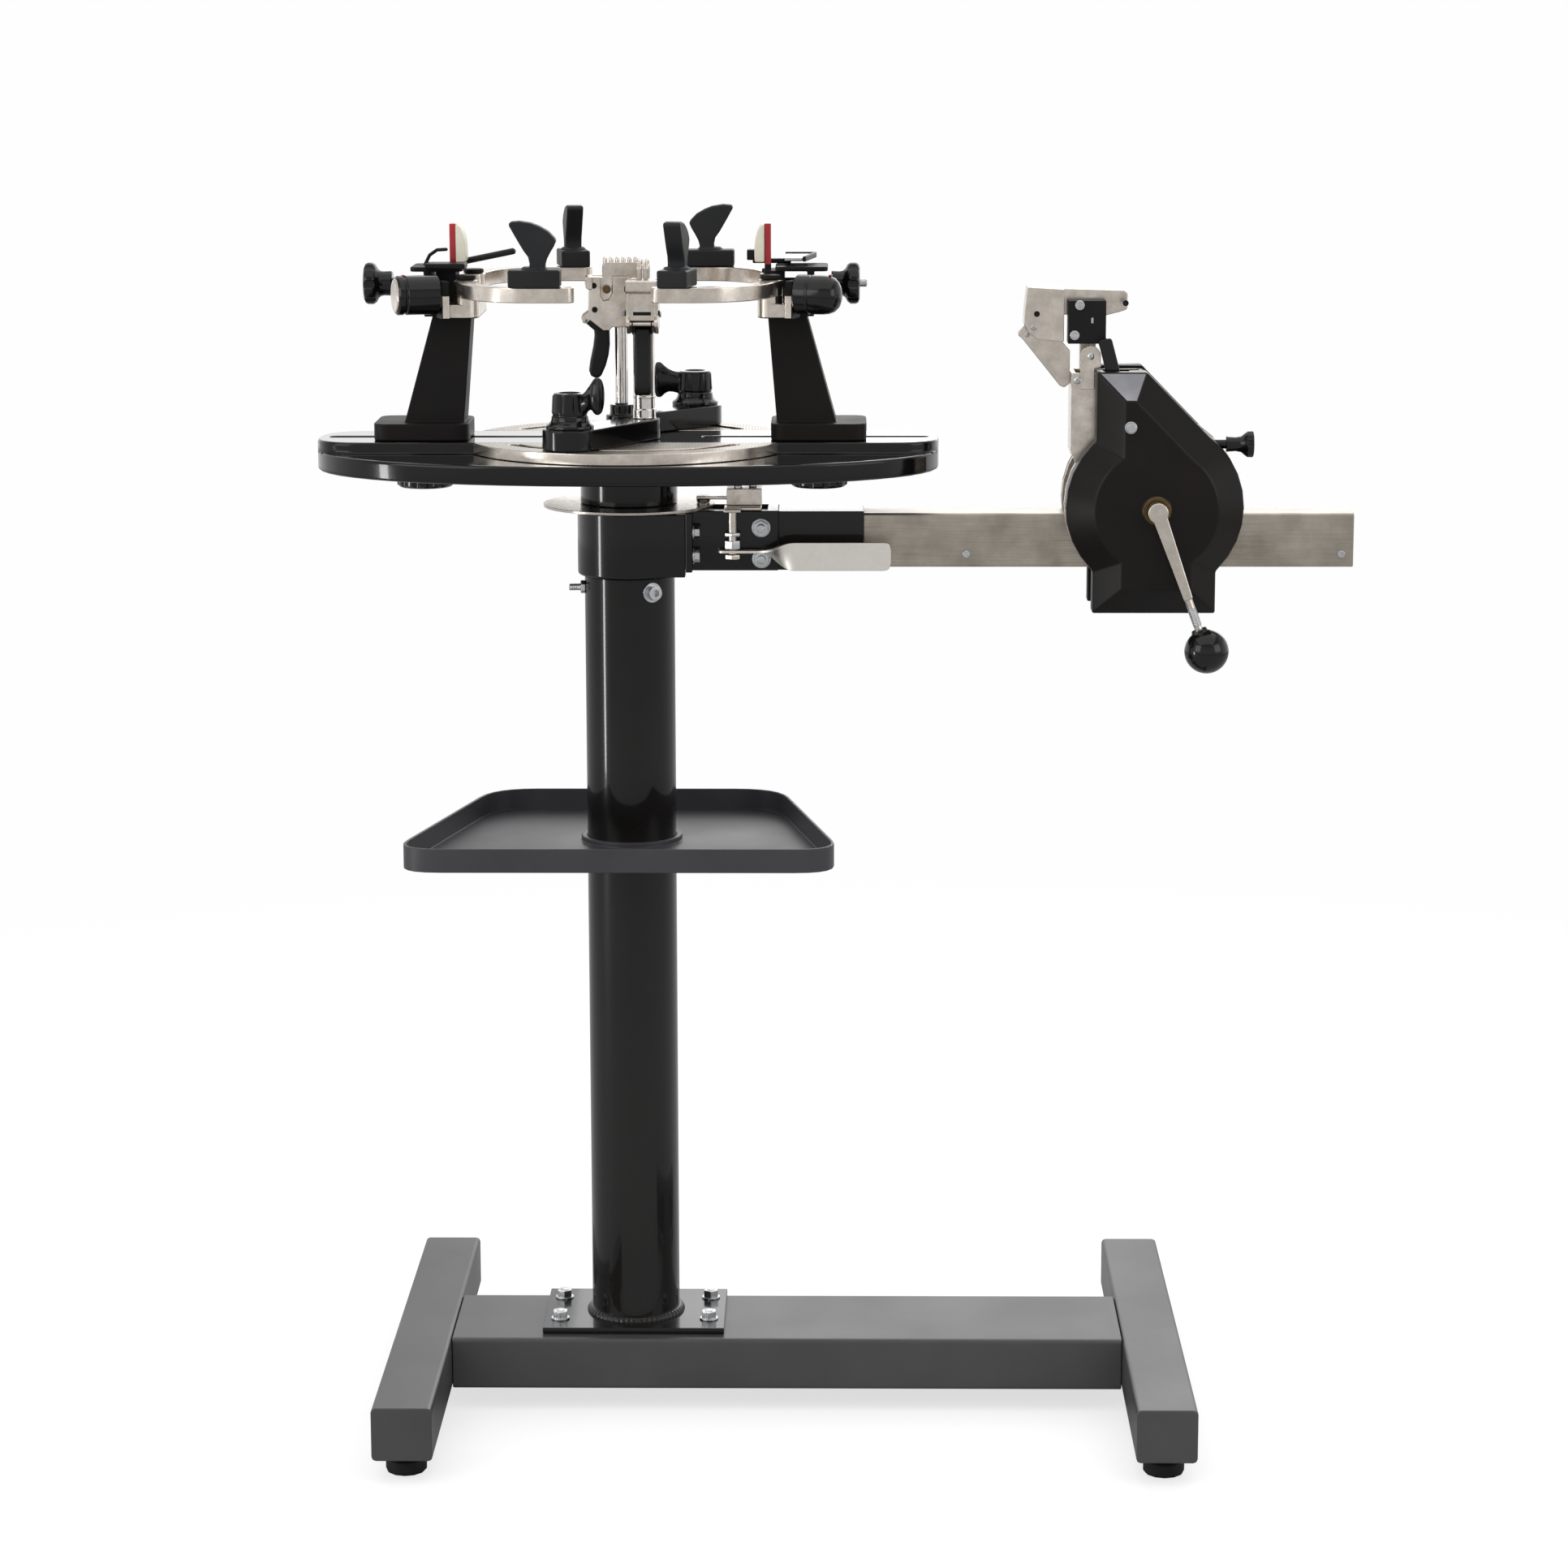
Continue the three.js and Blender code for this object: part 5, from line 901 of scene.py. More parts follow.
@dataclass
class Stage:
    """The pale floor, soft lamps and the camera at the photograph's viewing angle."""

    camera_place: Point = (0.00359, -3.63574, 1.27847)
    pitch: float = 0.1925
    roll: float = -0.0019
    yaw: float = 0.0136
    lens_mm: float = 94.84
    sensor_mm: float = 36.0
    floor_half: float = 6.0
    least_height: float = 0.62
    paper: str = "#fefefe"
    lamps: tuple = (
        ("ceiling_softbox", (0.0, -0.2, 3.2), (0.0, 0.0, 0.8), 4.2, 50.0),
        ("left_softbox", (-2.6, -2.2, 1.9), (0.0, 0.0, 0.7), 2.0, 26.0),
        ("right_softbox", (2.7, -1.6, 1.7), (0.1, 0.0, 0.7), 1.8, 16.0),
        ("back_softbox", (0.6, 2.8, 2.2), (0.0, 0.0, 0.8), 2.4, 24.0),
        ("left_striplight", (-2.9, -1.15, 0.34), (-0.18, 0.0, 0.75), 0.26, 11.0),
    )

    def camera(self) -> None:
        """Sets the camera where the photograph was taken from."""
        data = bpy.data.cameras.new("camera")
        data.lens = self.lens_mm
        data.sensor_width = self.sensor_mm
        data.sensor_fit = "HORIZONTAL"
        data.clip_end = 60.0
        camera = bpy.data.objects.new("camera", data)
        camera.location = self.camera_place
        level = Matrix.Rotation(math.pi / 2 - self.pitch, 3, "X")
        turn = Matrix.Rotation(self.yaw, 3, "Z") @ level @ Matrix.Rotation(self.roll, 3, "Z")
        camera.rotation_euler = turn.to_euler()
        bpy.context.scene.collection.objects.link(camera)
        bpy.context.scene.camera = camera

    def lights(self) -> None:
        """Hangs the softboxes round the machine."""
        for name, place, target, size, power in self.lamps:
            data = bpy.data.lights.new(name, "AREA")
            data.shape = "RECTANGLE"
            data.size = size
            data.size_y = max(size, self.least_height)
            data.energy = power
            lamp = bpy.data.objects.new(name, data)
            lamp.location = place
            lamp.visible_camera = False
            lamp.rotation_euler = (Vector(target) - Vector(place)).to_track_quat("-Z", "Y").to_euler()
            bpy.context.scene.collection.objects.link(lamp)

    def world(self) -> None:
        """Makes the backdrop white to the eye and in gloss, and a plain level of light elsewhere."""
        world = bpy.data.worlds.new("backdrop")
        world.use_nodes = True
        tree = world.node_tree
        tree.nodes.clear()
        path = add_node(tree, "LightPath")
        seen = add_node(tree, "Math", {"operation": "MAXIMUM"}, in_0=path.outputs["Is Camera Ray"],
                        in_1=path.outputs["Is Transmission Ray"])
        way = add_node(tree, "SeparateXYZ", Vector=add_node(tree, "TexCoord").outputs["Generated"])
        behind = add_node(tree, "MapRange", Value=way.outputs["Y"], From_Min=-0.35, From_Max=0.45, To_Min=0.66,
                          To_Max=1.0)
        above = add_node(tree, "MapRange", Value=way.outputs["Z"], From_Min=0.3, From_Max=0.8, To_Min=1.0,
                         To_Max=0.3)
        gloss_level = add_node(tree, "Math", {"operation": "MULTIPLY"}, in_0=behind.outputs["Result"],
                               in_1=above.outputs["Result"])
        fill_level = add_node(tree, "MapRange", Value=way.outputs["Z"], From_Min=-0.1, From_Max=0.8, To_Min=0.32,
                              To_Max=1.3)
        gloss = add_node(tree, "Mix", {"data_type": "FLOAT"}, Factor=path.outputs["Is Glossy Ray"],
                         in_2=fill_level.outputs["Result"], in_3=gloss_level.outputs[0])
        level = add_node(tree, "Mix", {"data_type": "FLOAT"}, Factor=seen.outputs[0], in_2=gloss.outputs[0],
                         in_3=1.0)
        light = add_node(tree, "Background", Color=linear(self.paper), Strength=level.outputs[0])
        add_node(tree, "OutputWorld", Surface=light.outputs[0])
        bpy.context.scene.world = world

    def floor(self) -> None:
        """Lays the pale floor, which stays white to the eye and keeps the machine's shadow."""
        clear()
        bpy.ops.mesh.primitive_circle_add(vertices=96, radius=self.floor_half, fill_type="NGON",
                                          location=(0, 0, 0))
        floor = settle("floor")
        material, tree, shader, place = start_finish("white_paper_sweep")
        fibres = add_node(tree, "TexNoise", Vector=place, Scale=per_mm(3.0), Detail=2.0)
        path = add_node(tree, "LightPath")
        paper = add_node(tree, "Mix", {"data_type": "FLOAT"}, Factor=path.outputs["Is Camera Ray"], in_2=0.36,
                         in_3=0.9)
        wire(tree, shader, Roughness=spread(tree, fibres.outputs[0], 0.82, 0.9), Specular_IOR_Level=0.2,
             Base_Color=paper.outputs[0])
        glow = add_node(tree, "Emission", Color=linear(self.paper), Strength=1.0)
        far = add_node(tree, "VectorMath", {"operation": "LENGTH"}, in_0=place)
        fade = add_node(tree, "MapRange", Value=far.outputs["Value"], From_Min=0.5, From_Max=2.2, To_Min=0.7,
                        To_Max=1.0)
        share = add_node(tree, "Math", {"operation": "MULTIPLY"}, in_0=path.outputs["Is Camera Ray"],
                         in_1=fade.outputs["Result"])
        mixed = add_node(tree, "MixShader", Fac=share.outputs[0], in_1=shader.outputs[0], in_2=glow.outputs[0])
        output = next(n for n in tree.nodes if n.type == "OUTPUT_MATERIAL")
        wire(tree, output, Surface=mixed.outputs[0])
        floor.data.materials.append(material)

    def build(self) -> None:
        """Sets up the whole stage."""
        self.camera()
        self.lights()
        self.world()
        self.floor()
        bpy.context.scene.view_settings.view_transform = "Standard"
        log.info("stage is set")


def thread_profile(outer: float, inner: float, turns: int) -> list[Flat]:
    """Gives a thread's profile from its foot on the axis up to its last groove.

    Args:
        outer: The crests' radius in millimetres.
        inner: The grooves' radius in millimetres.
        turns: How many turns it has.

    Returns:
        Radius and height pairs, as turned() takes them, without the way back to the axis.
    """
    profile = [(0.0, 0.0)]
    for turn in range(turns):
        profile += [(outer, turn * THREAD_PITCH), (inner, (turn + 0.5) * THREAD_PITCH)]
    return profile


class Drive(Enum):
    """How a fastener is turned."""

    HEX = "hexagon head"
    SOCKET = "hexagon socket"
    CROSS = "cross recess"


@dataclass(frozen=True)
class Fastener:
    """A screw head, bolt head or nut that stands on a face, with an optional washer and thread end."""

    radius: float
    height: float
    drive: Drive
    washer: float = 0.0
    washer_height: float = 1.2
    thread_radius: float = 0.0
    thread_length: float = 0.0
    socket_share: float = 0.52
    chamfer: float = 0.6

    def head(self, name: str, foot: Vector, way: Vector) -> bpy.types.Object:
        """Shapes the head alone.

        Args:
            name: The piece's name.
            foot: Where the head sits.
            way: The way it faces.

        Returns:
            The head.
        """
        if self.drive is Drive.HEX:
            return soften(barrel(name, self.radius, self.height, foot, way, sides=6), self.chamfer)
        if self.drive is Drive.SOCKET:
            cap = soften(barrel(name, self.radius, self.height, foot, way, sides=32), self.chamfer)
            key = barrel("key", self.radius * self.socket_share, self.height,
                         foot + way * self.height * 0.4 * MM, way, sides=6)
            return smooth(carve(cap, key))
        dome = [(0, 0), (self.radius, 0), (self.radius, self.height * 0.35),
                (self.radius * 0.8, self.height * 0.8), (self.radius * 0.4, self.height), (0, self.height)]
        pan = turned(name, dome, foot, way, steps=24)
        span = self.radius * 1.1
        middle = foot + way * self.height * MM
        turn = turn_to(way)
        cuts = [block("slot", (span, self.radius * 0.24, self.height), middle, turn),
                block("slot", (self.radius * 0.24, span, self.height), middle, turn)]
        return smooth(carve(pan, *cuts))

    def make(self, name: str, foot: Vector, facing: Sequence[float]) -> bpy.types.Object:
        """Makes the whole fastener.

        Args:
            name: The piece's name.
            foot: Where its washer or head touches the face.
            facing: The way it stands out of the face.

        Returns:
            The fastener, as one object.
        """
        way = Vector(facing).normalized()
        pieces = []
        if self.washer:
            ring = barrel("washer", self.washer, self.washer_height, foot, way, sides=32)
            pieces.append(soften(ring, 0.3, rounds=1))
            foot = foot + way * self.washer_height * MM
        pieces.append(self.head(name, foot, way))
        if self.thread_length:
            turns = int(self.thread_length / THREAD_PITCH)
            end = turns * THREAD_PITCH
            profile = thread_profile(self.thread_radius, self.thread_radius * 0.84, turns)
            profile += [(self.thread_radius * 0.9, end), (0.0, end + 0.4)]
            top = foot + way * (self.height * 0.5) * MM
            pieces.append(smooth(turned("thread", profile, top, way, steps=20), 50))
        return joined(name, *pieces)

    def fit(
        self, finishes: Finishes, name: str, foot: Vector, facing: Sequence[float], body: str = "stand",
    ) -> None:
        """Makes the fastener in bright zinc plate and fits it to a body.

        Args:
            finishes: The machine's finishes.
            name: The piece's name.
            foot: Where its washer or head touches the face.
            facing: The way it stands out of the face.
            body: The body that it moves with.
        """
        dress(self.make(name, foot, facing), body, finishes.zinc)


@dataclass
class Stand:
    """The column stand: foot tubes, cross tube, column, tray, rubber feet and their bolts."""

    finishes: Finishes
    tube_radius: float = 40.0
    tube_wall: float = 3.0
    tube_top: float = 758.7
    plate_bottom: float = 69.0
    plate_top: float = 75.0
    plate_size: Flat = (165.0, 116.0)
    bead_height: float = 5.0
    bead_reach: float = 4.4
    bead_ripples: int = 58
    beam_underside: float = 20.9

    def tubes(self) -> None:
        """Rounds and coats the foot tubes, the cross tube and the tray."""
        for node, width in (("left_foot_tube", 1.2), ("right_foot_tube", 1.2), ("cross_tube", 1.0)):
            dress(remade(node, width), "stand", self.finishes.satin_coat)
        dress(remade("tool_tray", 0.8), "stand", self.finishes.tray_coat)

    def column(self) -> None:
        """Rolls the column, welds it to its base plate with a rippled bead and coats them together."""
        radius, foot = self.tube_radius, spot(0, 0, self.plate_top - 1)
        length = self.tube_top - self.plate_top + 1
        wall = [(0, 0), (radius, 0), (radius, length - 0.8), (radius - 0.8, length), (0, length)]
        tube = turned("column_tube", wall, foot, UP, steps=128)
        carve(tube, barrel("bore", radius - self.tube_wall, length + 20, foot - Vector((0, 0, 0.01)), UP))
        base = block("column_base_plate", (*self.plate_size, self.plate_top - self.plate_bottom),
                     spot(0, 0, (self.plate_top + self.plate_bottom) / 2))
        soften(base, 1.0)
        reach, height = self.bead_reach, self.bead_height
        profile = [(0, 0), (radius + reach, 0)]
        profile += [(radius + reach * math.cos(turn), height * math.sin(turn)) for turn in (0.3, 0.7, 1.1, 1.4)]
        profile += [(radius - 1, height), (0, height)]
        bead = turned("column_weld", profile, spot(0, 0, self.plate_top), UP, steps=4 * self.bead_ripples)
        axis = spot(0, 0, 0)
        for vertex in bead.data.vertices:
            aside = (vertex.co - axis).xy
            if aside.length > (radius + 0.4) * MM:
                ripple = 1 + 0.011 * math.sin(math.atan2(aside.y, aside.x) * self.bead_ripples)
                vertex.co.x, vertex.co.y = axis.x + aside.x * ripple, axis.y + aside.y * ripple
        carve(bead, barrel("bore", radius - 1, 30, spot(0, 0, self.plate_top - 5), UP))
        whole = joined("column_welded", smooth(tube), base, smooth(bead, 60))
        dress(whole, "stand", self.finishes.gloss_coat)
        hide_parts("column")

    def feet(self) -> None:
        """Rounds the rubber feet and makes the four base bolts, with their heads under the cross tube."""
        nut = Fastener(7.4, 6.4, Drive.HEX, washer=8.5, washer_height=1.6, thread_radius=4.0, thread_length=4.4)
        head = Fastener(7.4, 5.0, Drive.HEX)
        for end in ("front_left", "rear_left", "front_right", "rear_right"):
            rubber = remade(end + "_rubber_foot", 1.2, rounds=3)
            dress(rubber, "stand", self.finishes.foot_rubber)
            node = end + "_base_bolt"
            low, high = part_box(node)
            x, y = (low.x + high.x) / 2, (low.y + high.y) / 2
            top = nut.make(end + "_nut", Vector((x, y, self.plate_top * MM)), UP)
            under = head.make(end + "_head", Vector((x, y, self.beam_underside * MM)), DOWN)
            bolt = joined(end + "_base_fastener", top, under)
            dress(bolt, "stand", self.finishes.zinc)
            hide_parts(node)

    def build(self) -> None:
        """Builds and dresses the whole stand."""
        self.tubes()
        self.column()
        self.feet()


@dataclass
class TensionHead:
    """The tension head on its rail: carriage, covers, crank, knob, gripper and release lever."""

    finishes: Finishes
    crank_x: float = 463.0
    crank_z: float = 823.5
    cover_front: float = -70.0
    facet_bottom: float = 910.0
    web_bottom: float = 868.0
    facet_way: Point = (0.0, -0.737, 0.676)
    bush_radius: float = 12.2
    hub_radius: float = 9.3
    bush_front: float = -73.4
    ball_radius: float = 19.3
    ball_centre: Point = (506.9, -85.0, 702.2)
    rod_way: Point = (0.3404, 0.0, -0.9403)
    knob_start: Point = (525.0, -36.0, 878.0)
    knob_length: float = 24.0
    rod_length: float = 24.0
    rod_turns: int = 14
    jaw_front: float = -20.0
    web_half: float = 20.3
    body: str = "tension_head"
    block_outline: tuple = (
        (351.4, 1013.6), (349.4, 996.0), (348.2, 981.0), (352.0, 974.0), (360.0, 968.0), (383.4, 965.6),
        (383.4, 1011.6),
    )
    link_outline: tuple = (
        (349.0, 980.0), (344.2, 974.4), (343.8, 970.6), (347.6, 967.4), (380.6, 926.4), (384.6, 924.8),
        (389.4, 928.4), (389.4, 957.6), (382.0, 965.8), (380.0, 980.0),
    )
    bar_outline: tuple = (
        (382.0, 988.0), (420.0, 987.2), (433.0, 990.4), (439.4, 992.6), (440.0, 995.0), (440.0, 1007.0),
        (437.0, 1009.4), (382.0, 1011.0),
    )

    def covers(self) -> None:
        """Rounds the two moulded covers, dresses them and paints a highlight on the facet over the front one."""
        for node, width in (("tension_head_front_cover", 1.8), ("tension_head_rear_cover", 1.4)):
            cover = dress(remade(node, width, rounds=3, angle=14), self.body,
                          self.finishes.cover_plastic)
            # Painted highlight: the top facet's faces, which look up and forward, get the pale grey finish.
            two_faced(cover, self.finishes.facet_highlight, lambda polygon: polygon.center.z > self.facet_bottom * MM
                      and polygon.normal.dot(Vector(self.facet_way)) > 0.99)
        screw = Fastener(4.4, 3.0, Drive.SOCKET, washer=5.4)
        screw.fit(self.finishes, "cover_screw", spot(439.5, self.cover_front, 896), FRONT, self.body)
        screw.fit(self.finishes, "rear_cover_screw", spot(445, 52, 896), REAR, self.body)

    def bush(self) -> None:
        """Turns the bronze bush that the crank's shaft runs in."""
        depth = -self.bush_front + self.cover_front
        ring = turned("crank_bush", [(0, 0), (self.bush_radius + 0.4, 0), (self.bush_radius + 0.4, depth - 0.8),
                                     (self.bush_radius - 0.4, depth), (0, depth)],
                      spot(self.crank_x, self.cover_front, self.crank_z), FRONT, steps=56)
        behind = spot(self.crank_x, self.cover_front + 4, self.crank_z)
        hole = barrel("hole", self.hub_radius, 12, behind, FRONT)
        dress(smooth(carve(ring, hole)), self.body, self.finishes.brass)

    def crank(self) -> None:
        """Rounds the crank, threads its rod and turns the ball knob."""
        dress(remade("tension_crank", 1.0, rounds=3), "crank", self.finishes.nickel)
        way = Vector(self.rod_way)
        centre = spot(*self.ball_centre)
        start = centre - way * (self.ball_radius + self.rod_length) * MM
        profile = thread_profile(4.0, 3.55, self.rod_turns) + [(0.0, 17.0)]
        rod = turned("crank_rod_thread", profile, start + way * 3 * MM, way, steps=24)
        dress(smooth(rod, 50), "crank", self.finishes.zinc)
        ball = [(0.0, -self.ball_radius - 1.2), (6.6, -self.ball_radius - 1.2), (7.2, -self.ball_radius + 0.6)]
        for step in range(4, 33):
            angle = math.pi * step / 32
            ball.append((self.ball_radius * math.sin(angle), -self.ball_radius * math.cos(angle)))
        ball[-1] = (0.0, self.ball_radius)
        knob = smooth(turned("crank_ball", [(r, h + self.ball_radius) for r, h in ball],
                             centre - way * self.ball_radius * MM, way, steps=64), 40)
        dress(knob, "crank_ball", self.finishes.gloss_plastic)
        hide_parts("crank_ball_knob")

    def knob(self) -> None:
        """Turns the bell shaped tension knob and flutes its flare."""
        length = self.knob_length
        profile = [(0, -18), (4, -18), (4, 0), (7.0, 0.3), (6.6, 2), (6.2, length * 0.35), (7.0, length * 0.55),
                   (9.6, length * 0.68), (11.4, length * 0.78), (11.5, length * 0.97), (10.6, length),
                   (8.2, length), (7.4, length - 1.6), (0, length - 1.6)]
        foot = spot(*self.knob_start)
        knob = smooth(turned("tension_knob_bell", profile, foot, RIGHT, steps=56), 32)
        flare = foot + Vector((length * 0.68 * MM, 0, 0))
        fluted(knob, 10, 12.2, flare, RIGHT, (1.5, 9, 16), start=0.0, angle=32)
        dress(knob, "tension_knob", self.finishes.gloss_plastic)
        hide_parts("tension_knob")

    def side_plate(
        self, name: str, outline: Sequence[Flat], front: float, rear: float, width: float,
    ) -> bpy.types.Object:
        """Cuts a plate that faces the front and rounds its edges.

        Args:
            name: What the piece is called.
            outline: Its outline as seen from the front.
            front: Where it starts in depth, in millimetres.
            rear: Where it ends in depth, in millimetres.
            width: The edge rounding, in millimetres.

        Returns:
            The new object.
        """
        return soften(plate(name, outline, rear - front, spot(0, rear, 0), RIGHT, UP), width)

    def gripper(self) -> None:
        """Builds the gripper's castings, the plate they stand on, its jaw, screws, pins, and black discs painted
        as the shade in its holes.
        """
        block_piece = self.side_plate("block", self.block_outline, -18.0, 18.0, 1.0)
        mouth = block("mouth", (50.0, 2.0, 40.0), spot(366.0, -1.0, 1006.0))
        carve(block_piece, mouth)
        link = self.side_plate("link", self.link_outline, -8.0, 8.0, 0.9)
        bar = self.side_plate("bar", self.bar_outline, 0.4, 18.0, 1.2)
        upright = self.side_plate("upright", ((398.4, 924.0), (412.6, 924.0), (412.6, 990.0), (398.4, 990.0)),
                                  0.2, 15.8, 0.8)
        whole = joined("gripper_casting", smooth(block_piece), link, bar, upright)
        dress(whole, self.body, self.finishes.nickel)
        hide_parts("gripper_body")
        arch = [(397.5, 925.0), (410.2, 925.0), (410.2, 943.0), (415.5, 944.2)]
        arch += [(406.5 + 9.0 * math.cos(math.pi * step / 16), 954.0 + 9.0 * math.sin(math.pi * step / 16))
                 for step in range(17)]
        post = self.side_plate("gripper_post_plate", arch, -27.4, -24.3, 0.6)
        dress(post, self.body, self.finishes.nickel)
        dress(remade("gripper_jaw", 0.6), "gripper_jaw", self.finishes.hard_black)
        for index, (x, z) in enumerate(((396.8, 998.0), (392.5, 971.9))):
            Fastener(4.3, 2.6, Drive.SOCKET).fit(self.finishes, f"gripper_jaw_screw_{index + 1}",
                                                 spot(x, self.jaw_front, z), FRONT, "gripper_jaw")
        pin = block("gripper_jaw_pin", (2.0, 0.8, 5.0), spot(407.9, self.jaw_front - 0.2, 984.6))
        dress(soften(pin, 0.3), "gripper_jaw", self.finishes.zinc)
        for index, (x, y, z, radius) in enumerate(((395.2, -24.2, 932.5, 3.2), (356.9, -18.0, 978.5, 2.6),
                                                (351.6, -8.0, 971.0, 2.2), (406.5, -27.4, 954.0, 3.0))):
            Fastener(radius, 1.5, Drive.CROSS).fit(self.finishes, f"gripper_rivet_{index + 1}", spot(x, y, z),
                                                   FRONT, self.body)
        # Painted shade: thin black discs on the face stand in for the dark inside two holes.
        for index, (x, y, z) in enumerate(((359.5, -18.0, 990.2), (437.0, -18.0, 999.6))):
            rim = [(0, 0), (2.6, 0), (2.6, 0.3), (1.9, 0.35), (1.7, 0.1), (0, 0.1)]
            hole = turned(f"gripper_hole_{index + 1}", rim, spot(x, y, z), FRONT, steps=24)
            dress(smooth(hole), self.body, self.finishes.hard_black)

    def carriage(self) -> None:
        """Rounds the carriage's side plates and the release lever, and paints the web between the plates black as
        painted shade.
        """
        carriage = dress(remade("tension_carriage", 0.5), self.body, self.finishes.nickel)
        middle = spot(0.0, 0.0, 0.0).y
        web_start = spot(self.crank_x - 20.0, 0.0, 0.0).x
        half = self.web_half * MM
        # Painted shade: the faces between the side plates, behind the crank and above the web's bottom, are
        # painted black.
        two_faced(carriage, self.finishes.hard_black, lambda polygon: abs(polygon.center.y - middle) < half
                  and polygon.center.x > web_start and polygon.center.z > self.web_bottom * MM)
        dress(remade("brake_release_lever", 0.7), "release_lever",
              self.finishes.gloss_plastic)

    def build(self) -> None:
        """Builds and dresses the whole tension head."""
        self.covers()
        self.bush()
        self.crank()
        self.knob()
        self.gripper()
        self.carriage()


@dataclass
class Turntable:
    """The mast head and the turntable: spindle, brake disc, lacquered plate and knurled track plates."""

    finishes: Finishes
    clamp_screw: Point = (21.0, -34.0, 746.5)
    side_screw: Point = (-39.6, -5.0, 747.5)

    def mast(self) -> None:
        """Rounds the mast head and adds the screws that clamp it in the column."""
        dress(remade("mast_head", 1.0), "stand", self.finishes.gloss_coat)
        Fastener(6.4, 6.0, Drive.SOCKET, washer=9.0, washer_height=1.8).fit(
            self.finishes, "mast_screw_1", spot(*self.clamp_screw), (0.53, -0.85, 0.0))
        Fastener(6.0, 4.0, Drive.HEX, thread_radius=3.4, thread_length=12.0).fit(
            self.finishes, "mast_side_screw", spot(*self.side_screw), (-1.0, -0.12, 0.0))
        repaint(self.finishes.cream, "thrust_washer")

    def table(self) -> None:
        """Rounds and lacquers the plate, and knurls the tops of the track plates."""
        table = dress(remade("turntable_plate", 2.6, rounds=4, angle=40), "turntable",
                      self.finishes.lacquer)
        two_faced(table, self.finishes.polish, lambda polygon: polygon.normal.z > 0.9)
        dress(remade("turntable_spindle", 0.8), "turntable", self.finishes.lacquer)
        dress(remade("brake_disc", 0.3), "turntable", self.finishes.disc_steel)
        for node in ("front_track_plate", "rear_track_plate"):
            piece = dress(remade(node, 0.6), "turntable", self.finishes.nickel)
            two_faced(piece, self.finishes.knurl, lambda polygon: polygon.normal.z > 0.95)

    def build(self) -> None:
        """Builds and dresses the mast head and the turntable."""
        self.mast()
        self.table()


@dataclass(frozen=True)
class TowerSide:
    """What differs between the two towers.

    Fields:
        name: The side's name.
        tower_x: The tower's place along the bar, in millimetres.
        inward: 1 where inward is +X and -1 where it is -X.
        knob_x: The outer face of the pad knob, in millimetres.
    """

    name: str
    tower_x: float
    inward: int
    knob_x: float


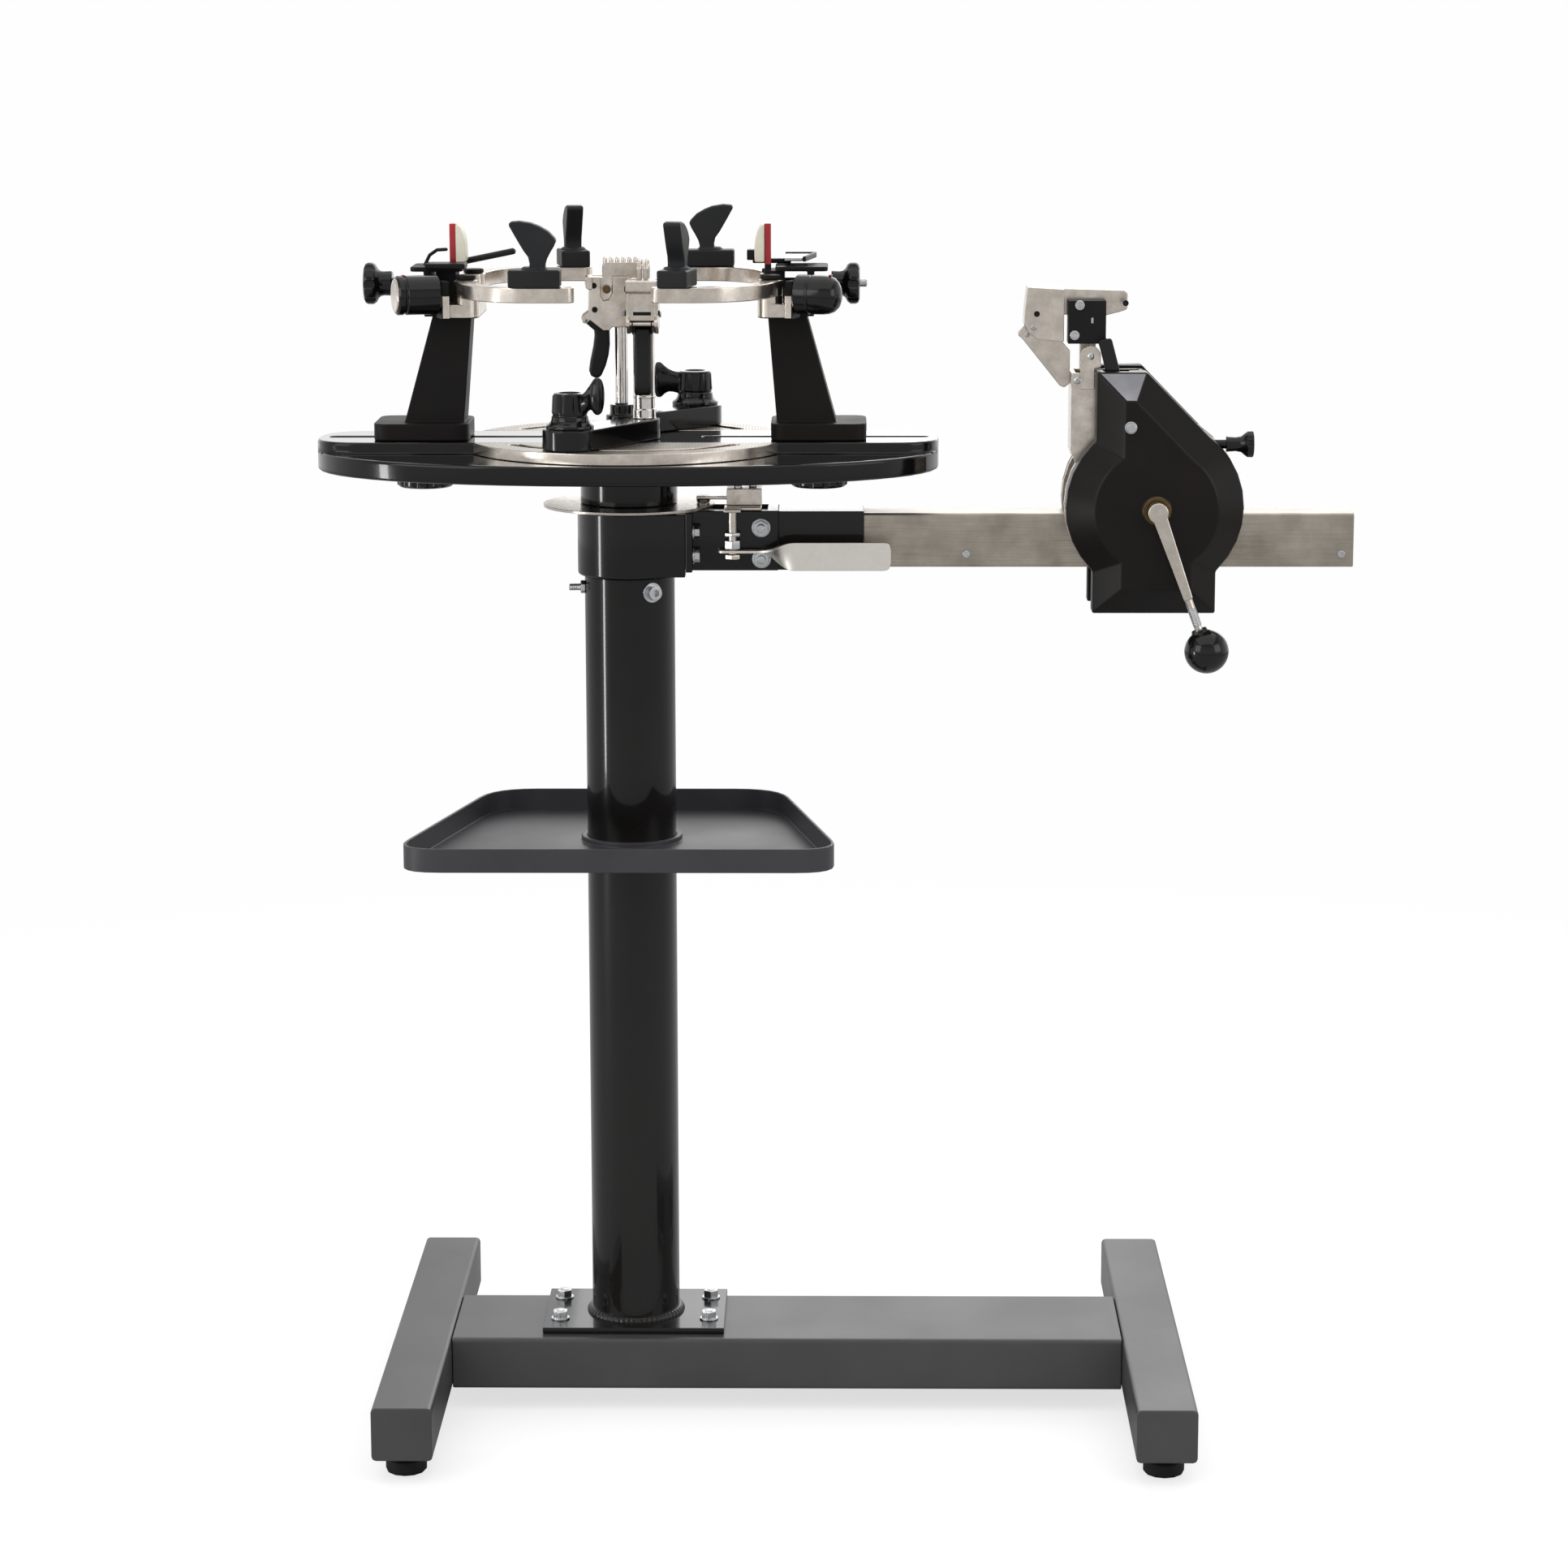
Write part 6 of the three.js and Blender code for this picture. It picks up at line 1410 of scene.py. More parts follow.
@dataclass
class FrameTowers:
    """The two towers that hold the racket: arms, shoulder pads, head pads and their knobs."""

    finishes: Finishes
    sides: tuple = (TowerSide("left", -180.5, 1, -233.0), TowerSide("right", 168.6, -1, 204.6))
    knob_reach: float = 1.0
    knob_front: float = -56.0
    knob_height: float = 1010.0
    knob_splay: float = 18.0
    knob_length: float = 38.0
    pad_turns: tuple = (("left_front", 0.0), ("left_rear", 100.0), ("right_front", 80.0), ("right_rear", 180.0))
    bright_bottom: float = 990.0
    bright_top: float = 1009.0
    pad_height: float = 1022.3
    pad_block: Point = (44.0, 26.0, 15.0)
    fin_depth: float = 15.0
    fin_outline: tuple = (
        (-4.6, -2.0), (-3.6, 5.0), (-4.8, 10.6), (-8.9, 16.2), (-13.1, 23.3), (-17.3, 30.7), (-20.6, 36.6),
        (-21.0, 39.0), (-19.0, 40.2), (-12.0, 40.8), (-2.5, 39.3), (4.9, 36.4), (12.3, 32.1), (17.4, 26.8),
        (18.8, 24.2), (16.5, 19.0), (13.3, 13.7), (10.6, 8.5), (9.4, 4.2), (9.6, -2.0),
    )
    pad_curve: tuple = (
        (0.0, 1035.0), (7.6, 1035.0), (8.3, 1036.4), (8.5, 1040.0), (8.5, 1045.0), (8.3, 1049.6), (7.9, 1053.6),
        (7.3, 1057.2), (6.5, 1060.4), (5.5, 1063.2), (4.3, 1065.6), (3.0, 1067.4), (2.2, 1068.0), (0.0, 1068.0),
    )
    pad_width: float = 26.0
    red_height: float = 1033.0
    grip_bottom: float = 837.0
    bright_reach: float = 26.0

    def towers(self, side: TowerSide) -> None:
        """Rounds one tower and its two arms.

        Args:
            side: Which tower.
        """
        tower = remade(side.name + "_tower", 1.0, rounds=3)
        for height in (self.bright_bottom, self.bright_top):
            cross_cut(tower, height)
        dress(tower, side.name + "_tower", self.finishes.tower_coat)
        root = spot(side.tower_x + side.inward * self.bright_reach, 0, 0).x
        low, high = self.bright_bottom * MM, self.bright_top * MM
        two_faced(tower, self.finishes.nickel, lambda polygon: low < polygon.center.z < high
                  and (polygon.center.x - root) * side.inward > 0)
        foot = spot(side.tower_x, 0.0, self.grip_bottom)
        disc = [(0, 0), (22.6, 0), (25.2, 2.2), (25.2, 7.0), (23.6, 9.0), (0, 9.0)]
        grip = smooth(turned(side.name + "_tower_grip", disc, foot, UP, steps=96))
        fluted(grip, 12, 27.4, foot - Vector((0, 0, 2 * MM)), UP, (4.0, 14.0, 24))
        dress(grip, side.name + "_tower", self.finishes.gloss_plastic)
        for end in ("front", "rear"):
            arm = f"{side.name}_{end}_side_arm"
            dress(remade(arm, 0.9, rounds=3), arm, self.finishes.nickel)

    def arm_knob(self, side: TowerSide) -> None:
        """Turns one arm knob: capped with bright metal on the left and domed on the right.

        Args:
            side: Which tower.
        """
        splay = math.radians(self.knob_splay)
        outward = Vector((-side.inward * math.cos(splay), -math.sin(splay), 0.0))
        middle = spot(side.tower_x + side.inward * self.knob_reach, self.knob_front, self.knob_height)
        foot = middle - outward * self.knob_length / 2 * MM
        name = side.name + "_arm_knob"
        stub = [(0.0, -7.0), (4.0, -7.0), (4.0, 0.0)]
        if side.inward > 0:
            profile = stub + [(15.2, 0), (17, 1.6), (17, 29), (16.0, 30), (16.0, 31.2), (17, 32.2), (17, 36.4),
                              (15.6, 38), (0, 38)]
            dish = [(0, 36), (14.8, 36), (14.8, 38.4), (13.8, 39.2), (12.0, 38.9), (0, 39.4)]
            cap = turned(name + "_cap", dish, foot, outward, steps=64)
            dress(smooth(cap), name, self.finishes.nickel)
        else:
            profile = stub + [(15.2, 0), (17, 1.6), (17, 12), (16.3, 12.8), (16.3, 14), (17, 14.8), (17, 25),
                              (16.4, 30), (14.6, 34.6), (11.2, 38), (6, 40), (0, 40.6)]
        knob = smooth(turned(name + "_barrel", profile, foot, outward, steps=72))
        dress(knob, name, self.finishes.gloss_plastic)
        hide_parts(name)
        mark = block(name + "_mark", (3.0, 3.2, 1.6), foot + outward * 31 * MM + Vector((0, 0, 16.9 * MM)),
                     (0, 0, math.atan2(outward.y, outward.x)))
        dress(soften(mark, 0.5), name, self.finishes.red)

    def pad_knob(self, side: TowerSide) -> None:
        """Turns one lobed knob that drives a head pad.

        Args:
            side: Which tower.
        """
        name = side.name + "_pad_knob"
        low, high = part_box(name)
        length = (high.x - low.x) / MM
        foot, way = spot(side.knob_x, 16.0, 1015.0), Vector((side.inward, 0, 0))
        profile = [(0, 0.8), (9, 0.8), (10, 0), (14.6, 0), (17.2, 1.2), (18.3, 3.4), (18.3, 8.0), (16.6, 10.6),
                   (13.0, 12.6), (11.2, 14.6), (10.6, 18.0), (10.9, 24.2), (10.2, 25.0), (5.0, 25.0),
                   (5.0, length - 0.6), (4.4, length), (0, length)]
        knob = smooth(turned(name + "_lobed", profile, foot, way, steps=84))
        fluted(knob, 7, 22.2, foot - way * 1.5 * MM, way, (6.0, 15, 28))
        dress(knob, name, self.finishes.gloss_plastic)
        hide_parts(name)
        if side.inward < 0:
            end = [(0, -1), (3.4, -1), (3.4, 5.6), (2.6, 6.4), (0, 6.4)]
            stud = turned(name + "_stud", end, foot, -way, steps=24)
            dress(smooth(stud), name, self.finishes.zinc)

    def head_pad(self, side: TowerSide) -> None:
        """Paints one pad carriage red above the tower and black below, and rounds its nylon pad.

        Args:
            side: Which tower.
        """
        carriage = cross_cut(remade(side.name + "_pad_carriage", 0.7), self.red_height)
        dress(carriage, side.name + "_pad_slide", self.finishes.red)
        two_faced(carriage, self.finishes.hard_black, lambda polygon: polygon.center.z < self.red_height * MM)
        name = side.name + "_head_pad"
        low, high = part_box(name)
        back = low.x if side.inward > 0 else high.x
        outline = [(reach * side.inward, rise) for reach, rise in self.pad_curve]
        pad = plate(name + "_nylon", outline[::side.inward], self.pad_width,
                    Vector((back, (low.y + high.y) / 2 + self.pad_width / 2 * MM, 0.0)), RIGHT, UP)
        smooth(soften(pad, 1.2, rounds=4, angle=40), 40)
        dress(pad, side.name + "_pad_slide", self.finishes.cream)
        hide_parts(name)

    def head_fittings(self) -> None:
        """Adds the small plates, catch and bent wire that stand beside the left and the right head pad."""
        wire_points = ((-176.0, -20.0, 1033.0), (-171.4, -20.0, 1042.1), (-164.9, -20.0, 1046.6),
                       (-156.8, -20.0, 1047.1))
        links = []
        for start, end in zip(wire_points, wire_points[1:]):
            first, last = spot(*start), spot(*end)
            links.append(barrel("link", 1.5, (last - first).length / MM, first, last - first, sides=20))
            links.append(turned("knuckle", [(0, -1.5), (1.06, -1.06), (1.5, 0), (1.06, 1.06), (0, 1.5)], last,
                                last - first, steps=20))
        black = self.finishes.hard_black
        dress(smooth(joined("left_bent_wire", *links), 60), "left_tower", black)
        for name, body, size, centre in (
            ("left_head_plate", "left_tower", (35.0, 28.0, 4.6), (-156.5, -26.4, 1033.6)),
            ("right_head_stop", "right_tower", (8.0, 16.0, 9.0), (109.0, 26.0, 1039.4)),
            ("right_head_stop_arm", "right_tower", (34.0, 9.0, 4.0), (127.0, 26.0, 1034.0)),
        ):
            dress(soften(block(name, size, spot(*centre)), 1.0), body, black)
        flag = plate("right_head_plate", ((0, -22), (15.6, -22), (24.4, 34), (24.4, 38), (0, 38)), 3.0,
                     spot(138.8, 0.0, 1036.6), RIGHT, REAR)
        dress(soften(flag, 0.9), "right_pad_slide", self.finishes.zinc)
        rim = plate("right_head_plate_rim", ((15.6, -22), (18.6, -22), (27.6, 34), (27.6, 41), (0, 41), (0, 38),
                                             (24.4, 38), (24.4, 34)), 4.6, spot(138.8, 0.0, 1036.2), RIGHT,
                    REAR)
        dress(soften(rim, 0.6), "right_pad_slide", black)
        start, end = spot(-146.0, 27.0, 1033.6), spot(-99.7, 27.0, 1043.0)
        catch = block("left_head_catch", ((end - start).length / MM, 9.0, 5.6), (start + end) / 2,
                      (0, -math.atan2(end.z - start.z, end.x - start.x), 0))
        dress(soften(catch, 2.2, rounds=4), "left_tower", self.finishes.gloss_plastic)

    def shoulder_pad(self, seat: str, degrees: float) -> None:
        """Moulds one shoulder pad: a block with a fan shaped fin on a short neck.

        Args:
            seat: Which arm it stands on, such as left_front.
            degrees: How it is turned on the arm.
        """
        node = seat + "_shoulder_pad"
        turn = math.radians(degrees)
        pose = next(j for j in frame["joints"] if j["child"] == node)["pos_m"]
        foot = Vector((pose[0], pose[1], self.pad_height * MM))
        across = Vector((math.cos(turn), math.sin(turn), 0.0))
        length, depth, height = self.pad_block
        base = block(node + "_block", (length, depth, height), foot + Vector((0, 0, height / 2 * MM)),
                     (0, 0, turn))
        soften(base, 1.6, rounds=3)
        fin_origin = foot + Vector((0, 0, height * MM)) + Vector(UP).cross(across) * self.fin_depth / 2 * MM
        fin = plate(node + "_fin", self.fin_outline, self.fin_depth, fin_origin, across, UP)
        soften(fin, 1.6, rounds=3, angle=40)
        smooth(fin, 45)
        collar = turned(node + "_collar", [(0, 0), (11.5, 0), (11.5, 0.8), (9.6, 2.4), (0, 2.6)],
                        foot + Vector((0, 0, (height - 0.2) * MM)), UP, steps=40)
        pin = barrel(node + "_pin", 3.5, 13.0, foot + Vector((0, 0, -12.8 * MM)), UP, sides=24)
        pad = joined(node + "_moulding", base, fin, smooth(collar), smooth(pin))
        dress(pad, node, self.finishes.fin_rubber)
        two_faced(pad, self.finishes.block_rubber,
                  lambda polygon: polygon.center.z < (self.pad_height + height + 0.4) * MM)
        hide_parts(node)

    def build(self) -> None:
        """Builds and dresses both towers."""
        for side in self.sides:
            self.towers(side)
            self.arm_knob(side)
            self.pad_knob(side)
            self.head_pad(side)
        self.head_fittings()
        for seat, degrees in self.pad_turns:
            self.shoulder_pad(seat, degrees)


@dataclass(frozen=True)
class ClampEnd:
    """What differs between the two string clamps.

    Fields:
        name: Which end of the turntable it works at.
        lock: The lock lever's place, in millimetres.
        wing_turn: Which way the lock's wing points, in degrees.
        wing_reach: How far the wing reaches from the lock's axis, in millimetres.
        wing_rise: How much the wing rises towards its paddle, in millimetres.
        post: The post's place, in millimetres.
        head_turn: How the head is turned, in degrees.
        grip_bottom: The handle's lower end, in millimetres.
        sleeve: Whether the post stands in a bright sleeve.
    """

    name: str
    lock: Flat
    wing_turn: float
    wing_reach: float
    wing_rise: float
    post: Flat
    head_turn: float
    grip_bottom: float
    sleeve: bool

    @property
    def turn(self) -> Matrix:
        """The head's rotation about its post."""
        return Matrix.Rotation(math.radians(self.head_turn), 3, "Z")


@dataclass
class StringClamps:
    """The two string clamps: slotted bases, winged locks, posts, toothed heads and their handles."""

    finishes: Finishes
    ends: tuple = (
        ClampEnd("front", (-44.9, -105.9), -33.0, 33.5, 10.0, (15.1, -18.5), 0.0, 921.5, True),
        ClampEnd("rear", (55.75, 100.6), 178.0, 37.0, 3.0, (-6.55, 14.8), -85.0, 932.0, False),
    )
    lock_bottom: float = 899.7
    collar_top: float = 909.5
    wing_middle: float = 918.7
    wing_squash: float = 0.46
    wing_profile: tuple = (
        (0, 8), (10.6, 8), (10.4, 12), (9.6, 16), (9.5, 20), (10.4, 24), (12.6, 27.4), (15.0, 29.8), (16.0, 31.4),
        (16.0, 33.6), (15.0, 35.4), (12.0, 36.4), (0, 36.8),
    )
    cheek_outline: tuple = (
        (-28.0, 1021.6), (-28.4, 991.0), (-33.2, 987.6), (-34.6, 985.4), (-34.6, 982.6), (-33.0, 980.9),
        (-30.6, 980.8), (-27.6, 983.6), (-16.4, 974.6), (-10.4, 974.6), (-8.4, 977.4), (8.0, 977.4), (8.0, 1021.6),
    )
    head_half: float = 14.0
    cheek_thickness: float = 3.6
    face_slope: tuple = (
        (-28.0, 1010.0), (-28.0, 987.0), (-15.8, 975.4), (-14.2, 977.0), (-26.0, 988.2), (-26.0, 1010.0),
    )
    window: tuple = (
        (-18.5, 1030.0), (-7.5, 1030.0), (-7.5, 1007.0), (-10.5, 1001.0), (-15.5, 1000.0), (-18.5, 1005.0),
    )
    jaw_half: float = 16.0
    hinge: Flat = (-31.0, 984.0)
    post_reach: float = 12.0
    grip_front: tuple = ((-24.2, 979.6), (-23.4, 969.5), (-24.6, 960.5), (-27.4, 948.0), (-28.6, 940.0))
    grip_back: tuple = ((-17.6, 936.5), (-13.8, 944.5), (-11.2, 953.5), (-10.0, 962.5), (-10.2, 974.0))

    def base(self, end: ClampEnd) -> None:
        """Rounds one base, with its post left bright above the collar.

        Args:
            end: Which clamp.
        """
        body = end.name + "_clamp_base"
        piece = dress(remade(body, 1.4, rounds=3), body, self.finishes.lacquer)
        post = spot(*end.post, 0.0)
        if end.sleeve:
            sleeve = [(0, 0), (9.4, 0), (9.4, 17.4), (9.9, 17.8), (9.9, 19.0), (9.4, 19.4), (9.4, 74.6),
                      (8.8, 75.2), (0, 75.2)]
            tube = turned(body + "_post_sleeve", sleeve, spot(*end.post, 899.8), UP, steps=48)
            dress(smooth(tube), body, self.finishes.chrome)
        bright = self.lock_bottom + 0.3 if end.sleeve else self.collar_top
        two_faced(piece, self.finishes.chrome, lambda polygon: polygon.center.z > bright * MM
                  and (polygon.center - post).xy.length < self.post_reach * MM)

    def lock(self, end: ClampEnd) -> None:
        """Moulds one lock: a fluted hub on a flange, with a wing to turn it by.

        Args:
            end: Which clamp.
        """
        body = end.name + "_base_lock"
        foot = spot(*end.lock, self.lock_bottom)
        profile = [(0, 0), (20.6, 0), (21, 0.8), (20.4, 2.6), (17.6, 4.6), (16.4, 6.4), (15.8, 8.4), (15.8, 10.2),
                   (14.9, 11.2), (14.9, 12.4), (15.6, 13.6), (14.8, 27.8), (13.4, 30.0), (9.4, 30.6), (8.6, 29.2),
                   (0, 29.2)]
        hub = smooth(turned(body + "_hub", profile, foot, UP, steps=72))
        fluted(hub, 8, 17.4, foot + Vector((0, 0, 13.8 * MM)), UP, (3.4, 20, 20))
        wing = turned("wing", self.wing_profile, (0, 0, 0), RIGHT, steps=56)
        turn = Matrix.Rotation(math.radians(end.wing_turn), 3, "Z")
        middle = spot(*end.lock, self.wing_middle)
        for vertex in wing.data.vertices:
            along, aside, up = vertex.co / MM
            share = min(1.0, max(0.0, (along - 12.0) / 16.0))
            rise = end.wing_rise * share * share * (3 - 2 * share)
            stretched = along * end.wing_reach / self.wing_profile[-1][1]
            flat = Vector((stretched, aside * self.wing_squash, up + rise))
            vertex.co = middle + turn @ (flat * MM)
        whole = joined(body + "_lever", hub, smooth(wing, 40))
        dress(whole, body, self.finishes.gloss_plastic)
        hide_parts(body)

    def slice(
        self, end: ClampEnd, name: str, outline: Sequence[Flat], low: float, high: float,
    ) -> bpy.types.Object:
        """Cuts one plate of a head or handle, drawn from the side.

        Args:
            end: Which clamp.
            name: What the piece is called.
            outline: Its outline seen from the side: how far behind the post's axis, and how high.
            low: Where it starts across the head, in millimetres.
            high: Where it ends across the head, in millimetres.

        Returns:
            The new object.
        """
        across, side = end.turn @ Vector(REAR), end.turn @ Vector(RIGHT)
        return plate(name, outline, high - low, spot(*end.post, 0) + side * low * MM, across, UP)

    def rod(
        self, end: ClampEnd, name: str, radius: float, place: Flat, low: float, high: float,
    ) -> bpy.types.Object:
        """Turns one round pin across a head.

        Args:
            end: Which clamp.
            name: What the piece is called.
            radius: Its radius, in millimetres.
            place: Its axis seen from the side.
            low: Where it starts across the head, in millimetres.
            high: Where it ends across the head, in millimetres.

        Returns:
            The new object.
        """
        start = spot(*end.post, place[1]) + end.turn @ (Vector((low, place[0], 0)) * MM)
        return barrel(name, radius, high - low, start, end.turn @ Vector(RIGHT), sides=28)

    def jaws(self, end: ClampEnd) -> bpy.types.Object:
        """Makes both jaws, each a plate with a row of round gripping pins.

        Args:
            end: Which clamp.

        Returns:
            Both jaws in one object.
        """
        pieces = []
        half = self.jaw_half
        outline = ((-half, 1020.0), (half, 1020.0), (half, 1031.0), (half - 2.4, 1033.8), (-half + 2.4, 1033.8),
                   (-half, 1031.0))
        for way in (-1, 1):
            low, high = sorted((way * 0.7, way * 5.2))
            pieces.append(soften(self.slice(end, "jaw", outline, low, high), 0.8))
            for index in range(6):
                place = Vector((way * 2.9, -13.5 + 5.4 * index, 1029.0)) * MM
                pin = turned("pin", [(0, 0), (1.9, 0), (1.9, 6.6), (1.5, 8.2), (0.8, 8.9), (0, 9.0)],
                             spot(*end.post, 0) + end.turn @ place, UP, steps=20)
                pieces.append(smooth(pin, 50))
        return joined("jaws", *pieces)

    def head(self, end: ClampEnd) -> None:
        """Builds one clamp head: two cheeks round a block, a sloped face with its slot, a top bar and the jaws.

        Args:
            end: Which clamp.
        """
        body = end.name + "_clamp_head"
        half, inner = self.head_half, self.head_half - self.cheek_thickness
        near = soften(self.slice(end, "cheek", self.cheek_outline, inner, half), 0.8)
        far = soften(self.slice(end, "cheek", self.cheek_outline, -half, -inner), 0.8)
        carve(near, self.slice(end, "window", self.window, inner - 1, half + 1))
        smooth(near)
        face = self.slice(end, "face", self.face_slope, -inner, inner)
        slot_outline = ((-30.0, 991.4), (-24.0, 991.4), (-24.0, 994.4), (-30.0, 994.4))
        slot = self.slice(end, "slot", slot_outline, -7.8, 7.8)
        carve(face, slot)
        core_outline = ((-25.8, 990.0), (-6.0, 984.0), (7.4, 984.0), (7.4, 1020.8), (-25.8, 1020.8))
        core = self.slice(end, "core", core_outline, -inner, inner)
        carve(core, self.slice(end, "pocket", self.window, inner - 5, inner + 1))
        bar_outline = ((-31.4, 1012.6), (-29.6, 1010.6), (-25.0, 1010.6), (-25.0, 1021.8), (-30.0, 1021.8),
                       (-31.4, 1020.0))
        bar = soften(self.slice(end, "bar", bar_outline, -half - 0.4, half + 1.6), 1.0)
        pin = self.rod(end, "pin", 1.7, self.hinge, -half, half)
        whole = joined(body + "_casting", near, far, smooth(face), soften(core, 0.8), bar, smooth(pin),
                       self.jaws(end))
        dress(whole, body, self.finishes.nickel)
        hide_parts(body)
        # Painted shade: a thin black sheet behind the face's slot stands for the shadow inside it.
        slot_shade_sheet = self.slice(end, body + "_slot_shadow", ((-26.6, 991.0), (-25.9, 991.0), (-25.9, 994.8),
                                                         (-26.6, 994.8)), -8.4, 8.4)
        dress(slot_shade_sheet, body, self.finishes.hard_black)
        roller = self.rod(end, body + "_cam_roller", 3.6, (-12.6, 1010.5), inner - 4.6, half - 0.8)
        dress(smooth(roller), body, self.finishes.brass)
        for index, (side, v, z) in enumerate(((1, -24.0, 1014.0), (1, -23.4, 993.0), (-1, -24.0, 1014.0),
                                              (-1, -23.4, 993.0), (1, 2.0, 990.0), (-1, 2.0, 990.0))):
            foot = spot(*end.post, 0) + end.turn @ (Vector((side * half, v, z)) * MM)
            screw = Fastener(2.6, 1.4, Drive.SOCKET).make(f"{body}_screw_{index + 1}", foot,
                                                          end.turn @ Vector((side, 0, 0)))
            dress(screw, body, self.finishes.hard_black if index < 4 else self.finishes.zinc)

    def handle(self, end: ClampEnd) -> None:
        """Moulds one head's handle: a leaf shaped grip hung from the hinge by two thin straps.

        Args:
            end: Which clamp.
        """
        node = end.name + "_clamp_handle"
        foot = self.grip_front[-1][1] - 6.0
        drop = (end.grip_bottom - foot) / (foot - self.grip_front[0][1])
        tail = ((-27.0, foot + 2.0), (-23.2, foot), (-19.6, foot + 0.6))
        leaf = self.grip_front + tail + self.grip_back
        outline = [(v, z + (z - self.grip_front[0][1]) * drop) for v, z in leaf]
        grip = soften(self.slice(end, "grip", outline + [(-14.0, 976.0)], -7.4, 7.4), 2.6, rounds=4, angle=60)
        strap_outline = ((-33.2, 984.6), (-32.4, 981.8), (-23.8, 974.4), (-18.4, 974.4), (-18.6, 976.6),
                         (-29.0, 985.6), (-31.6, 986.2))
        straps = [soften(self.slice(end, "strap", strap_outline, low, low + 1.3), 0.4) for low in (-9.0, 7.7)]
        whole = joined(node + "_grip", smooth(grip, 50), *straps)
        dress(whole, node, self.finishes.handle_plastic)
        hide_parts(node)

    def build(self) -> None:
        """Builds and dresses both clamps."""
        for end in self.ends:
            self.base(end)
            self.lock(end)
            self.head(end)
            self.handle(end)


@dataclass
class RailAndBrake:
    """The bracket and tension rail on the mast head, and the turntable's brake with its paddle lever."""

    finishes: Finishes
    stud: Flat = (92.7, -34.5)
    flange_face: float = 57.7
    cheek_front: float = -25.9
    rail_front: float = -20.0
    rail_end: float = 640.8
    rail_bottom: float = 767.0
    rail_top: float = 815.0
    lever_start: float = 80.0
    lever_end: float = 232.0
    twist_start: float = 114.0
    twist_end: float = 148.0
    strip_half: float = 5.2
    paddle_half: float = 12.4
    lever_thickness: float = 2.4

    def pairs(self, fastener: Fastener, name: str, places: Sequence[Flat], front: float) -> None:
        """Fits fasteners at the same places on the front and on the rear.

        Args:
            fastener: What is fitted.
            name: The pieces' name, without side and number.
            places: How far along the rail and how high each one sits, in millimetres.
            front: The front face's depth, in millimetres.
        """
        for index, (x, z) in enumerate(places):
            for side, end in ((1, "front"), (-1, "rear")):
                foot = spot(x, front * side, z)
                fastener.fit(self.finishes, f"{name}_{end}_{index + 1}", foot, (0, -side, 0))

    def bracket(self) -> None:
        """Rounds the bracket and the rail, and bolts them on."""
        dress(remade("rail_bracket", 1.0), "stand", self.finishes.gloss_coat)
        dress(remade("tension_rail", 0.7), "stand", self.finishes.rail_steel)
        bolt = Fastener(6.2, 5.0, Drive.HEX, washer=7.6)
        for index, (y, z) in enumerate(((-33.5, 800.5), (-33.5, 779.5), (33.5, 800.5), (33.5, 779.5))):
            bolt.fit(self.finishes, f"bracket_bolt_{index + 1}", spot(self.flange_face, y, z), RIGHT)
        nut = Fastener(7.4, 4.6, Drive.HEX, washer=8.4, thread_radius=3.9, thread_length=5.0)
        self.pairs(nut, "cheek_nut", ((117.6, 803.0), (118.0, 775.5)), self.cheek_front)
        screw = Fastener(3.4, 2.0, Drive.SOCKET)
        self.pairs(screw, "rail_screw", ((299.0, 779.0), (630.0, 779.0)), self.rail_front)
        middle = spot(self.rail_end - 7.0, 0.0, (self.rail_bottom + self.rail_top) / 2)
        plug = soften(block("rail_end_plug", (12.0, 33.6, 41.6), middle), 1.2)
        with bench(plug):
            pick_faces(plug, lambda polygon: polygon.normal.x > 0.9)
            bpy.ops.mesh.inset(thickness=4 * MM, depth=-2.4 * MM)
        dress(smooth(plug), "stand", self.finishes.handle_plastic)

    def brake(self) -> None:
        """Rounds the brake caliper and puts the nuts on its stud."""
        dress(remade("brake_caliper", 0.7), "stand", self.finishes.nickel)
        for name, bottom, height in (("upper", 786.0, 7.0), ("middle", 797.0, 3.0)):
            nut = Fastener(7.8, height, Drive.HEX)
            nut.fit(self.finishes, f"brake_{name}_nut", spot(*self.stud, bottom), UP)
        for index, (x, y) in enumerate(((97.0, 8.0), (97.0, -8.0), (110.0, 0.0))):
            screw = Fastener(3.6, 2.6, Drive.SOCKET)
            screw.fit(self.finishes, f"caliper_screw_{index + 1}", spot(x, y, 836.0), UP)

    def lever_point(self, along: float, aside: float) -> Vector:
        """Gives a point of the lever's middle sheet, flat at the stud and twisted upright into a paddle.

        Args:
            along: From 0 at the stud's end to 1 at the paddle's end.
            aside: From -1 to 1 across the sheet.

        Returns:
            The point in the frame.
        """
        x = self.lever_start + (self.lever_end - self.lever_start) * along
        share = min(1.0, max(0.0, (x - self.twist_start) / (self.twist_end - self.twist_start)))
        share = share * share * (3 - 2 * share)
        half = self.strip_half + (self.paddle_half - self.strip_half) * share
        corner, start_round = 9.0, 7.0
        if x > self.lever_end - corner:
            half *= max(0.0, 1 - ((x - self.lever_end + corner) / corner) ** 3) ** (1 / 3) * 0.55 + 0.45
        if x < self.lever_start + start_round:
            half *= max(0.0, 1 - ((self.lever_start + start_round - x) / start_round) ** 2) ** 0.5 * 0.7 + 0.3
        twist = share * math.pi / 2
        y = -36.0 - 14.0 * share - half * aside * math.cos(twist)
        z = 783.4 - 2.9 * share + half * aside * math.sin(twist)
        return spot(x, y, z)

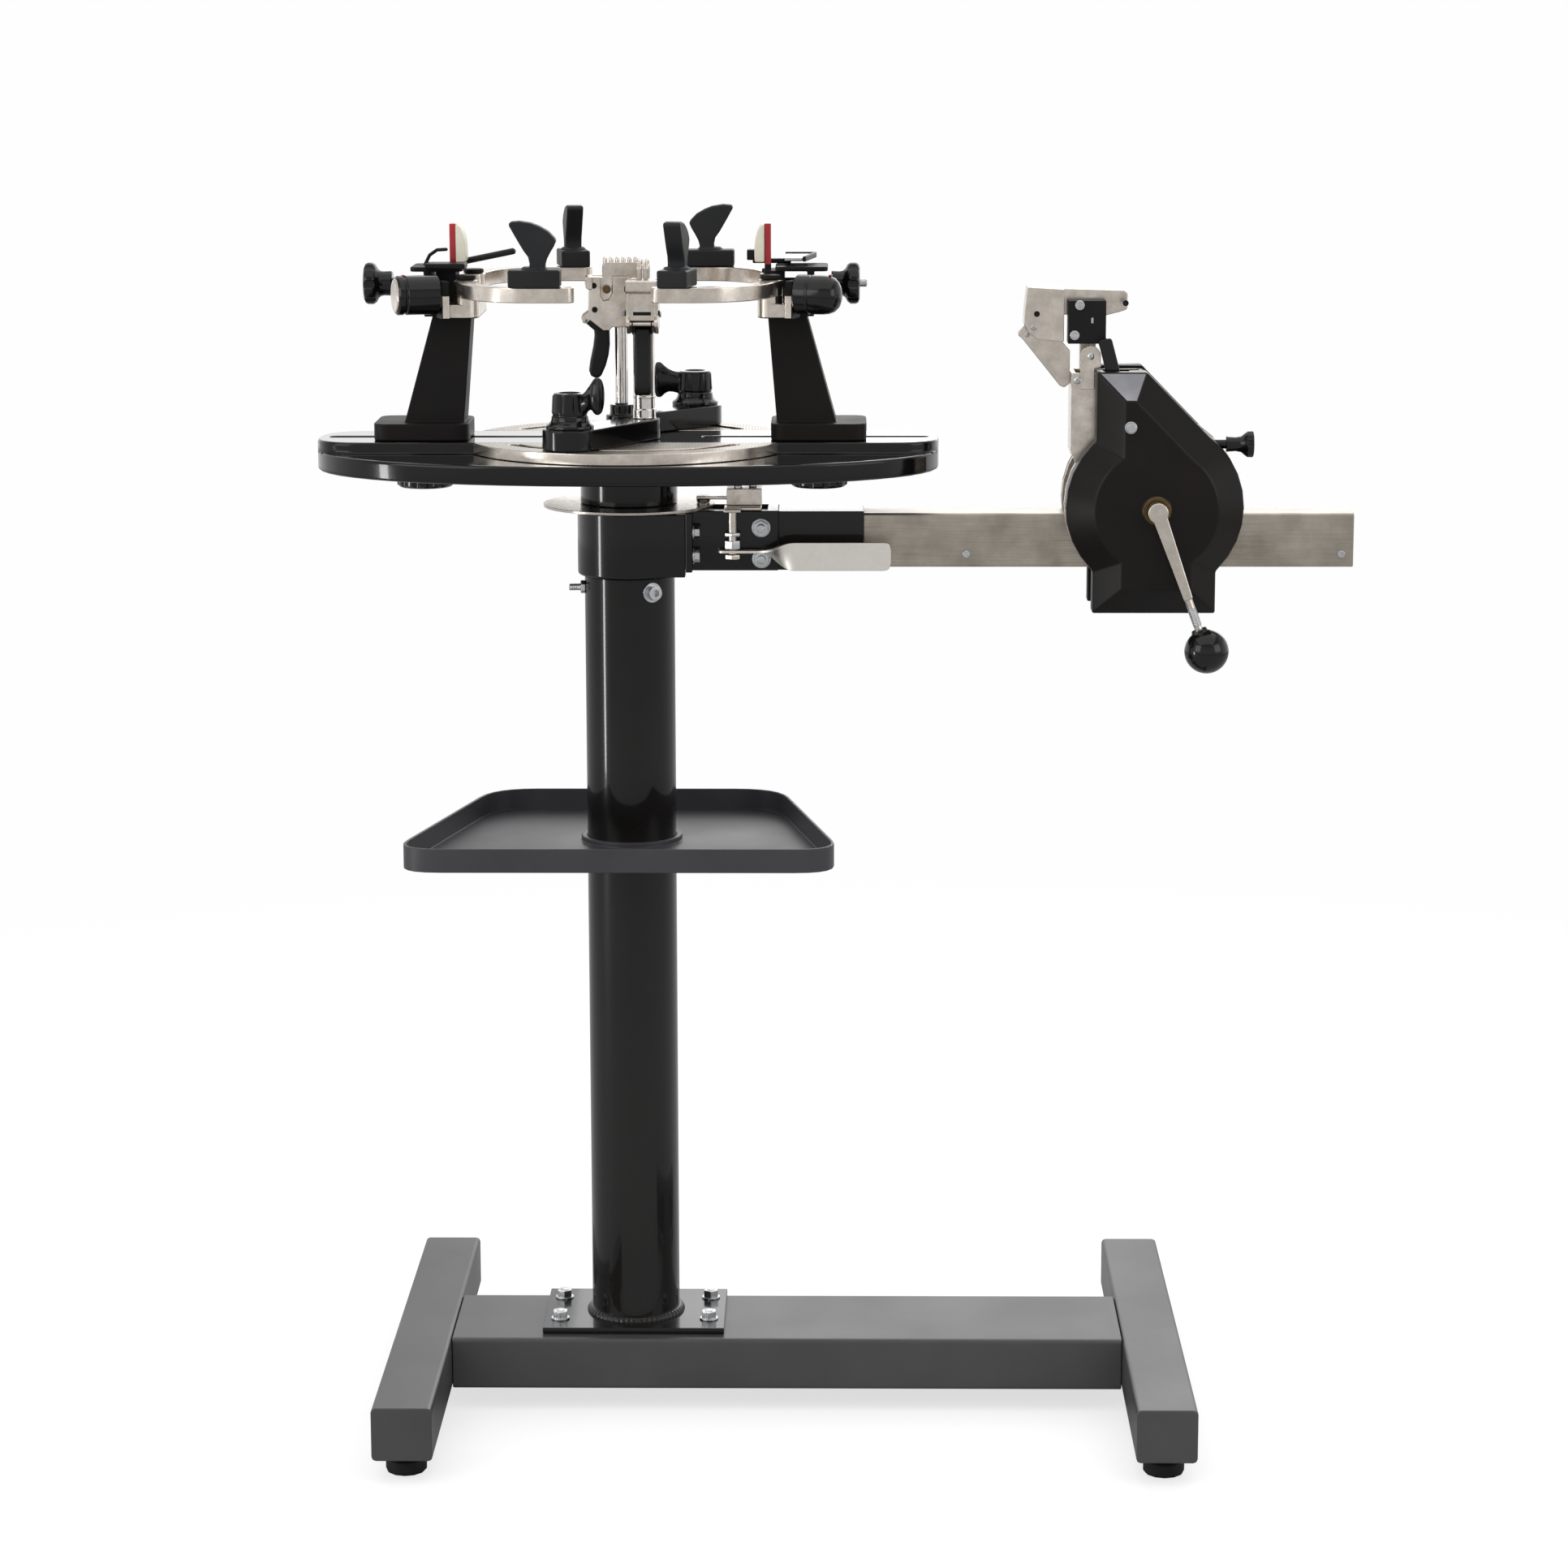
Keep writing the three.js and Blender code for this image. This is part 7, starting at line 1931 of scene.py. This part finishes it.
    def lever(self) -> None:
        """Bends the brake lever from a flat strip."""
        clear()
        bpy.ops.mesh.primitive_grid_add(x_subdivisions=96, y_subdivisions=8, size=2.0, location=(0, 0, 0))
        sheet = settle("brake_lever_paddle")
        for vertex in sheet.data.vertices:
            vertex.co = self.lever_point((vertex.co.x + 1) / 2, vertex.co.y)
        finish_with(sheet, "SOLIDIFY", thickness=self.lever_thickness * MM, offset=0.0)
        finish_with(sheet, "BEVEL", width=0.5 * MM, segments=2, limit_method="ANGLE",
                    angle_limit=math.radians(50))
        dress(smooth(sheet, 45), "brake_lever", self.finishes.paddle)
        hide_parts("turntable_brake_lever")

    def build(self) -> None:
        """Builds and dresses the bracket, the rail and the brake."""
        self.bracket()
        self.brake()
        self.lever()


def plain_finishes(finishes: Finishes) -> None:
    """Gives every CAD node the finish of its slot."""
    by_slot = {
        Slot.BLACK_GLOSS: finishes.gloss_coat,
        Slot.BASE_CHARCOAL: finishes.satin_coat,
        Slot.TRAY_GREY: finishes.tray_coat,
        Slot.TOWER_BLACK: finishes.tower_coat,
        Slot.NICKEL: finishes.nickel,
        Slot.STEEL: finishes.rail_steel,
        Slot.ZINC: finishes.zinc,
        Slot.SATIN_BLACK: finishes.hard_black,
        Slot.GLOSS_PLASTIC: finishes.gloss_plastic,
        Slot.COVER_PLASTIC: finishes.cover_plastic,
        Slot.BLACK_RUBBER: finishes.foot_rubber,
        Slot.GREY_RUBBER: finishes.fin_rubber,
        Slot.RED_PAINT: finishes.red,
        Slot.CREAM_PAD: finishes.cream,
        Slot.IVORY_LEVER: finishes.paddle,
    }
    for part in frame["record"]["subparts"]:
        repaint(by_slot[Slot(part["material_slot"])], part["node"])


def main() -> None:
    """Builds the machine piece by piece."""
    logging.basicConfig(level=logging.INFO, format="%(message)s")
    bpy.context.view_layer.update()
    finishes = Finishes()
    Stage().build()
    plain_finishes(finishes)
    Stand(finishes).build()
    Turntable(finishes).build()
    FrameTowers(finishes).build()
    StringClamps(finishes).build()
    RailAndBrake(finishes).build()
    TensionHead(finishes).build()
    bpy.context.view_layer.update()


if __name__ == "__main__":
    main()
